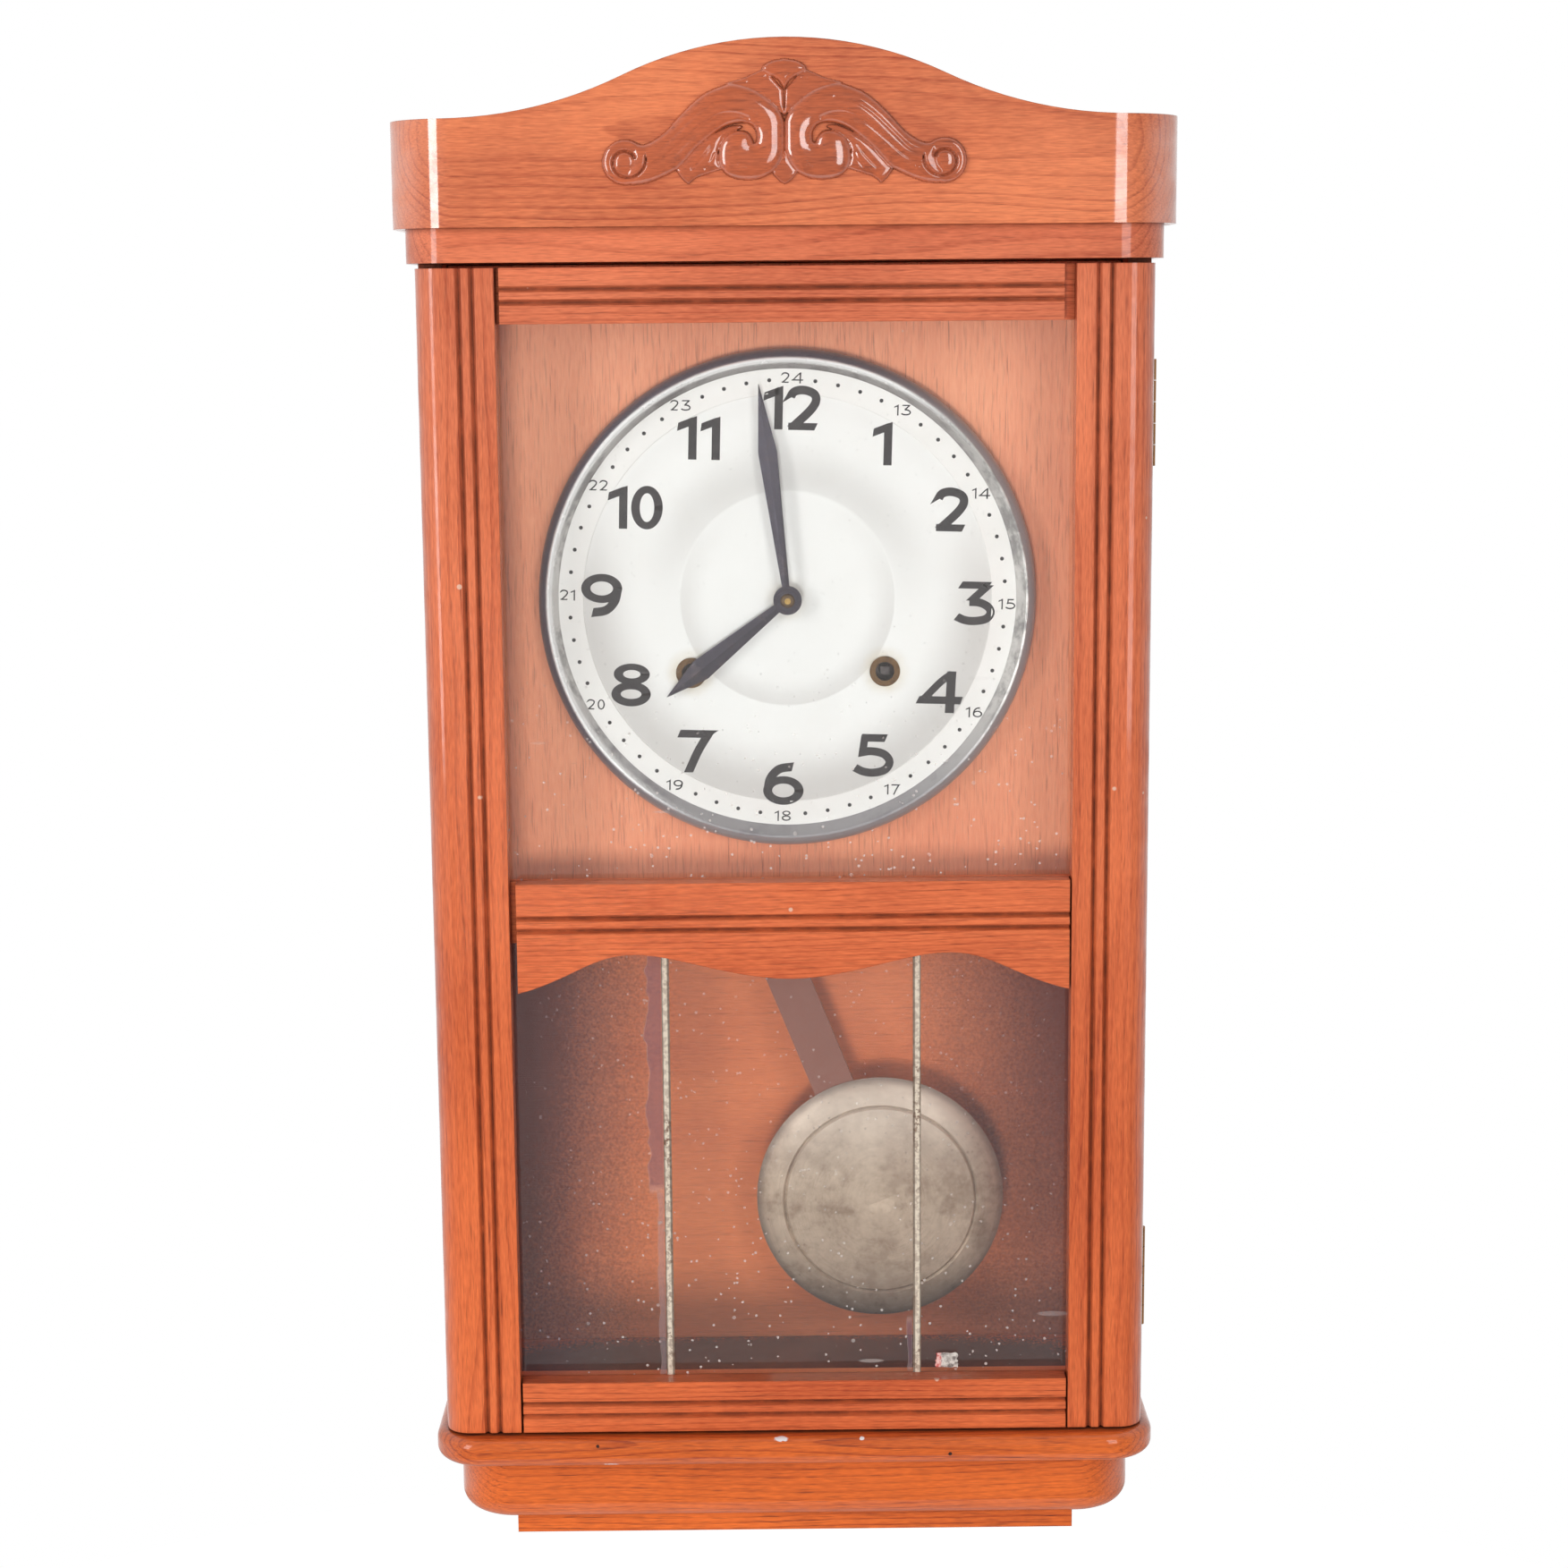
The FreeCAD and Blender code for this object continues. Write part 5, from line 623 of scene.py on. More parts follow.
@dataclass(frozen=True)
class BezelMetal:
    """Plated bezel: a mottled grey slope with painted shade, a painted highlight on its crest and painted
    reflections.
    """

    centre: tuple[float, float]
    # The first colour is the painted highlight on the crest; tarnish and dull are painted shade at the top
    # and bottom of the slope; the two shoulder colours are painted reflections.
    bright: Colour = stain(255, 255, 255)
    slope: Colour = stain(222, 220, 217)
    blotch: Colour = stain(96, 92, 94)
    tarnish: Colour = stain(104, 98, 98)
    dull: Colour = stain(140, 137, 144)
    shoulder: Colour = stain(84, 78, 92)
    worn_shoulder: Colour = stain(156, 152, 154)
    crest_radius: float = 0.1032
    crest_half: float = 0.0019

    def material(self) -> bpy.types.Material:
        """The bezel's material."""
        g, surface, material = new_material("bezel_metal")
        around = Around(g, self.centre)
        outside = g.ramp(around.radius, self.crest_radius, self.crest_radius + 0.0006)
        side = g.math("DIVIDE", around.x, around.radius)
        height = g.math("DIVIDE", around.z, around.radius)
        # Painted light from the upper left: a highlight on the crest there, and a dark painted reflection
        # on the shoulder, lighter at the lower right.
        upper_left_light = g.math("ADD", g.math("MULTIPLY", side, -0.8), g.math("MULTIPLY", height, 0.6))
        upper_left_light = g.ramp(upper_left_light, -0.35, 0.45)
        crest = ring_band(g, around.radius, self.crest_radius - 0.0008, self.crest_half)
        crest = g.math("MULTIPLY", crest, upper_left_light)
        brushed = g.node("CombineXYZ", X=g.math("MULTIPLY", around.radius, 5200.0),
                         Y=g.math("MULTIPLY", around.angle, 1.5)).outputs[0]
        lines = g.noise(brushed, 1.0, 2.0, 0.6)
        cloud = g.use(PATINA, Vector=around.vector, Scale=48.0, Low=0.46, High=0.62).outputs[0]
        inner = g.mix(g.math("MULTIPLY", lines, 0.18), self.slope, self.blotch)
        inner = g.mix(g.math("MULTIPLY", cloud, 0.7), inner, self.blotch)
        # Painted shade at the top and at the bottom of the slope.
        inner = g.mix(g.ramp(height, 0.3, 0.9, 0.0, 0.7), inner, self.tarnish)
        inner = g.mix(g.ramp(height, -0.3, -0.9, 0.0, 0.75), inner, self.dull)
        colour = g.mix(outside, inner, g.mix(upper_left_light, self.worn_shoulder, self.shoulder))
        colour = g.mix(g.math("MINIMUM", g.math("MULTIPLY", crest, 1.6), 1.0), colour, self.bright)
        # Grime and painted shade in corners, from ambient occlusion.
        dirt = g.use(GRIME_AND_SHADE, Vector=around.vector, Color=colour, Amount=0.75, Reach=0.002)
        g.feed(surface.inputs["Base Color"], dirt.outputs["Color"])
        rough = g.math("ADD", 0.28, g.math("MULTIPLY", cloud, 0.12))
        g.feed(surface.inputs["Roughness"], g.math("SUBTRACT", rough, g.math("MULTIPLY", crest, 0.1)))
        surface.inputs["Metallic"].default_value = 0.2
        bump = g.node("Bump", Strength=0.05, Distance=0.00003, Height=lines)
        g.feed(surface.inputs["Normal"], bump.outputs[0])
        return material


@dataclass(frozen=True)
class BobMetal:
    """Spun bob under dull tarnish, with painted light on its top and painted shade at its bottom and rim.
    """

    centre: tuple[float, float]
    pale: Colour = stain(216, 196, 174)
    dull: Colour = stain(134, 106, 84)
    # dark is the painted shade of the bottom and rim and also the specks' colour; the next colour is
    # painted light on the top.
    dark: Colour = stain(98, 80, 76)
    bright: Colour = stain(240, 226, 212)
    grime: Colour = stain(96, 78, 70)
    radius: float = 0.0575

    def material(self) -> bpy.types.Material:
        """The bob's material."""
        g, surface, material = new_material("bob_metal")
        around = Around(g, self.centre)
        cloud = g.use(PATINA, Vector=around.vector, Scale=34.0, Low=0.38, High=0.66).outputs[0]
        shifted = g.vector("ADD", around.vector, (0.3, 0.0, 0.1))
        small = g.use(PATINA, Vector=shifted, Scale=130.0, Low=0.45, High=0.7).outputs[0]
        share = g.math("ADD", g.math("MULTIPLY", cloud, 0.58), g.math("MULTIPLY", small, 0.3))
        colour = g.mix(share, self.pale, self.dull)
        brushed = g.node("CombineXYZ", X=g.math("MULTIPLY", around.radius, 3000.0),
                         Y=g.math("MULTIPLY", around.angle, 2.0)).outputs[0]
        lines = g.noise(brushed, 1.0, 2.0, 0.55)
        colour = g.mix(g.math("MULTIPLY", g.ramp(lines, 0.45, 0.75), 0.28), colour, self.dull)
        # Painted light on the top, painted shade on the bottom and round the rim.
        colour = g.mix(g.ramp(around.z, 0.0, 0.05, 0.0, 0.62), colour, self.bright)
        colour = g.mix(g.ramp(around.z, -0.025, -0.056, 0.0, 0.5), colour, self.dark)
        edge = g.ramp(around.radius, self.radius * 0.93, self.radius)
        colour = g.mix(g.math("MULTIPLY", edge, 0.5), colour, self.dark)
        specks = g.use(SPECKS, Vector=around.vector, Size=0.2, Scale=420.0, Density=0.09).outputs[0]
        colour = g.mix(g.math("MULTIPLY", specks, 0.35), colour, self.dark)
        # Grime and painted shade in corners, from ambient occlusion.
        dirt = g.use(GRIME_AND_SHADE, Vector=around.vector, Color=colour, Dirt=self.grime, Amount=0.7, Reach=0.0016)
        g.feed(surface.inputs["Base Color"], dirt.outputs["Color"])
        g.feed(surface.inputs["Roughness"], g.math("ADD", 0.5, g.math("MULTIPLY", share, 0.2)))
        surface.inputs["Metallic"].default_value = 0.55
        bump = g.node("Bump", Strength=0.25, Distance=0.00006, Height=g.math("ADD", lines, share))
        g.feed(surface.inputs["Normal"], bump.outputs[0])
        return material


@dataclass(frozen=True)
class Paint:
    """A thin coat of paint or lacquer that is rubbed through in places.

    Attributes:
        name: the material's name.
        base: colour of the coat.
        under: colour of what shows through it.
        rough: roughness of the coat.
        worn: how much shows through.
        scale: scale of the worn places.
    """

    name: str
    base: Colour
    under: Colour
    rough: float = 0.5
    worn: float = 0.3
    scale: float = 120.0

    def material(self) -> bpy.types.Material:
        """The paint's material."""
        g, surface, material = new_material(self.name)
        own = g.own()
        cloud = g.use(PATINA, Vector=own, Scale=self.scale, Low=0.5, High=0.8).outputs[0]
        specks = g.use(SPECKS, Vector=own, Size=0.3, Scale=900.0, Density=0.12).outputs[0]
        wear = g.math("MULTIPLY", g.math("MAXIMUM", cloud, g.math("MULTIPLY", specks, 0.6)), self.worn)
        g.feed(surface.inputs["Base Color"], g.mix(wear, self.base, self.under))
        surface.inputs["Roughness"].default_value = self.rough
        return material


@dataclass(frozen=True)
class StripMetal:
    """Narrow plated strips, pale along the middle, with dark edges and flecks of rust."""

    off_middle: float
    pale: Colour = stain(238, 224, 204)
    rust: Colour = stain(112, 64, 40)
    edge: Colour = stain(96, 74, 62)

    def material(self) -> bpy.types.Material:
        """The strips' material."""
        g, surface, material = new_material("strip_metal")
        own = g.own()
        across = g.math("ABSOLUTE", g.node("SeparateXYZ", Vector=own).outputs["X"])
        away = g.math("ABSOLUTE", g.math("SUBTRACT", across, self.off_middle))
        small = g.use(PATINA, Vector=own, Scale=420.0, Low=0.47, High=0.54).outputs[0]
        large = g.use(PATINA, Vector=own, Scale=38.0, Low=0.45, High=0.7).outputs[0]
        flecks = g.math("MULTIPLY", small, g.ramp(large, 0.0, 1.0, 0.35, 1.0))
        colour = g.mix(flecks, self.pale, self.rust)
        colour = g.mix(g.ramp(away, 0.0008, 0.0012, 0.0, 0.75), colour, self.edge)
        g.feed(surface.inputs["Base Color"], colour)
        surface.inputs["Roughness"].default_value = 0.45
        surface.inputs["Metallic"].default_value = 0.3
        return material


@dataclass(frozen=True)
class LabelPaper:
    """Faded scrap of paper with a red left edge and grime."""

    centre: tuple[float, float]
    paper: Colour = stain(214, 208, 200)
    grime: Colour = stain(112, 102, 98)
    red: Colour = stain(196, 70, 66)
    faded_red: Colour = stain(232, 196, 188)

    def material(self) -> bpy.types.Material:
        """The paper's material."""
        g, surface, material = new_material("label_paper")
        around = Around(g, self.centre)
        wander = g.math("MULTIPLY", g.math("SUBTRACT", g.noise(around.vector, 500.0, 3.0), 0.5), 0.002)
        place = g.math("ADD", around.x, wander)
        cloud = g.use(PATINA, Vector=around.vector, Scale=420.0, Low=0.4, High=0.62).outputs[0]
        grey = g.mix(cloud, self.paper, self.grime)
        red = g.mix(cloud, self.red, self.faded_red)
        g.feed(surface.inputs["Base Color"], g.mix(g.ramp(place, -0.0030, -0.0020), red, grey))
        surface.inputs["Roughness"].default_value = 0.8
        return material


@dataclass(frozen=True)
class PaneDust:
    """Haze, specks, scratches and, beside the strips, smears and a hazy film with painted reflection on a
    pane.

    Attributes:
        name: the material's name.
        strips: X of the outer edges of the two metal strips, or nothing for a pane without them.
        span: lowest and highest Z of the pane.
        haze: strength of the even film.
        colour: colour of the film and specks.
        smear: colour of the smears and of the hazy film with painted reflection.
        smear_weight: opacity of the smears.
        veil_weight: opacity of the hazy film with painted reflection over the middle and right of the pane.
    """

    name: str
    strips: tuple[float, ...]
    span: tuple[float, float]
    haze: float
    colour: Colour = stain(228, 218, 212)
    smear: Colour = stain(128, 106, 116)
    smear_weight: float = 0.5
    veil_weight: float = 0.07

    def band(self, g: Graph, x: Socket, z: Socket, own: Socket, right: float, width: float,
             low: float, high: float) -> Socket:
        """Upright smear with a wavy left edge.

        Args:
            g: the graph.
            x: X of the place.
            z: Z of the place.
            own: the place.
            right: X of its straight right edge.
            width: its width.
            low: share of the pane's height where it starts.
            high: share of the pane's height where it ends.

        Returns:
            Its mask.
        """
        bottom, top = self.span
        wave = g.noise(g.place(own, scale=(0.0, 0.0, 55.0)), 1.0, 2.0, 0.6)
        left = g.math("ADD", right - width, g.math("MULTIPLY", g.math("SUBTRACT", wave, 0.5), width * 1.6))
        across = g.math("MULTIPLY", g.ramp(g.math("SUBTRACT", x, left), 0.0, 0.0009),
                        g.ramp(g.math("SUBTRACT", right, x), 0.0, 0.0006))
        tall = top - bottom
        along = g.math("MULTIPLY", g.ramp(z, bottom + tall * low, bottom + tall * (low + 0.03)),
                       g.ramp(z, bottom + tall * (high - 0.03), bottom + tall * high, 1.0, 0.0))
        return g.math("MULTIPLY", across, along)

    def material(self) -> bpy.types.Material:
        """The dust film: nearly clear, with what lies on it in its alpha."""
        g, surface, material = new_material(self.name)
        own = g.own()
        parts = g.node("SeparateXYZ", Vector=own)
        x, z = parts.outputs["X"], parts.outputs["Z"]
        cloud = g.noise(g.place(own, scale=(9, 0, 6)), 1.0, 4.0, 0.6)
        wiped = g.noise(g.place(own, rotation=(0, 0.5, 0), scale=(30, 0, 5)), 1.0, 3.0, 0.6)
        film = g.math("ADD", g.math("MULTIPLY", cloud, 0.5), g.math("MULTIPLY", wiped, 0.4))
        alpha = g.math("MULTIPLY", self.haze, g.math("ADD", 0.55, film))
        flat = g.place(own, scale=(1, 0, 1))
        fine = g.use(SPECKS, Vector=flat, Size=0.42, Scale=850.0, Density=0.05).outputs[0]
        beside = g.place(own, location=(0.3, 0, 0.2), scale=(1, 0, 1))
        coarse = g.use(SPECKS, Vector=beside, Size=0.34, Scale=420.0, Density=0.008).outputs[0]
        drawn = g.place(own, rotation=(0, 0.25, 0), scale=(0.16, 0, 1.0))
        scratch = g.use(SPECKS, Vector=drawn, Size=0.16, Scale=170.0, Density=0.12).outputs[0]
        marks = g.math("MAXIMUM", g.math("MULTIPLY", fine, 0.55), g.math("MULTIPLY", coarse, 0.32))
        marks = g.math("MAXIMUM", marks, g.math("MULTIPLY", scratch, 0.28))
        low = g.ramp(z, self.span[0], self.span[0] + 0.12, 1.0, 0.45 if self.strips else 0.15)
        alpha = g.math("MAXIMUM", alpha, g.math("MULTIPLY", marks, low))
        colour = self.colour
        if self.strips:
            left, right = self.strips
            tall = self.band(g, x, z, own, right=left + 0.0002, width=0.0072, low=0.42, high=0.98)
            short = self.band(g, x, z, own, right=right - 0.0035, width=0.0030, low=0.02, high=0.16)
            faint = self.band(g, x, z, own, right=left, width=0.0035, low=0.0, high=0.45)
            smear = g.math("MAXIMUM", tall, short)
            smear = g.math("MAXIMUM", smear, g.math("MULTIPLY", faint, 0.7))
            # A hazy film at the sides of the pane, with painted reflection and shade in it.
            slanted = g.math("ADD", x, g.math("MULTIPLY", z, 0.35))
            haze_and_reflection = g.math("MAXIMUM", g.ramp(slanted, -0.09, 0.02), g.ramp(x, left - 0.012, left - 0.05))
            haze_and_reflection = g.math("MULTIPLY", haze_and_reflection, g.math("ADD", 0.4, g.math("MULTIPLY", cloud, 0.9)))
            alpha = g.math("ADD", alpha, g.math("MULTIPLY", haze_and_reflection, self.veil_weight))
            alpha = g.math("MAXIMUM", alpha, g.math("MULTIPLY", smear, self.smear_weight))
            smear_and_reflection = g.math("MAXIMUM", smear, g.math("MULTIPLY", haze_and_reflection, 0.9))
            colour = g.mix(smear_and_reflection, self.colour, self.smear)
        g.feed(surface.inputs["Base Color"], colour)
        facing = g.node("NewGeometry").outputs["Backfacing"]
        g.feed(surface.inputs["Alpha"], g.math("MULTIPLY", alpha, g.math("SUBTRACT", 1.0, facing)))
        surface.inputs["Roughness"].default_value = 0.9
        surface.inputs["Specular IOR Level"].default_value = 0.0
        return material


CASE_WOOD = Wood("case_wood", light=stain(234, 130, 88), deep=stain(156, 58, 32), aged=(0.97, 0.78, 0.5))
# The crown's and the crest's wide reach paints dark shade round the carving, together with grime.
CROWN_WOOD = Wood("crown_wood", light=stain(244, 138, 88), deep=stain(164, 64, 36), rings=0.42, pores=0.35,
                  dirt=1.0, dirt_reach=0.006, coat=1.0, coat_rough=0.07, coat_index=2.15)
BASE_WOOD = Wood("base_wood", light=stain(236, 114, 42), deep=stain(150, 54, 18), rings=0.45, pores=0.7)
CREST_WOOD = Wood("crest_wood", light=stain(208, 104, 62), deep=stain(122, 56, 36), rings=0.2,
                  dirt=1.0, dirt_reach=0.008, coat=1.0, coat_rough=0.08, coat_index=2.1)
BOARD_WOOD = Wood("board_wood", light=stain(252, 172, 132), deep=stain(226, 134, 98), pitch=0.004,
                  rings=0.2, pores=0.5, coat=0.12, rough=0.6, dirt=0.5, aged=(0.97, 0.86, 0.78))
INNER_WOOD = Wood("inner_wood", light=stain(255, 148, 92), deep=stain(212, 104, 62), pitch=0.005,
                  rings=0.12, pores=0.25, coat=0.12, rough=0.55, dirt=0.4)
BRASS = Metal("plate_brass", stain(201, 164, 92), stain(120, 90, 52), rough=0.32)
HINGE_BRASS = Metal("hinge_brass", stain(160, 112, 68), stain(96, 64, 42), rough=0.42)
EYELET_BRASS = Metal("eyelet_brass", stain(112, 84, 54), stain(58, 42, 34), rough=0.38, scale=300.0)
NUT_BRASS = Metal("nut_brass", stain(112, 90, 64), stain(64, 52, 44), rough=0.55, scale=300.0)
WINDING_STEEL = Metal("winding_steel", stain(92, 86, 86), stain(50, 44, 44), rough=0.28)
STEEL = Metal("movement_steel", stain(150, 150, 154), stain(84, 78, 74), rough=0.34)
IRON = Metal("block_iron", stain(70, 70, 74), stain(92, 62, 46), rough=0.6, tarnish_rough=0.8)
HAND_STEEL = Metal("blued_steel", stain(58, 54, 66), stain(96, 84, 84), rough=0.35, scale=160.0,
                   low=0.5, high=0.75, metallic=0.6)
DIAL_PAINT = Paint("dial_paint", stain(26, 22, 26), stain(104, 96, 94), worn=0.3, scale=150.0)
STICK = Paint("stick_lacquer", stain(144, 90, 76), stain(168, 122, 108), rough=0.42, worn=0.5, scale=60.0)


def dress(node: str, material: bpy.types.Material) -> None:
    """Give a CAD node its finish."""
    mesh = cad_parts[node].data
    mesh.materials.clear()
    mesh.materials.append(material)


# ---------------------------------------------------------------- surfaces


def grid_faces(rows: int, columns: int, wrap_rows: bool = False, wrap_columns: bool = False) -> Array:
    """Quads between neighbouring points of a grid that is numbered row by row.

    Args:
        rows: points along the first parameter.
        columns: points along the second parameter.
        wrap_rows: whether the last row joins the first.
        wrap_columns: whether the last column joins the first.

    Returns:
        Corner numbers, four to a face.
    """
    index = np.arange(rows * columns).reshape(rows, columns)
    if wrap_rows:
        index = np.vstack([index, index[:1]])
    if wrap_columns:
        index = np.hstack([index, index[:, :1]])
    corners = (index[:-1, :-1], index[1:, :-1], index[1:, 1:], index[:-1, 1:])
    return np.stack(corners, axis=-1).reshape(-1, 4)


def smooth_path(points: Array, count: int) -> Array:
    """Curve through given points.

    Between two points it is the cubic whose slope at each of them is half of the step between
    that point's neighbours.

    Args:
        points: places to pass through, one to a row.
        count: number of points on the curve.

    Returns:
        Points of the curve, one to a row.
    """
    given = np.asarray(points, float)
    padded = np.vstack([2 * given[0] - given[1], given, 2 * given[-1] - given[-2]])
    along = np.linspace(0, len(given) - 1, count)
    index = np.minimum(along.astype(int), len(given) - 2)
    f = (along - index)[:, None]
    a, b, c, d = (padded[index + k] for k in range(4))
    square, cube = 2 * a - 5 * b + 4 * c - d, 3 * b - a - 3 * c + d
    return 0.5 * (2 * b + (c - a) * f + square * f ** 2 + cube * f ** 3)


def distance_to(path: Array, places: Array) -> Array:
    """Shortest distance from each place to a path of straight pieces."""
    start, step = path[:-1], np.diff(path, axis=0)
    length = np.maximum((step ** 2).sum(1), 1e-12)
    away = places[:, None, :] - start[None]
    share = np.clip((away * step[None]).sum(2) / length, 0, 1)
    return np.sqrt(((away - share[..., None] * step[None]) ** 2).sum(2).min(1))


def depth_inside(outline: Array, places: Array) -> Array:
    """Distance from the outline for places inside it, and minus that distance outside."""
    ring = np.vstack([outline, outline[:1]])
    x, y = places[:, 0, None], places[:, 1, None]
    x0, y0, x1, y1 = ring[:-1, 0], ring[:-1, 1], ring[1:, 0], ring[1:, 1]
    crosses = (y0 > y) != (y1 > y)
    rise = np.where(y1 == y0, 1e-12, y1 - y0)
    inside = (crosses & (x < (x1 - x0) * (y - y0) / rise + x0)).sum(1) % 2 == 1
    return np.where(inside, 1.0, -1.0) * distance_to(ring, places)


class Piece:
    """Points and faces that become one mesh object."""

    def __init__(self, name: str) -> None:
        """Start an empty piece."""
        self.name = name
        self.points: list[Array] = []
        self.faces: list[Array] = []
        self.count = 0

    def add(self, points: Array, faces: Array) -> None:
        """Add a surface.

        Args:
            points: places in metres, one to a row.
            faces: corner numbers within these points.
        """
        flat = np.asarray(points, float).reshape(-1, 3)
        self.points.append(flat)
        self.faces.append(np.asarray(faces) + self.count)
        self.count += len(flat)

    def finish(self, body: str, slot: str, material: bpy.types.Material,
               crease: float = 40.0) -> bpy.types.Object:
        """Make the object, with seams merged and faces outwards.

        Args:
            body: body that it moves with.
            slot: material slot of the record; it is not used.
            material: its finish.
            crease: angle in degrees from which an edge stays sharp.

        Returns:
            The object.
        """
        mesh = bpy.data.meshes.new(self.name)
        corners = [face for part in self.faces for face in part.tolist()]
        mesh.from_pydata(np.vstack(self.points).tolist(), [], corners)
        work = bmesh.new()
        work.from_mesh(mesh)
        bmesh.ops.remove_doubles(work, verts=work.verts, dist=1e-6)
        bmesh.ops.dissolve_degenerate(work, edges=work.edges, dist=1e-7)
        bmesh.ops.recalc_face_normals(work, faces=work.faces)
        work.to_mesh(mesh)
        work.free()
        mesh.shade_smooth()
        mesh.set_sharp_from_angle(angle=math.radians(crease))
        mesh.materials.append(material)
        item = bpy.data.objects.new(self.name, mesh)
        bpy.context.scene.collection.objects.link(item)
        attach(item, body)
        log.info("%s: %d faces", self.name, len(mesh.polygons))
        return item


def middle(node: str) -> tuple[float, float]:
    """X and Z of the middle of a CAD node."""
    low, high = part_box(node)
    return (low.x + high.x) / 2, (low.z + high.z) / 2


# ---------------------------------------------------------------- camera, lamps and floor


@dataclass
class Studio:
    """Plain soft light, a pale floor and the camera."""

    eye: tuple[float, float, float] = (-0.00824, -1.32035, 0.01166)
    pitch: float = 9.486
    yaw: float = 0.283
    roll: float = -0.473
    lens: float = 65.70
    sensor: float = 36.0
    floor_level: float = -0.95
    floor_radius: float = 0.95
    ambient: float = 0.23
    backdrop: float = 1.0
    room_dark: float = 0.06
    floor_glow: float = 0.25
    floor_shown: float = 0.74

    def camera(self) -> None:
        """Camera turned by yaw, then pitch, then roll about its own line of sight."""
        yaw, pitch, roll = (math.radians(value) for value in (self.yaw, self.pitch, self.roll))
        ahead = Vector((math.sin(yaw) * math.cos(pitch), math.cos(yaw) * math.cos(pitch), -math.sin(pitch)))
        right = Vector((math.cos(yaw), -math.sin(yaw), 0.0))
        up = right.cross(ahead)
        across = math.cos(roll) * right + math.sin(roll) * up
        above = -math.sin(roll) * right + math.cos(roll) * up
        data = bpy.data.cameras.new("camera")
        data.lens = self.lens
        data.sensor_width = self.sensor
        data.clip_start = 0.01
        item = bpy.data.objects.new("camera", data)
        turn = Matrix((across, above, -ahead)).transposed().to_4x4()
        item.matrix_world = Matrix.Translation(self.eye) @ turn
        bpy.context.scene.collection.objects.link(item)
        bpy.context.scene.camera = item

    def lamp(self, name: str, bearing: float, rise: float, reach: float, size: tuple[float, float],
             power: float, mirrored: bool = True) -> None:
        """Soft lamp that looks at the middle of the clock.

        Args:
            name: the lamp's name.
            bearing: degrees to the viewer's right of straight in front.
            rise: height of the lamp above the origin.
            reach: distance from the clock along the floor.
            size: width and height of the lamp.
            power: watts.
            mirrored: whether gloss and glass show it.
        """
        angle = math.radians(bearing)
        place = Vector((reach * math.sin(angle), -reach * math.cos(angle), rise))
        data = bpy.data.lights.new(name, "AREA")
        data.shape = "RECTANGLE"
        data.size, data.size_y = size
        data.energy = power
        item = bpy.data.objects.new(name, data)
        item.visible_glossy = mirrored
        item.visible_transmission = mirrored
        aim = (Vector((0.0, 0.0, -0.2)) - place).to_track_quat("-Z", "Y")
        item.matrix_world = Matrix.Translation(place) @ aim.to_matrix().to_4x4()
        bpy.context.scene.collection.objects.link(item)

    def world(self) -> None:
        """Surroundings: white to the eye and through glass, dim as light, dark in front for gloss."""
        world = bpy.data.worlds.new("surroundings")
        world.use_nodes = True
        world.node_tree.nodes.clear()
        g = Graph(world.node_tree)
        path = g.node("LightPath")
        heading = g.node("SeparateXYZ", Vector=g.node("TexCoord").outputs["Generated"])
        gloss = g.ramp(heading.outputs["Y"], -0.75, 0.15, self.room_dark, self.backdrop)
        seen = g.math("MAXIMUM", path.outputs["Is Camera Ray"], path.outputs["Is Transmission Ray"])
        strength = g.node("Mix", {"data_type": "FLOAT"})
        g.feed(strength.inputs[0], path.outputs["Is Glossy Ray"])
        g.feed(strength.inputs[2], self.ambient)
        g.feed(strength.inputs[3], gloss)
        final = g.node("Mix", {"data_type": "FLOAT"})
        g.feed(final.inputs[0], seen)
        g.feed(final.inputs[2], strength.outputs[0])
        g.feed(final.inputs[3], self.backdrop)
        light = g.node("Background", Color=(1.0, 1.0, 1.0), Strength=final.outputs[0])
        g.feed(g.node("OutputWorld").inputs["Surface"], light.outputs[0])
        bpy.context.scene.world = world

    def floor(self) -> None:
        """Round pale floor well below the hanging clock."""
        turn = np.linspace(0, TURN, 64, endpoint=False)
        rim = np.column_stack([np.cos(turn), np.sin(turn)]) * self.floor_radius
        points = np.column_stack([rim, np.full(len(turn), self.floor_level)])
        mesh = bpy.data.meshes.new("floor")
        mesh.from_pydata(points.tolist(), [], [list(range(len(turn)))])
        item = bpy.data.objects.new("floor", mesh)
        bpy.context.scene.collection.objects.link(item)
        g, surface, material = new_material("floor_paint")
        surface.inputs["Base Color"].default_value = (0.8, 0.8, 0.8, 1.0)
        surface.inputs["Roughness"].default_value = 0.9
        path = g.node("LightPath")
        beyond = g.math("MAXIMUM", path.outputs["Is Glossy Ray"], path.outputs["Is Transmission Ray"])
        glow = g.mix(beyond, (0.0, 0.0, 0.0), (self.floor_glow,) * 3)
        glow = g.mix(path.outputs["Is Camera Ray"], glow, (self.floor_shown,) * 3)
        g.feed(surface.inputs["Emission Color"], glow)
        surface.inputs["Emission Strength"].default_value = 1.0
        mesh.materials.append(material)

    def build(self) -> None:
        """Set up everything around the object."""
        bpy.context.scene.view_settings.view_transform = "Standard"
        self.camera()
        self.lamp("lamp_left", bearing=-44.0, rise=0.25, reach=1.9, size=(0.42, 1.5), power=12.5)
        self.lamp("lamp_right", bearing=24.0, rise=0.25, reach=2.1, size=(0.55, 1.5), power=10.0)
        self.lamp("lamp_front", bearing=-7.0, rise=-0.5, reach=2.2, size=(0.45, 0.45), power=21.5,
                  mirrored=False)
        self.world()
        self.floor()


# ---------------------------------------------------------------- the wooden case


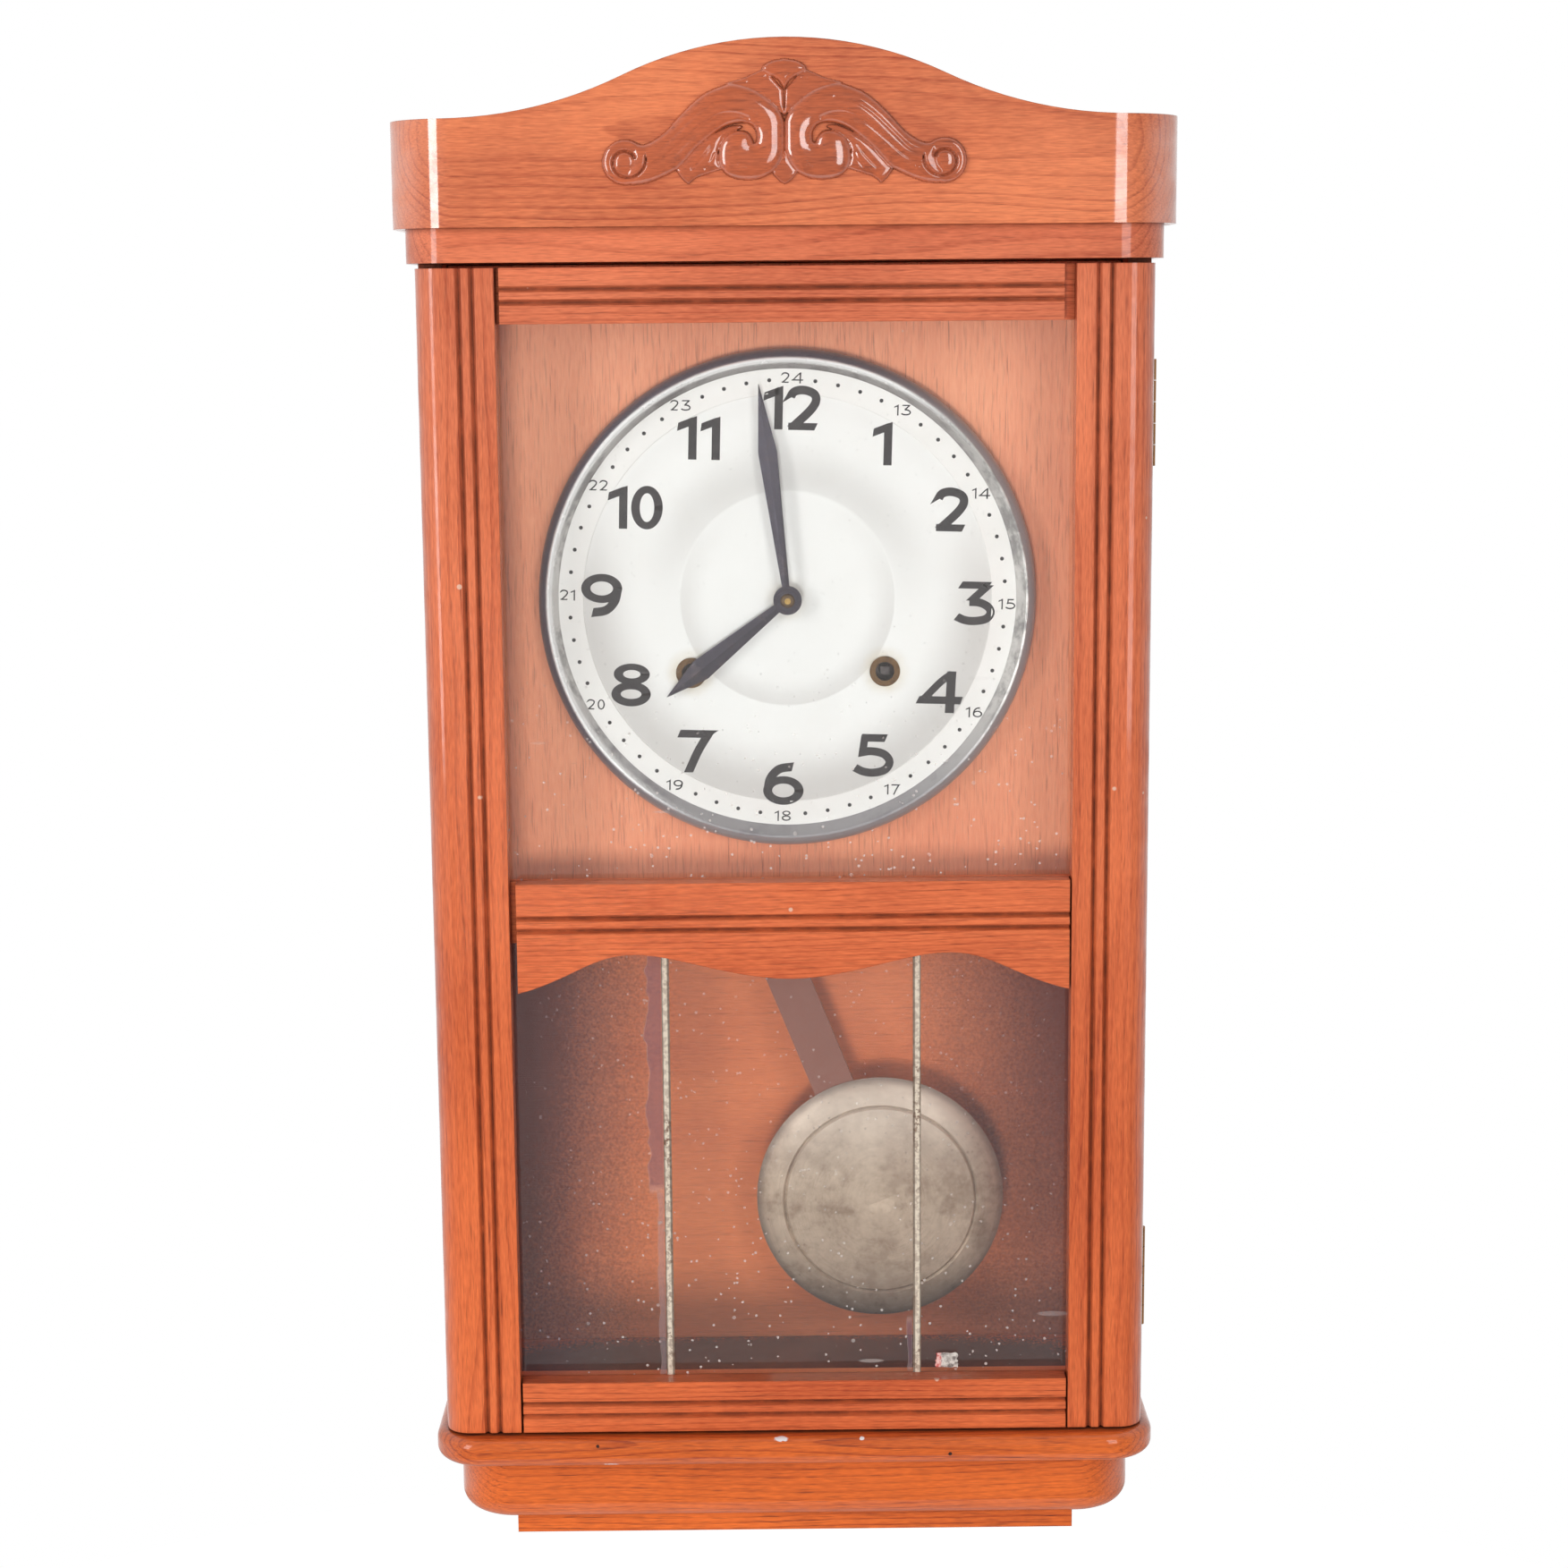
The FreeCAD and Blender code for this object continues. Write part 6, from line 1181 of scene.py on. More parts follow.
@dataclass
class WoodenCase:
    """Boards of the case and of the door, each with its own cut of wood."""

    along_x: tuple[str, ...] = ("top_board", "crown_board", "door_top_rail", "door_mid_rail",
                                "door_bottom_rail")
    along_z: tuple[str, ...] = ("side_left", "side_right", "door_stile_left", "door_stile_right")
    base: tuple[str, ...] = ("bottom_board", "base_block", "foot_strip")
    inner_x: tuple[str, ...] = ("back_panel", "seat_board")
    inner_z: tuple[str, ...] = ("case_cleats", "glass_beads")
    inside_depth: float = 0.03

    def marks(self) -> tuple[Mark, ...]:
        """Chips and nail holes of the shelf's front edge, and dust with painted shade on the case's floor.
        """
        low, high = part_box("bottom_board")
        chip, hole, dust = stain(236, 230, 232), stain(52, 26, 20), stain(72, 52, 56)
        inner = (low.y + self.inside_depth + high.y) / 2
        return (
            # Dust and painted shade on the floor inside the case.
            Mark((0.0, inner, high.z), (0.2, high.y - inner, 0.001), dust),
            Mark((-0.0060, low.y + 0.0022, high.z - 0.0005), (0.0032, 0.0020, 0.0012), chip),
            Mark((0.0294, low.y + 0.0020, high.z - 0.0006), (0.0011, 0.0012, 0.0009), chip),
            Mark((-0.0862, low.y + 0.0006, high.z - 0.0026), (0.0008, 0.001, 0.0008), hole),
            Mark((0.0680, low.y, high.z - 0.0074), (0.0009, 0.001, 0.0009), hole),
            Mark((-0.0800, low.y, high.z - 0.0113), (0.0070, 0.0016, 0.0006), chip),
        )

    def shaded(self) -> tuple[Mark, ...]:
        """Painted shadows of the door's stiles on the sides of the back panel."""
        low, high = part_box("back_panel")
        level, tall, dark = (low.z + high.z) / 2, high.z - low.z, stain(112, 50, 34)
        # Painted shadows of the door's stiles.
        return (
            Mark((low.x - 0.02, low.y, level), (0.115, 0.0045, tall), dark, 0.45),
            Mark((high.x + 0.03, low.y, level), (0.128, 0.0045, tall), dark, 0.38),
        )

    def crack(self) -> tuple[Mark, ...]:
        """Dark crack at the top of the base block."""
        low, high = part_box("base_block")
        return (Mark((-0.114, low.y, high.z - 0.0014), (0.016, 0.002, 0.0006), stain(58, 26, 18)),)

    def dress(self) -> None:
        """Give every board its wood; the pith lies elsewhere for each, so that no two look the same."""
        marked = {"bottom_board": self.marks(), "base_block": self.crack(), "back_panel": self.shaded()}
        for index, node in enumerate(self.along_x):
            wood = CROWN_WOOD if node == "crown_board" else CASE_WOOD
            dress(node, wood.material(node, Grain.ALONG_X, (0.05 + 0.03 * index, 0.19 - 0.015 * index)))
        for index, node in enumerate(self.along_z):
            pith = (0.06 * (-1) ** index, 0.24 + 0.02 * index)
            dress(node, CASE_WOOD.material(node, Grain.ALONG_Z, pith))
        for index, node in enumerate(self.base):
            marks = marked.get(node, ())
            dress(node, BASE_WOOD.material(node, Grain.ALONG_X, (-0.42 + 0.02 * index, 0.21), marks))
        dress("crown_sides", CROWN_WOOD.material("crown_sides", Grain.ALONG_Y, (0.05, 0.1)))
        dress("dial_board", BOARD_WOOD.material("dial_board", Grain.ALONG_Z, (0.3, 0.4)))
        for node in self.inner_x:
            marks = marked.get(node, ())
            dress(node, INNER_WOOD.material(node, Grain.ALONG_X, (0.36, 0.5), marks))
        for node in self.inner_z:
            dress(node, INNER_WOOD.material(node, Grain.ALONG_Z, (0.1, 0.5)))
        log.info("wooden case dressed")


# ---------------------------------------------------------------- carved crest


@dataclass
class Crest:
    """Carved ornament of the crown: scrolled arms, lobes, leaves, a bud, petals and a tip.

    Sizes are in millimetres from the middle of its lowest point. A part of the carving is an
    outline whose height runs up from its edge as a quarter ellipse. The carving is the highest
    of its parts at each place, less its grooves, each of which is a bell curve of the distance
    from a line. Both halves are the same, mirrored.
    """

    cell: float = 0.4
    half_width: float = 74.4
    height: float = 50.4
    volute: tuple[float, float] = (64.8, 9.4)
    volute_radius: float = 9.0
    eye_radius: float = 4.3
    rim_width: float = 2.4
    ring_foot: float = 0.6
    ring_rise: float = 1.7
    eye_foot: float = 1.7
    eye_rise: float = 1.3
    groove_bearing: float = 162.0
    groove_reach: float = 5.0
    groove_depth: float = 1.3
    groove_half: float = 0.6
    least: float = 0.15
    hidden: float = -0.3
    back: float = 1.0
    crease: float = 55.0

    def scroll_body(self) -> Array:
        """Outline of the arm from the volute to the middle, where it curls back into a round lobe."""
        upper = smooth_path([(61.5, 17.2), (56.2, 16.6), (48.9, 20.9), (41.4, 28.7), (33.5, 35.6),
                             (25.5, 39.2), (20.2, 40.1), (12.2, 37.7), (5.3, 32.9), (1.6, 28.7),
                             (-0.1, 25.0)], 70)
        lobe = smooth_path([(-0.1, 14.0), (1.2, 10.4), (4.8, 5.3), (10.6, 2.4), (17.5, 2.1), (22.8, 3.7),
                            (25.5, 6.4), (26.8, 10.1), (26.3, 15.4), (23.6, 19.6), (19.2, 21.6),
                            (15.2, 21.0), (13.0, 18.4), (12.4, 16.6)], 70)
        inner = smooth_path([(11.6, 17.2), (11.4, 20.4), (13.4, 23.6), (17.6, 24.6), (23.4, 23.4),
                             (28.6, 20.4), (35.0, 15.4), (41.4, 8.5), (44.1, 6.0)], 50)
        lower = smooth_path([(44.1, 6.0), (52.0, 2.4), (57.3, 0.8), (62.7, 0.4), (66.0, 2.0),
                             (61.5, 17.2)], 24)
        return np.vstack([upper, lobe, inner, lower])

    def leaf(self) -> Array:
        """Outline of the pointed leaf between lobe and arm."""
        low = smooth_path([(25.5, 6.4), (32.4, 4.2), (36.1, 2.9), (39.0, 0.3)], 14)
        tip = smooth_path([(39.0, 0.3), (41.9, 3.0), (44.1, 6.4)], 8)
        high = smooth_path([(44.1, 6.4), (41.4, 8.9), (35.0, 15.6), (28.1, 20.6), (21.0, 23.6),
                            (17.0, 23.2), (19.2, 21.6), (23.6, 19.6), (26.3, 15.4), (26.9, 11.0),
                            (25.5, 6.4)], 40)
        return np.vstack([low, tip, high])

    def whole(self, half: Array) -> Array:
        """Half outline joined with its mirror image."""
        return np.vstack([half, (half * (-1.0, 1.0))[::-1]])

    def bud(self) -> Array:
        """Outline of the bud on top."""
        half = smooth_path([(0.0, 37.6), (2.6, 41.4), (8.8, 45.4), (6.0, 48.6), (0.0, 49.9)], 30)
        return self.whole(half)

    def petal(self) -> Array:
        """Outline of the petal behind the arm's top."""
        return smooth_path([(0.4, 37.6), (3.6, 41.2), (8.0, 45.3), (12.6, 43.9), (17.0, 42.0),
                            (23.6, 40.2), (18.0, 38.4), (11.0, 35.8), (4.0, 31.0), (-0.2, 27.0)], 50)

    def tip(self) -> Array:
        """Outline of the small pointed drop at the bottom."""
        half = smooth_path([(0.0, 13.6), (2.0, 9.6), (4.9, 5.2), (2.7, 2.0), (0.0, 0.2)], 24)
        return self.whole(half)

    def domes(self) -> tuple:
        """Outline, foot, rise and width of the rounded edge of each part."""
        return (
            (self.petal(), 0.35, 0.95, 3.0),
            (self.scroll_body(), 0.5, 3.1, 9.4),
            (self.leaf(), 0.5, 1.35, 4.6),
            (self.bud(), 0.6, 2.0, 4.2),
            (self.tip(), 0.5, 1.0, 3.0),
        )

    def grooves(self) -> tuple:
        """Points, depth and half width of each carved line."""
        return (
            ([(57.0, 9.0), (52.6, 9.4), (47.2, 12.4), (39.8, 18.8), (32.4, 24.6), (25.0, 28.0),
              (19.0, 28.0), (14.6, 26.4)], 0.55, 0.8),
            ([(56.0, 12.6), (50.4, 14.4), (43.4, 21.0), (35.4, 28.4), (27.6, 33.2), (20.6, 34.6)],
             0.3, 0.8),
            ([(37.4, 6.6), (32.6, 11.6), (29.6, 15.6)], 0.5, 0.6),
            ([(32.0, 6.6), (29.6, 9.6), (28.4, 12.4)], 0.3, 0.5),
            ([(7.2, 42.4), (10.0, 41.0), (14.6, 40.8)], 0.35, 0.5),
        )

    def scroll(self, places: Array) -> tuple[Array, Array]:
        """Height of the volute, a rounded ring round a domed eye, and depth of its spiral groove."""
        away = places - np.array(self.volute)
        reach = np.sqrt((away ** 2).sum(1))
        heading = np.arctan2(away[:, 1], away[:, 0])
        rim = np.clip((self.volute_radius - reach) / self.rim_width, 0, 1)
        ring = self.ring_foot + self.ring_rise * np.sqrt(1 - (1 - rim) ** 2)
        dome = np.sqrt(np.clip(1 - (reach / self.eye_radius) ** 2, 0, 1))
        eye = self.eye_foot + self.eye_rise * dome
        # the groove starts at the rim, where the arm's upper edge meets it, and closes in round the eye
        turned = np.mod(heading - math.radians(self.groove_bearing), TURN) / TURN
        line = self.eye_radius + self.groove_reach * (1 - turned) ** 3
        groove = self.groove_depth * np.exp(-((reach - line) / self.groove_half) ** 2)
        height = np.where(reach < self.eye_radius, np.maximum(ring, eye), ring)
        inside = reach < self.volute_radius
        return np.where(inside, height, self.hidden), np.where(inside, groove, 0.0)

    def heights(self, places: Array) -> Array:
        """Height of the carving above the crown's face at each place."""
        height, cut = self.scroll(places)
        for outline, foot, rise, width in self.domes():
            depth = depth_inside(outline, places)
            share = np.clip(depth / width, 0, 1)
            part = foot + rise * np.sqrt(1 - (1 - share) ** 2)
            height = np.maximum(height, np.where(depth > 0, part, self.hidden))
        beside = np.sqrt(((places - np.array(self.volute)) ** 2).sum(1)) > self.volute_radius
        for points, depth, half in self.grooves():
            line = distance_to(smooth_path(points, 40), places)
            cut = np.maximum(cut, np.where(beside, depth * np.exp(-((line / half) ** 2)), 0.0))
        return np.where(height < 0, height, np.maximum(height - cut, self.least))

    def build(self) -> None:
        """Carve the piece on a grid, keep what stands out, and close it behind."""
        columns = int(2 * self.half_width / self.cell) + 1
        rows = int(self.height / self.cell) + 2
        x = np.linspace(-self.half_width, self.half_width, columns)
        z = np.linspace(-self.cell, self.height, rows)
        wide, tall = np.meshgrid(x, z)
        half = np.column_stack([np.abs(wide).ravel(), tall.ravel()])
        height = self.heights(half).reshape(rows, columns)
        corners = np.stack([height[:-1, :-1], height[1:, :-1], height[1:, 1:], height[:-1, 1:]])
        keep = corners.max(0) > 0
        box_low, box_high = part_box("crest_carving")
        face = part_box("crown_board")[0].y
        centre = (box_low.x + box_high.x) / 2
        front = np.stack([centre + wide * MM, face - height * MM, box_low.z + tall * MM], axis=-1)
        front = front.reshape(-1, 3)
        behind = front.copy()
        behind[:, 1] = face + self.back * MM
        faces = grid_faces(rows, columns)[keep.ravel()]
        index = np.arange(rows * columns).reshape(rows, columns)
        padded = np.pad(keep, 1)
        walls = []
        for row_step, column_step, first, second in (
            (0, 1, index[:-1, 1:], index[1:, 1:]),
            (0, -1, index[1:, :-1], index[:-1, :-1]),
            (1, 0, index[1:, 1:], index[1:, :-1]),
            (-1, 0, index[:-1, :-1], index[:-1, 1:]),
        ):
            beside = padded[1 + row_step:rows + row_step, 1 + column_step:columns + column_step]
            edge = keep & ~beside
            a, b = first[edge], second[edge]
            walls.append(np.stack([a, b, b + len(front), a + len(front)], axis=-1))
        every = np.vstack([faces, faces[:, ::-1] + len(front)] + walls)
        used, renumbered = np.unique(every, return_inverse=True)
        piece = Piece("crest_relief")
        piece.add(np.vstack([front, behind])[used], renumbered.reshape(-1, 4))
        wood = CREST_WOOD.material("crest", Grain.ALONG_X, (0.05, 0.19))
        item = piece.finish("case", "case_wood", wood, self.crease)
        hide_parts("crest_carving")


# ---------------------------------------------------------------- dial and hands


BENT_POINTS = 26
STRAIGHT_POINTS = 12
RING_POINTS = 33


@dataclass(frozen=True)
class Stroke:
    """One stroke of a figure, in shares of the figure's height.

    Attributes:
        points: its middle line.
        width: its width.
        cut: directions that its two ends are cut along, or None for a square end.
        bent: whether the middle line is a curve through the points.
    """

    points: tuple
    width: float
    cut: tuple = (None, None)
    bent: bool = True

    def edges(self, weight: float) -> tuple[Array, Array]:
        """Left and right edge.

        An edge is the middle line moved sideways by half of the width.

        Args:
            weight: share of the width that is drawn.

        Returns:
            The points of both edges.
        """
        line = smooth_path(self.points, BENT_POINTS if self.bent else STRAIGHT_POINTS)
        along = np.gradient(line, axis=0)
        along /= np.linalg.norm(along, axis=1)[:, None]
        side = np.column_stack([-along[:, 1], along[:, 0]])
        half = self.width * weight / 2
        for end, direction in zip((0, -1), self.cut):
            if direction is not None:
                cut = np.array(direction, float) / np.linalg.norm(direction)
                slant = cut @ side[end]
                side[end] = cut / slant
        return line + side * half, line - side * half


@dataclass(frozen=True)
class Ring:
    """Closed ring of a figure: an ellipse with its own thickness at the sides and at the top."""

    centre: tuple[float, float]
    half: tuple[float, float]
    width: tuple[float, float]

    def edges(self, weight: float) -> tuple[Array, Array]:
        """Outer and inner ellipse, from the middle of the ring outwards and inwards."""
        angle = np.linspace(0, TURN, RING_POINTS)
        turn = np.column_stack([np.cos(angle), np.sin(angle)])
        centre = np.array(self.centre)
        middle_half = np.array(self.half) - np.array(self.width) / 2
        thick = np.array(self.width) * weight / 2
        return centre + turn * (middle_half + thick), centre + turn * (middle_half - thick)


LEVEL = (1.0, 0.0)
FIGURES = {
    "0": (0.72, (Ring((0.36, 0.5), (0.36, 0.5), (0.185, 0.16)),)),
    "1": (0.44, (Stroke(((0.35, 0.0), (0.35, 0.965)), 0.18, (None, (0.39, 0.147)), False),
                 Stroke(((0.015, 0.75), (0.35, 0.884)), 0.155, ((0.05, 0.2), (0.0, 1.0)), False))),
    "2": (0.76, (Stroke(((0.06, 0.72), (0.16, 0.87), (0.38, 0.915), (0.62, 0.83), (0.665, 0.66),
                         (0.53, 0.44), (0.15, 0.07)), 0.185, ((0.8, 0.5), LEVEL)),
                 Stroke(((0.04, 0.0775), (0.68, 0.0775)), 0.155, (None, (0.07, 0.155)), False))),
    "3": (0.93, (Stroke(((0.11, 0.9225), (0.79, 0.9225)), 0.155, ((0.1, 0.155), (0.1, 0.155)), False),
                 Stroke(((0.76, 0.93), (0.38, 0.56)), 0.17, (LEVEL, LEVEL), False),
                 Stroke(((0.33, 0.53), (0.56, 0.52), (0.76, 0.43), (0.835, 0.29), (0.73, 0.14),
                         (0.47, 0.085), (0.24, 0.1), (0.04, 0.18)), 0.18, (None, (0.11, 0.14))))),
    "4": (1.06, (Stroke(((0.755, 0.0), (0.785, 0.985)), 0.2, (LEVEL, LEVEL), False),
                 Stroke(((0.79, 0.93), (0.52, 0.72), (0.1, 0.27)), 0.16, (None, LEVEL)),
                 Stroke(((0.0, 0.3), (1.03, 0.3)), 0.167, ((0.08, 0.167), (0.05, 0.167)), False))),
    "5": (0.96, (Stroke(((0.2, 0.915), (0.77, 0.915)), 0.17, ((0.0, 1.0), (0.07, 0.17)), False),
                 Stroke(((0.215, 0.52), (0.275, 0.98)), 0.165, (LEVEL, LEVEL), False),
                 Stroke(((0.14, 0.555), (0.42, 0.6), (0.72, 0.54), (0.865, 0.36), (0.76, 0.17), (0.5, 0.09),
                         (0.26, 0.11), (0.05, 0.2)), 0.18, ((0.05, 0.2), (0.1, 0.15))))),
    "6": (0.94, (Ring((0.47, 0.335), (0.47, 0.335), (0.2, 0.165)),
                 Stroke(((0.1, 0.33), (0.16, 0.62), (0.36, 0.84), (0.68, 0.905)), 0.19,
                        (None, (0.05, 0.19))))),
    "7": (0.84, (Stroke(((0.035, 0.915), (0.78, 0.915)), 0.17, ((0.07, 0.17), (0.1, 0.05)), False),
                 Stroke(((0.735, 0.93), (0.5, 0.52), (0.275, 0.0)), 0.185, (LEVEL, LEVEL)))),
    "8": (0.91, (Ring((0.465, 0.755), (0.415, 0.245), (0.205, 0.14)),
                 Ring((0.455, 0.285), (0.455, 0.285), (0.205, 0.165)))),
    "9": (0.94, (Ring((0.47, 0.665), (0.47, 0.335), (0.2, 0.165)),
                 Stroke(((0.84, 0.67), (0.78, 0.38), (0.58, 0.16), (0.26, 0.095)), 0.19,
                        (None, (0.05, 0.19))))),
}


@dataclass
class Dial:
    """Silvered dial: painted figures, minute dots, and the finish of plate, bezel and hands."""

    track_radius: float = 0.088
    disc_radius: float = 0.046
    step: float = 0.00025
    dish: float = 0.002
    turned: float = math.radians(-1.7)
    figure_height: float = 0.0185
    small_height: float = 0.0047
    small_radius: float = 0.0948
    weight: float = 1.07
    small_weight: float = 0.7
    gap: float = 0.1
    small_gap: float = 0.2
    ledge: float = 0.0016
    dot_radius: float = 0.094
    dot_size: float = 0.00085
    paint: float = 0.00006
    sunk: float = 0.0005
    radii: tuple[float, ...] = (0.0782, 0.0802, 0.0810, 0.0776, 0.0778, 0.0806,
                                0.0776, 0.0773, 0.0802, 0.0764, 0.0790, 0.0820)

    def __post_init__(self) -> None:
        """Take the dial's centre and face from the CAD plate."""
        self.centre = middle("dial_plate")
        self.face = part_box("dial_plate")[0].y

    def wall(self, radius: Array) -> Array:
        """Y of the surface that is painted on at a radius.

        The track is level with the face. Inside it the hollow starts a step behind the face as
        an arc that is level there, and the middle is flat. Paint near the edge of the track
        counts as lying on the track.

        Args:
            radius: distances from the dial's centre.

        Returns:
            Y at each of them.
        """
        reach = self.track_radius - self.disc_radius
        drop = self.dish - self.step
        curve = (reach ** 2 + drop ** 2) / (2 * drop)
        away = np.clip(self.track_radius - radius, 0, reach)
        hollow = self.face + self.step + curve - np.sqrt(curve ** 2 - away ** 2)
        return np.where(radius > self.track_radius - self.ledge, self.face, hollow)

    def lay(self, piece: Piece, left: Array, right: Array) -> None:
        """Add one stroke as a thin closed strip on the dial.

        Args:
            piece: where it goes.
            left: one edge, from the dial's centre.
            right: the other edge.
        """
        rows = []
        for edge in (left, right):
            front = self.wall(np.linalg.norm(edge, axis=1)) - self.paint
            rows.append(np.column_stack([edge[:, 0] + self.centre[0], front, edge[:, 1] + self.centre[1]]))
        shift = np.array([0.0, self.sunk, 0.0])
        strip = np.stack([rows[0], rows[1], rows[1] + shift, rows[0] + shift], axis=1)
        count = len(left)
        faces = grid_faces(count, 4, wrap_columns=True)
        last = (count - 1) * 4
        ends = np.array([[0, 1, 2, 3], [last + 3, last + 2, last + 1, last]])
        piece.add(strip, np.vstack([faces, ends]))

    def number(self, piece: Piece, text: str, bearing: float, radius: float, height: float,
               weight: float) -> None:
        """Add an upright number round the dial.

        Args:
            piece: where it goes.
            text: its figures.
            bearing: degrees clockwise from twelve.
            radius: distance of its middle from the dial's centre.
            height: height of its figures.
            weight: share of the full width of the strokes.
        """
        gap = self.gap if weight > 1.0 else self.small_gap
        widths = [FIGURES[figure][0] for figure in text]
        start = -(sum(widths) + gap * (len(text) - 1)) / 2
        angle = math.radians(bearing)
        place = np.array([math.sin(angle), math.cos(angle)]) * radius
        cos, sin = math.cos(self.turned), math.sin(self.turned)
        spin = np.array([[cos, -sin], [sin, cos]])
        for figure, width in zip(text, widths):
            for stroke in FIGURES[figure][1]:
                moved = [(edge + (start, -0.5)) * height + place for edge in stroke.edges(weight)]
                self.lay(piece, moved[0] @ spin.T, moved[1] @ spin.T)
            start += width + gap

    def dots(self, piece: Piece) -> None:
        """Add the minute dots: each is a short round stub, flat in front."""
        minutes = np.array([minute for minute in range(60) if minute % 5])
        angle = np.radians(minutes * 6.0) - self.turned
        middle_x = self.centre[0] + self.dot_radius * np.sin(angle)
        middle_z = self.centre[1] + self.dot_radius * np.cos(angle)
        turn = np.linspace(0, TURN, 16, endpoint=False)
        size = np.array([0.0, self.dot_size, self.dot_size, 0.0])
        depth = np.array([-self.paint, -self.paint, self.sunk, self.sunk]) + self.face
        for x, z in zip(middle_x, middle_z):
            level = np.repeat(depth[:, None], len(turn), axis=1)
            points = np.stack([x + np.outer(size, np.cos(turn)), level, z + np.outer(size, np.sin(turn))],
                              axis=-1)
            piece.add(points, grid_faces(4, len(turn), wrap_columns=True))

    def build(self) -> None:
        """Paint the dial and dress the plate, the bezel and the hands."""
        paint = DIAL_PAINT.material()
        large = Piece("dial_figures")
        small = Piece("dial_small_figures")
        for hour, radius in enumerate(self.radii, 1):
            bearing = hour * 30.0
            self.number(large, str(hour), bearing, radius, self.figure_height, self.weight)
            self.number(small, str(hour + 12), bearing, self.small_radius, self.small_height,
                        self.small_weight)
        self.dots(small)
        large.finish("case", "blued_steel", paint)
        small.finish("case", "blued_steel", paint)
        dress("dial_plate", Silvering(self.centre).material())
        dress("bezel_ring", BezelMetal(self.centre).material())
        hands = HAND_STEEL.material()
        for node in ("minute_hand", "hour_hand"):
            dress(node, hands)
        log.info("dial painted")


# ---------------------------------------------------------------- panes


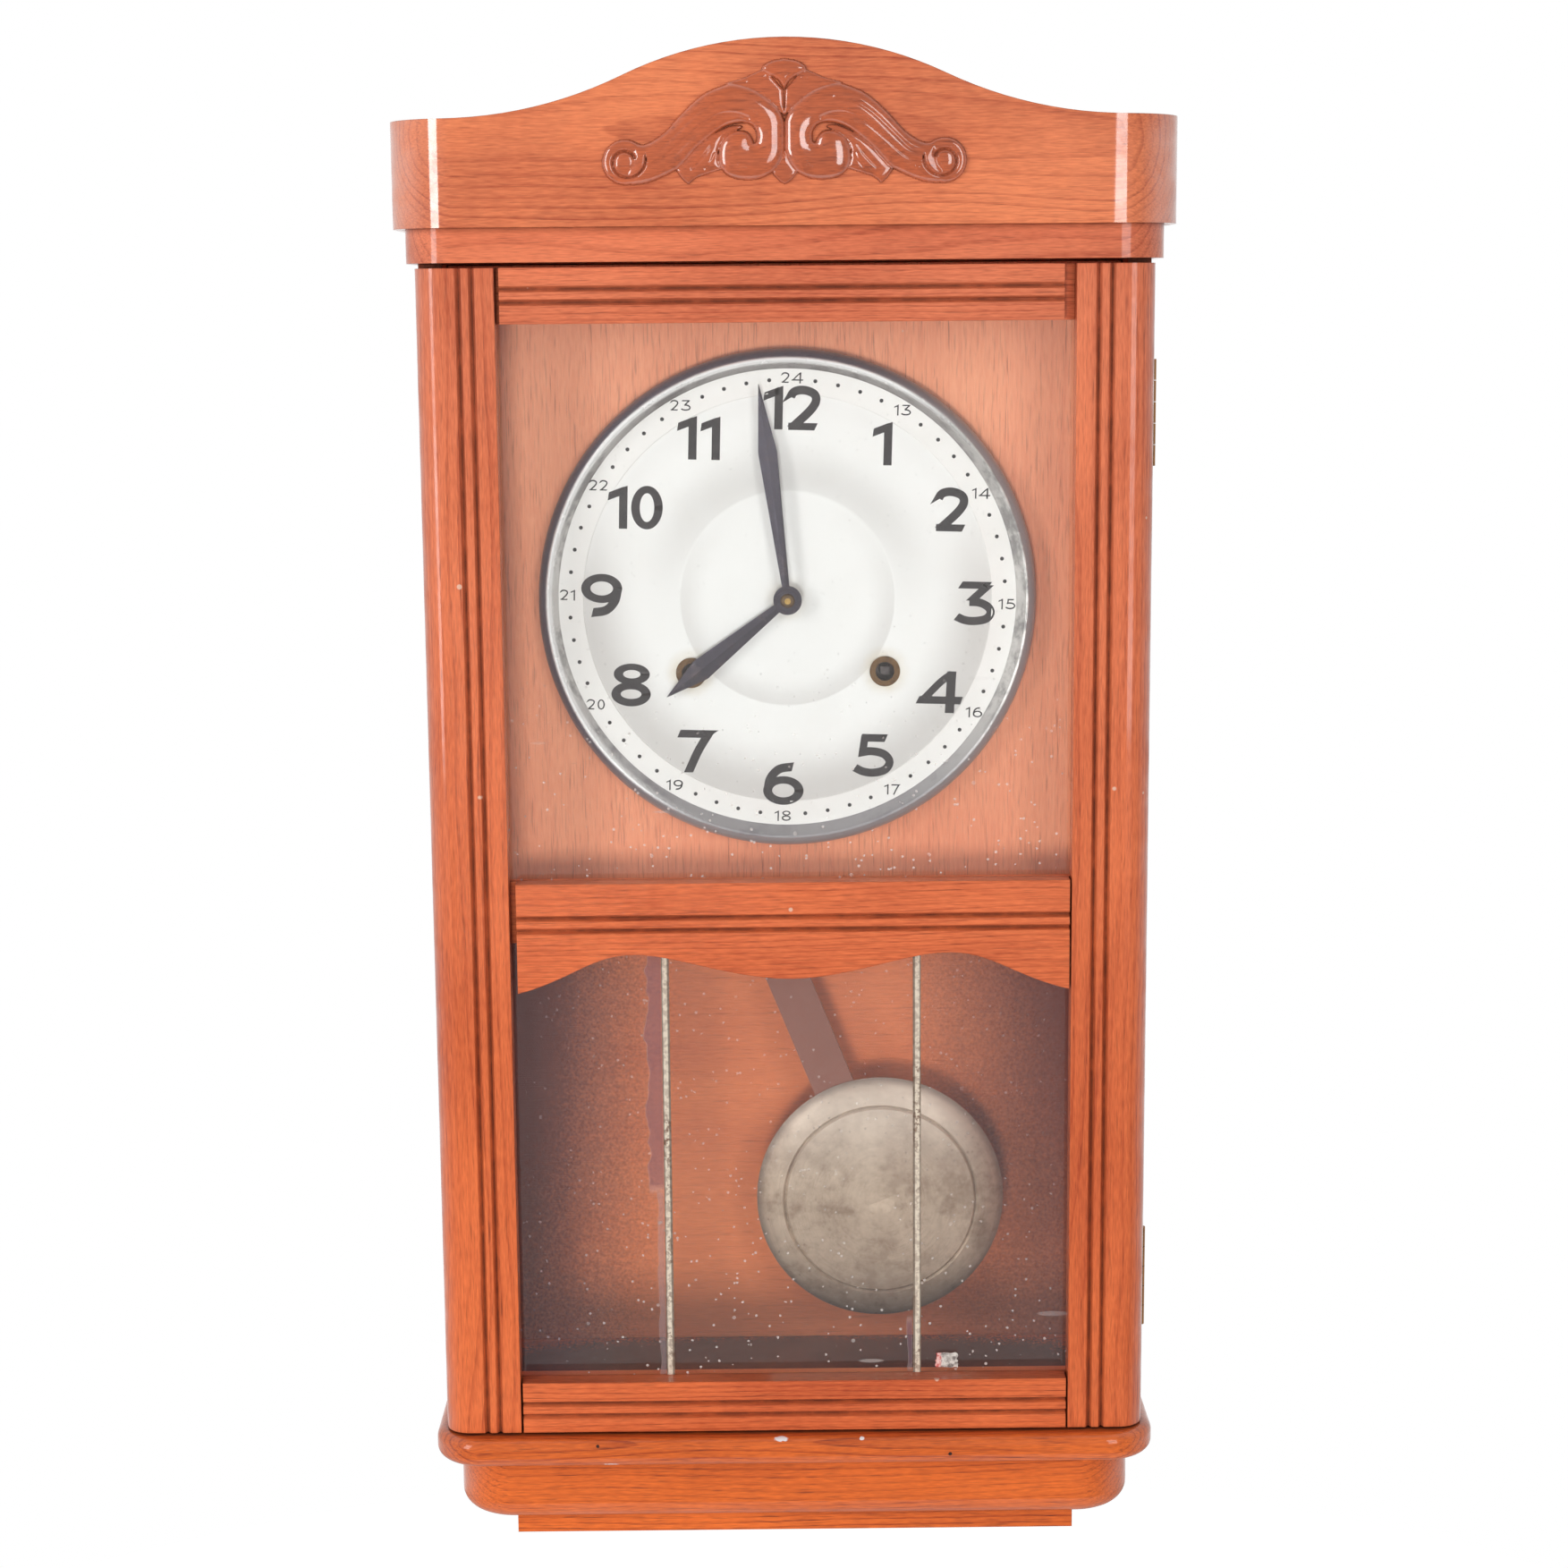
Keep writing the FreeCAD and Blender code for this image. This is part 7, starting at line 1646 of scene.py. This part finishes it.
@dataclass
class Panes:
    """Glass of the door, the dust on it, the two metal strips and a scrap of an old label.

    Attributes:
        off_glass: gap between a pane and its dust film.
        film: thickness of the dust film.
        strip_half: half the width of a metal strip.
        haze: strength of the film on the upper and on the lower pane.
        label_from_strip: distance of the label's middle from the right strip's edge.
        label_above: distance of the label's middle from the rail below it.
        label_half: half width and half height of the label.
        label_points: points round the label's outline.
        label_torn: share by which the outline wanders.
        label_seed: seed of that wandering.
        label_depths: Y of the label's four rings of points, from the pane.
    """

    off_glass: float = 0.00006
    film: float = 0.00002
    strip_half: float = 0.0015
    haze: tuple[float, float] = (0.04, 0.035)
    label_from_strip: float = 0.0115
    label_above: float = 0.0052
    label_half: tuple[float, float] = (0.0052, 0.0036)
    label_points: int = 40
    label_torn: float = 0.16
    label_seed: int = 7
    label_depths: tuple[float, ...] = (-0.00014, -0.00008, -0.00002, -0.00002)

    def slab(self, name: str, low: tuple[float, float], high: tuple[float, float], front: float,
             thick: float) -> Piece:
        """Thin closed sheet in front of a pane.

        Args:
            name: name of the piece.
            low: lowest X and Z.
            high: highest X and Z.
            front: Y of its front.
            thick: its thickness.

        Returns:
            The piece, not finished yet.
        """
        piece = Piece(name)
        corners = np.array([(low[0], low[1]), (high[0], low[1]), (high[0], high[1]), (low[0], high[1])])
        near = np.column_stack([corners[:, 0], np.full(4, front), corners[:, 1]])
        far = near + (0.0, thick, 0.0)
        sides = [[i, (i + 1) % 4, (i + 1) % 4 + 4, i + 4] for i in range(4)]
        piece.add(np.vstack([near, far]), np.array([[3, 2, 1, 0], [4, 5, 6, 7]] + sides))
        return piece

    def scrap(self) -> None:
        """Torn scrap of a label: a closed sheet whose outline wanders, with no print on it."""
        strip_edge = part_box("glass_strips")[1].x
        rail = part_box("door_bottom_rail")[1].z
        rng = np.random.default_rng(self.label_seed)
        turn = np.linspace(0, TURN, self.label_points, endpoint=False)
        wide, tall = self.label_half
        square = 1.0 / np.maximum(np.abs(np.cos(turn)), np.abs(np.sin(turn)))
        ragged = square * (1.0 - self.label_torn * rng.random(self.label_points))
        x = strip_edge + self.label_from_strip + wide * ragged * np.cos(turn)
        z = rail + self.label_above + tall * ragged * np.sin(turn)
        share = np.array([0.0, 1.0, 1.0, 0.0])
        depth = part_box("glass_lower")[0].y + np.array(self.label_depths)
        level = np.repeat(depth[:, None], self.label_points, axis=1)
        centre_x, centre_z = float(x.mean()), float(z.mean())
        points = np.stack([centre_x + np.outer(share, x - centre_x), level,
                           centre_z + np.outer(share, z - centre_z)], axis=-1)
        piece = Piece("label_scrap")
        piece.add(points, grid_faces(len(share), self.label_points, wrap_columns=True))
        piece.finish("door", "clear_glass", LabelPaper((centre_x, centre_z)).material())

    def build(self) -> None:
        """Dress the panes and the strips and lay the dust film in front of each pane."""
        glass = Glass().material()
        strip_low, strip_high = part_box("glass_strips")
        bands = (strip_low.x, strip_high.x)
        for node, beside, haze in (("glass_upper", (), self.haze[0]), ("glass_lower", bands, self.haze[1])):
            dress(node, glass)
            low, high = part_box(node)
            front = low.y - self.off_glass - self.film
            piece = self.slab(node + "_dust", (low.x, low.z), (high.x, high.z), front, self.film)
            film = PaneDust(node + "_dust", beside, (low.z, high.z), haze)
            piece.finish("door", "clear_glass", film.material())
        dress("glass_strips", StripMetal(strip_high.x - self.strip_half).material())
        self.scrap()
        log.info("panes dressed")


# ---------------------------------------------------------------- pendulum


@dataclass
class Pendulum:
    """Finish of the stick and of the bob."""

    bob: str = "pendulum_bob"
    stick: str = "pendulum_rod"

    def dress(self) -> None:
        """Give the bob its spun metal and the stick its dull lacquer."""
        dress(self.bob, BobMetal(middle(self.bob)).material())
        dress(self.stick, STICK.material())
        log.info("pendulum dressed")


# ---------------------------------------------------------------- the movement


@dataclass
class Movement:
    """Brass and steel parts of the movement, the hinges and the catch."""

    brass: tuple[str, ...] = ("front_plate", "back_plate", "second_wheel", "third_wheel", "escape_wheel",
                              "centre_arbor", "motion_wheel", "hour_wheel", "cannon_pinion", "time_barrel",
                              "strike_barrel", "strike_second_wheel", "warning_wheel", "fly")
    fittings: tuple[str, ...] = ("hinge_case_leaves", "hinge_door_leaves", "catch_stud", "catch_spring")
    eyelets: tuple[str, ...] = ("winding_eyelets",)
    nut: tuple[str, ...] = ("hand_nut",)
    winding: tuple[str, ...] = ("time_winding_arbor", "strike_winding_arbor")
    steel: tuple[str, ...] = ("hanger_plate", "anchor", "suspension_cock", "time_click", "strike_click",
                              "hammer", "gong_rods", "pendulum_leader", "rating_nut")
    iron: tuple[str, ...] = ("gong_block",)

    def dress(self) -> None:
        """Give the metal parts their finish."""
        for finish, nodes in (
            (BRASS, self.brass),
            (HINGE_BRASS, self.fittings),
            (EYELET_BRASS, self.eyelets),
            (NUT_BRASS, self.nut),
            (WINDING_STEEL, self.winding),
            (STEEL, self.steel),
            (IRON, self.iron),
        ):
            material = finish.material()
            for node in nodes:
                dress(node, material)
        log.info("movement dressed")


def main() -> None:
    """Build the surroundings and every part of the clock."""
    logging.basicConfig(level=logging.INFO)
    Studio().build()
    WoodenCase().dress()
    Crest().build()
    Dial().build()
    Panes().build()
    Pendulum().dress()
    Movement().dress()


if __name__ == "__main__":
    main()
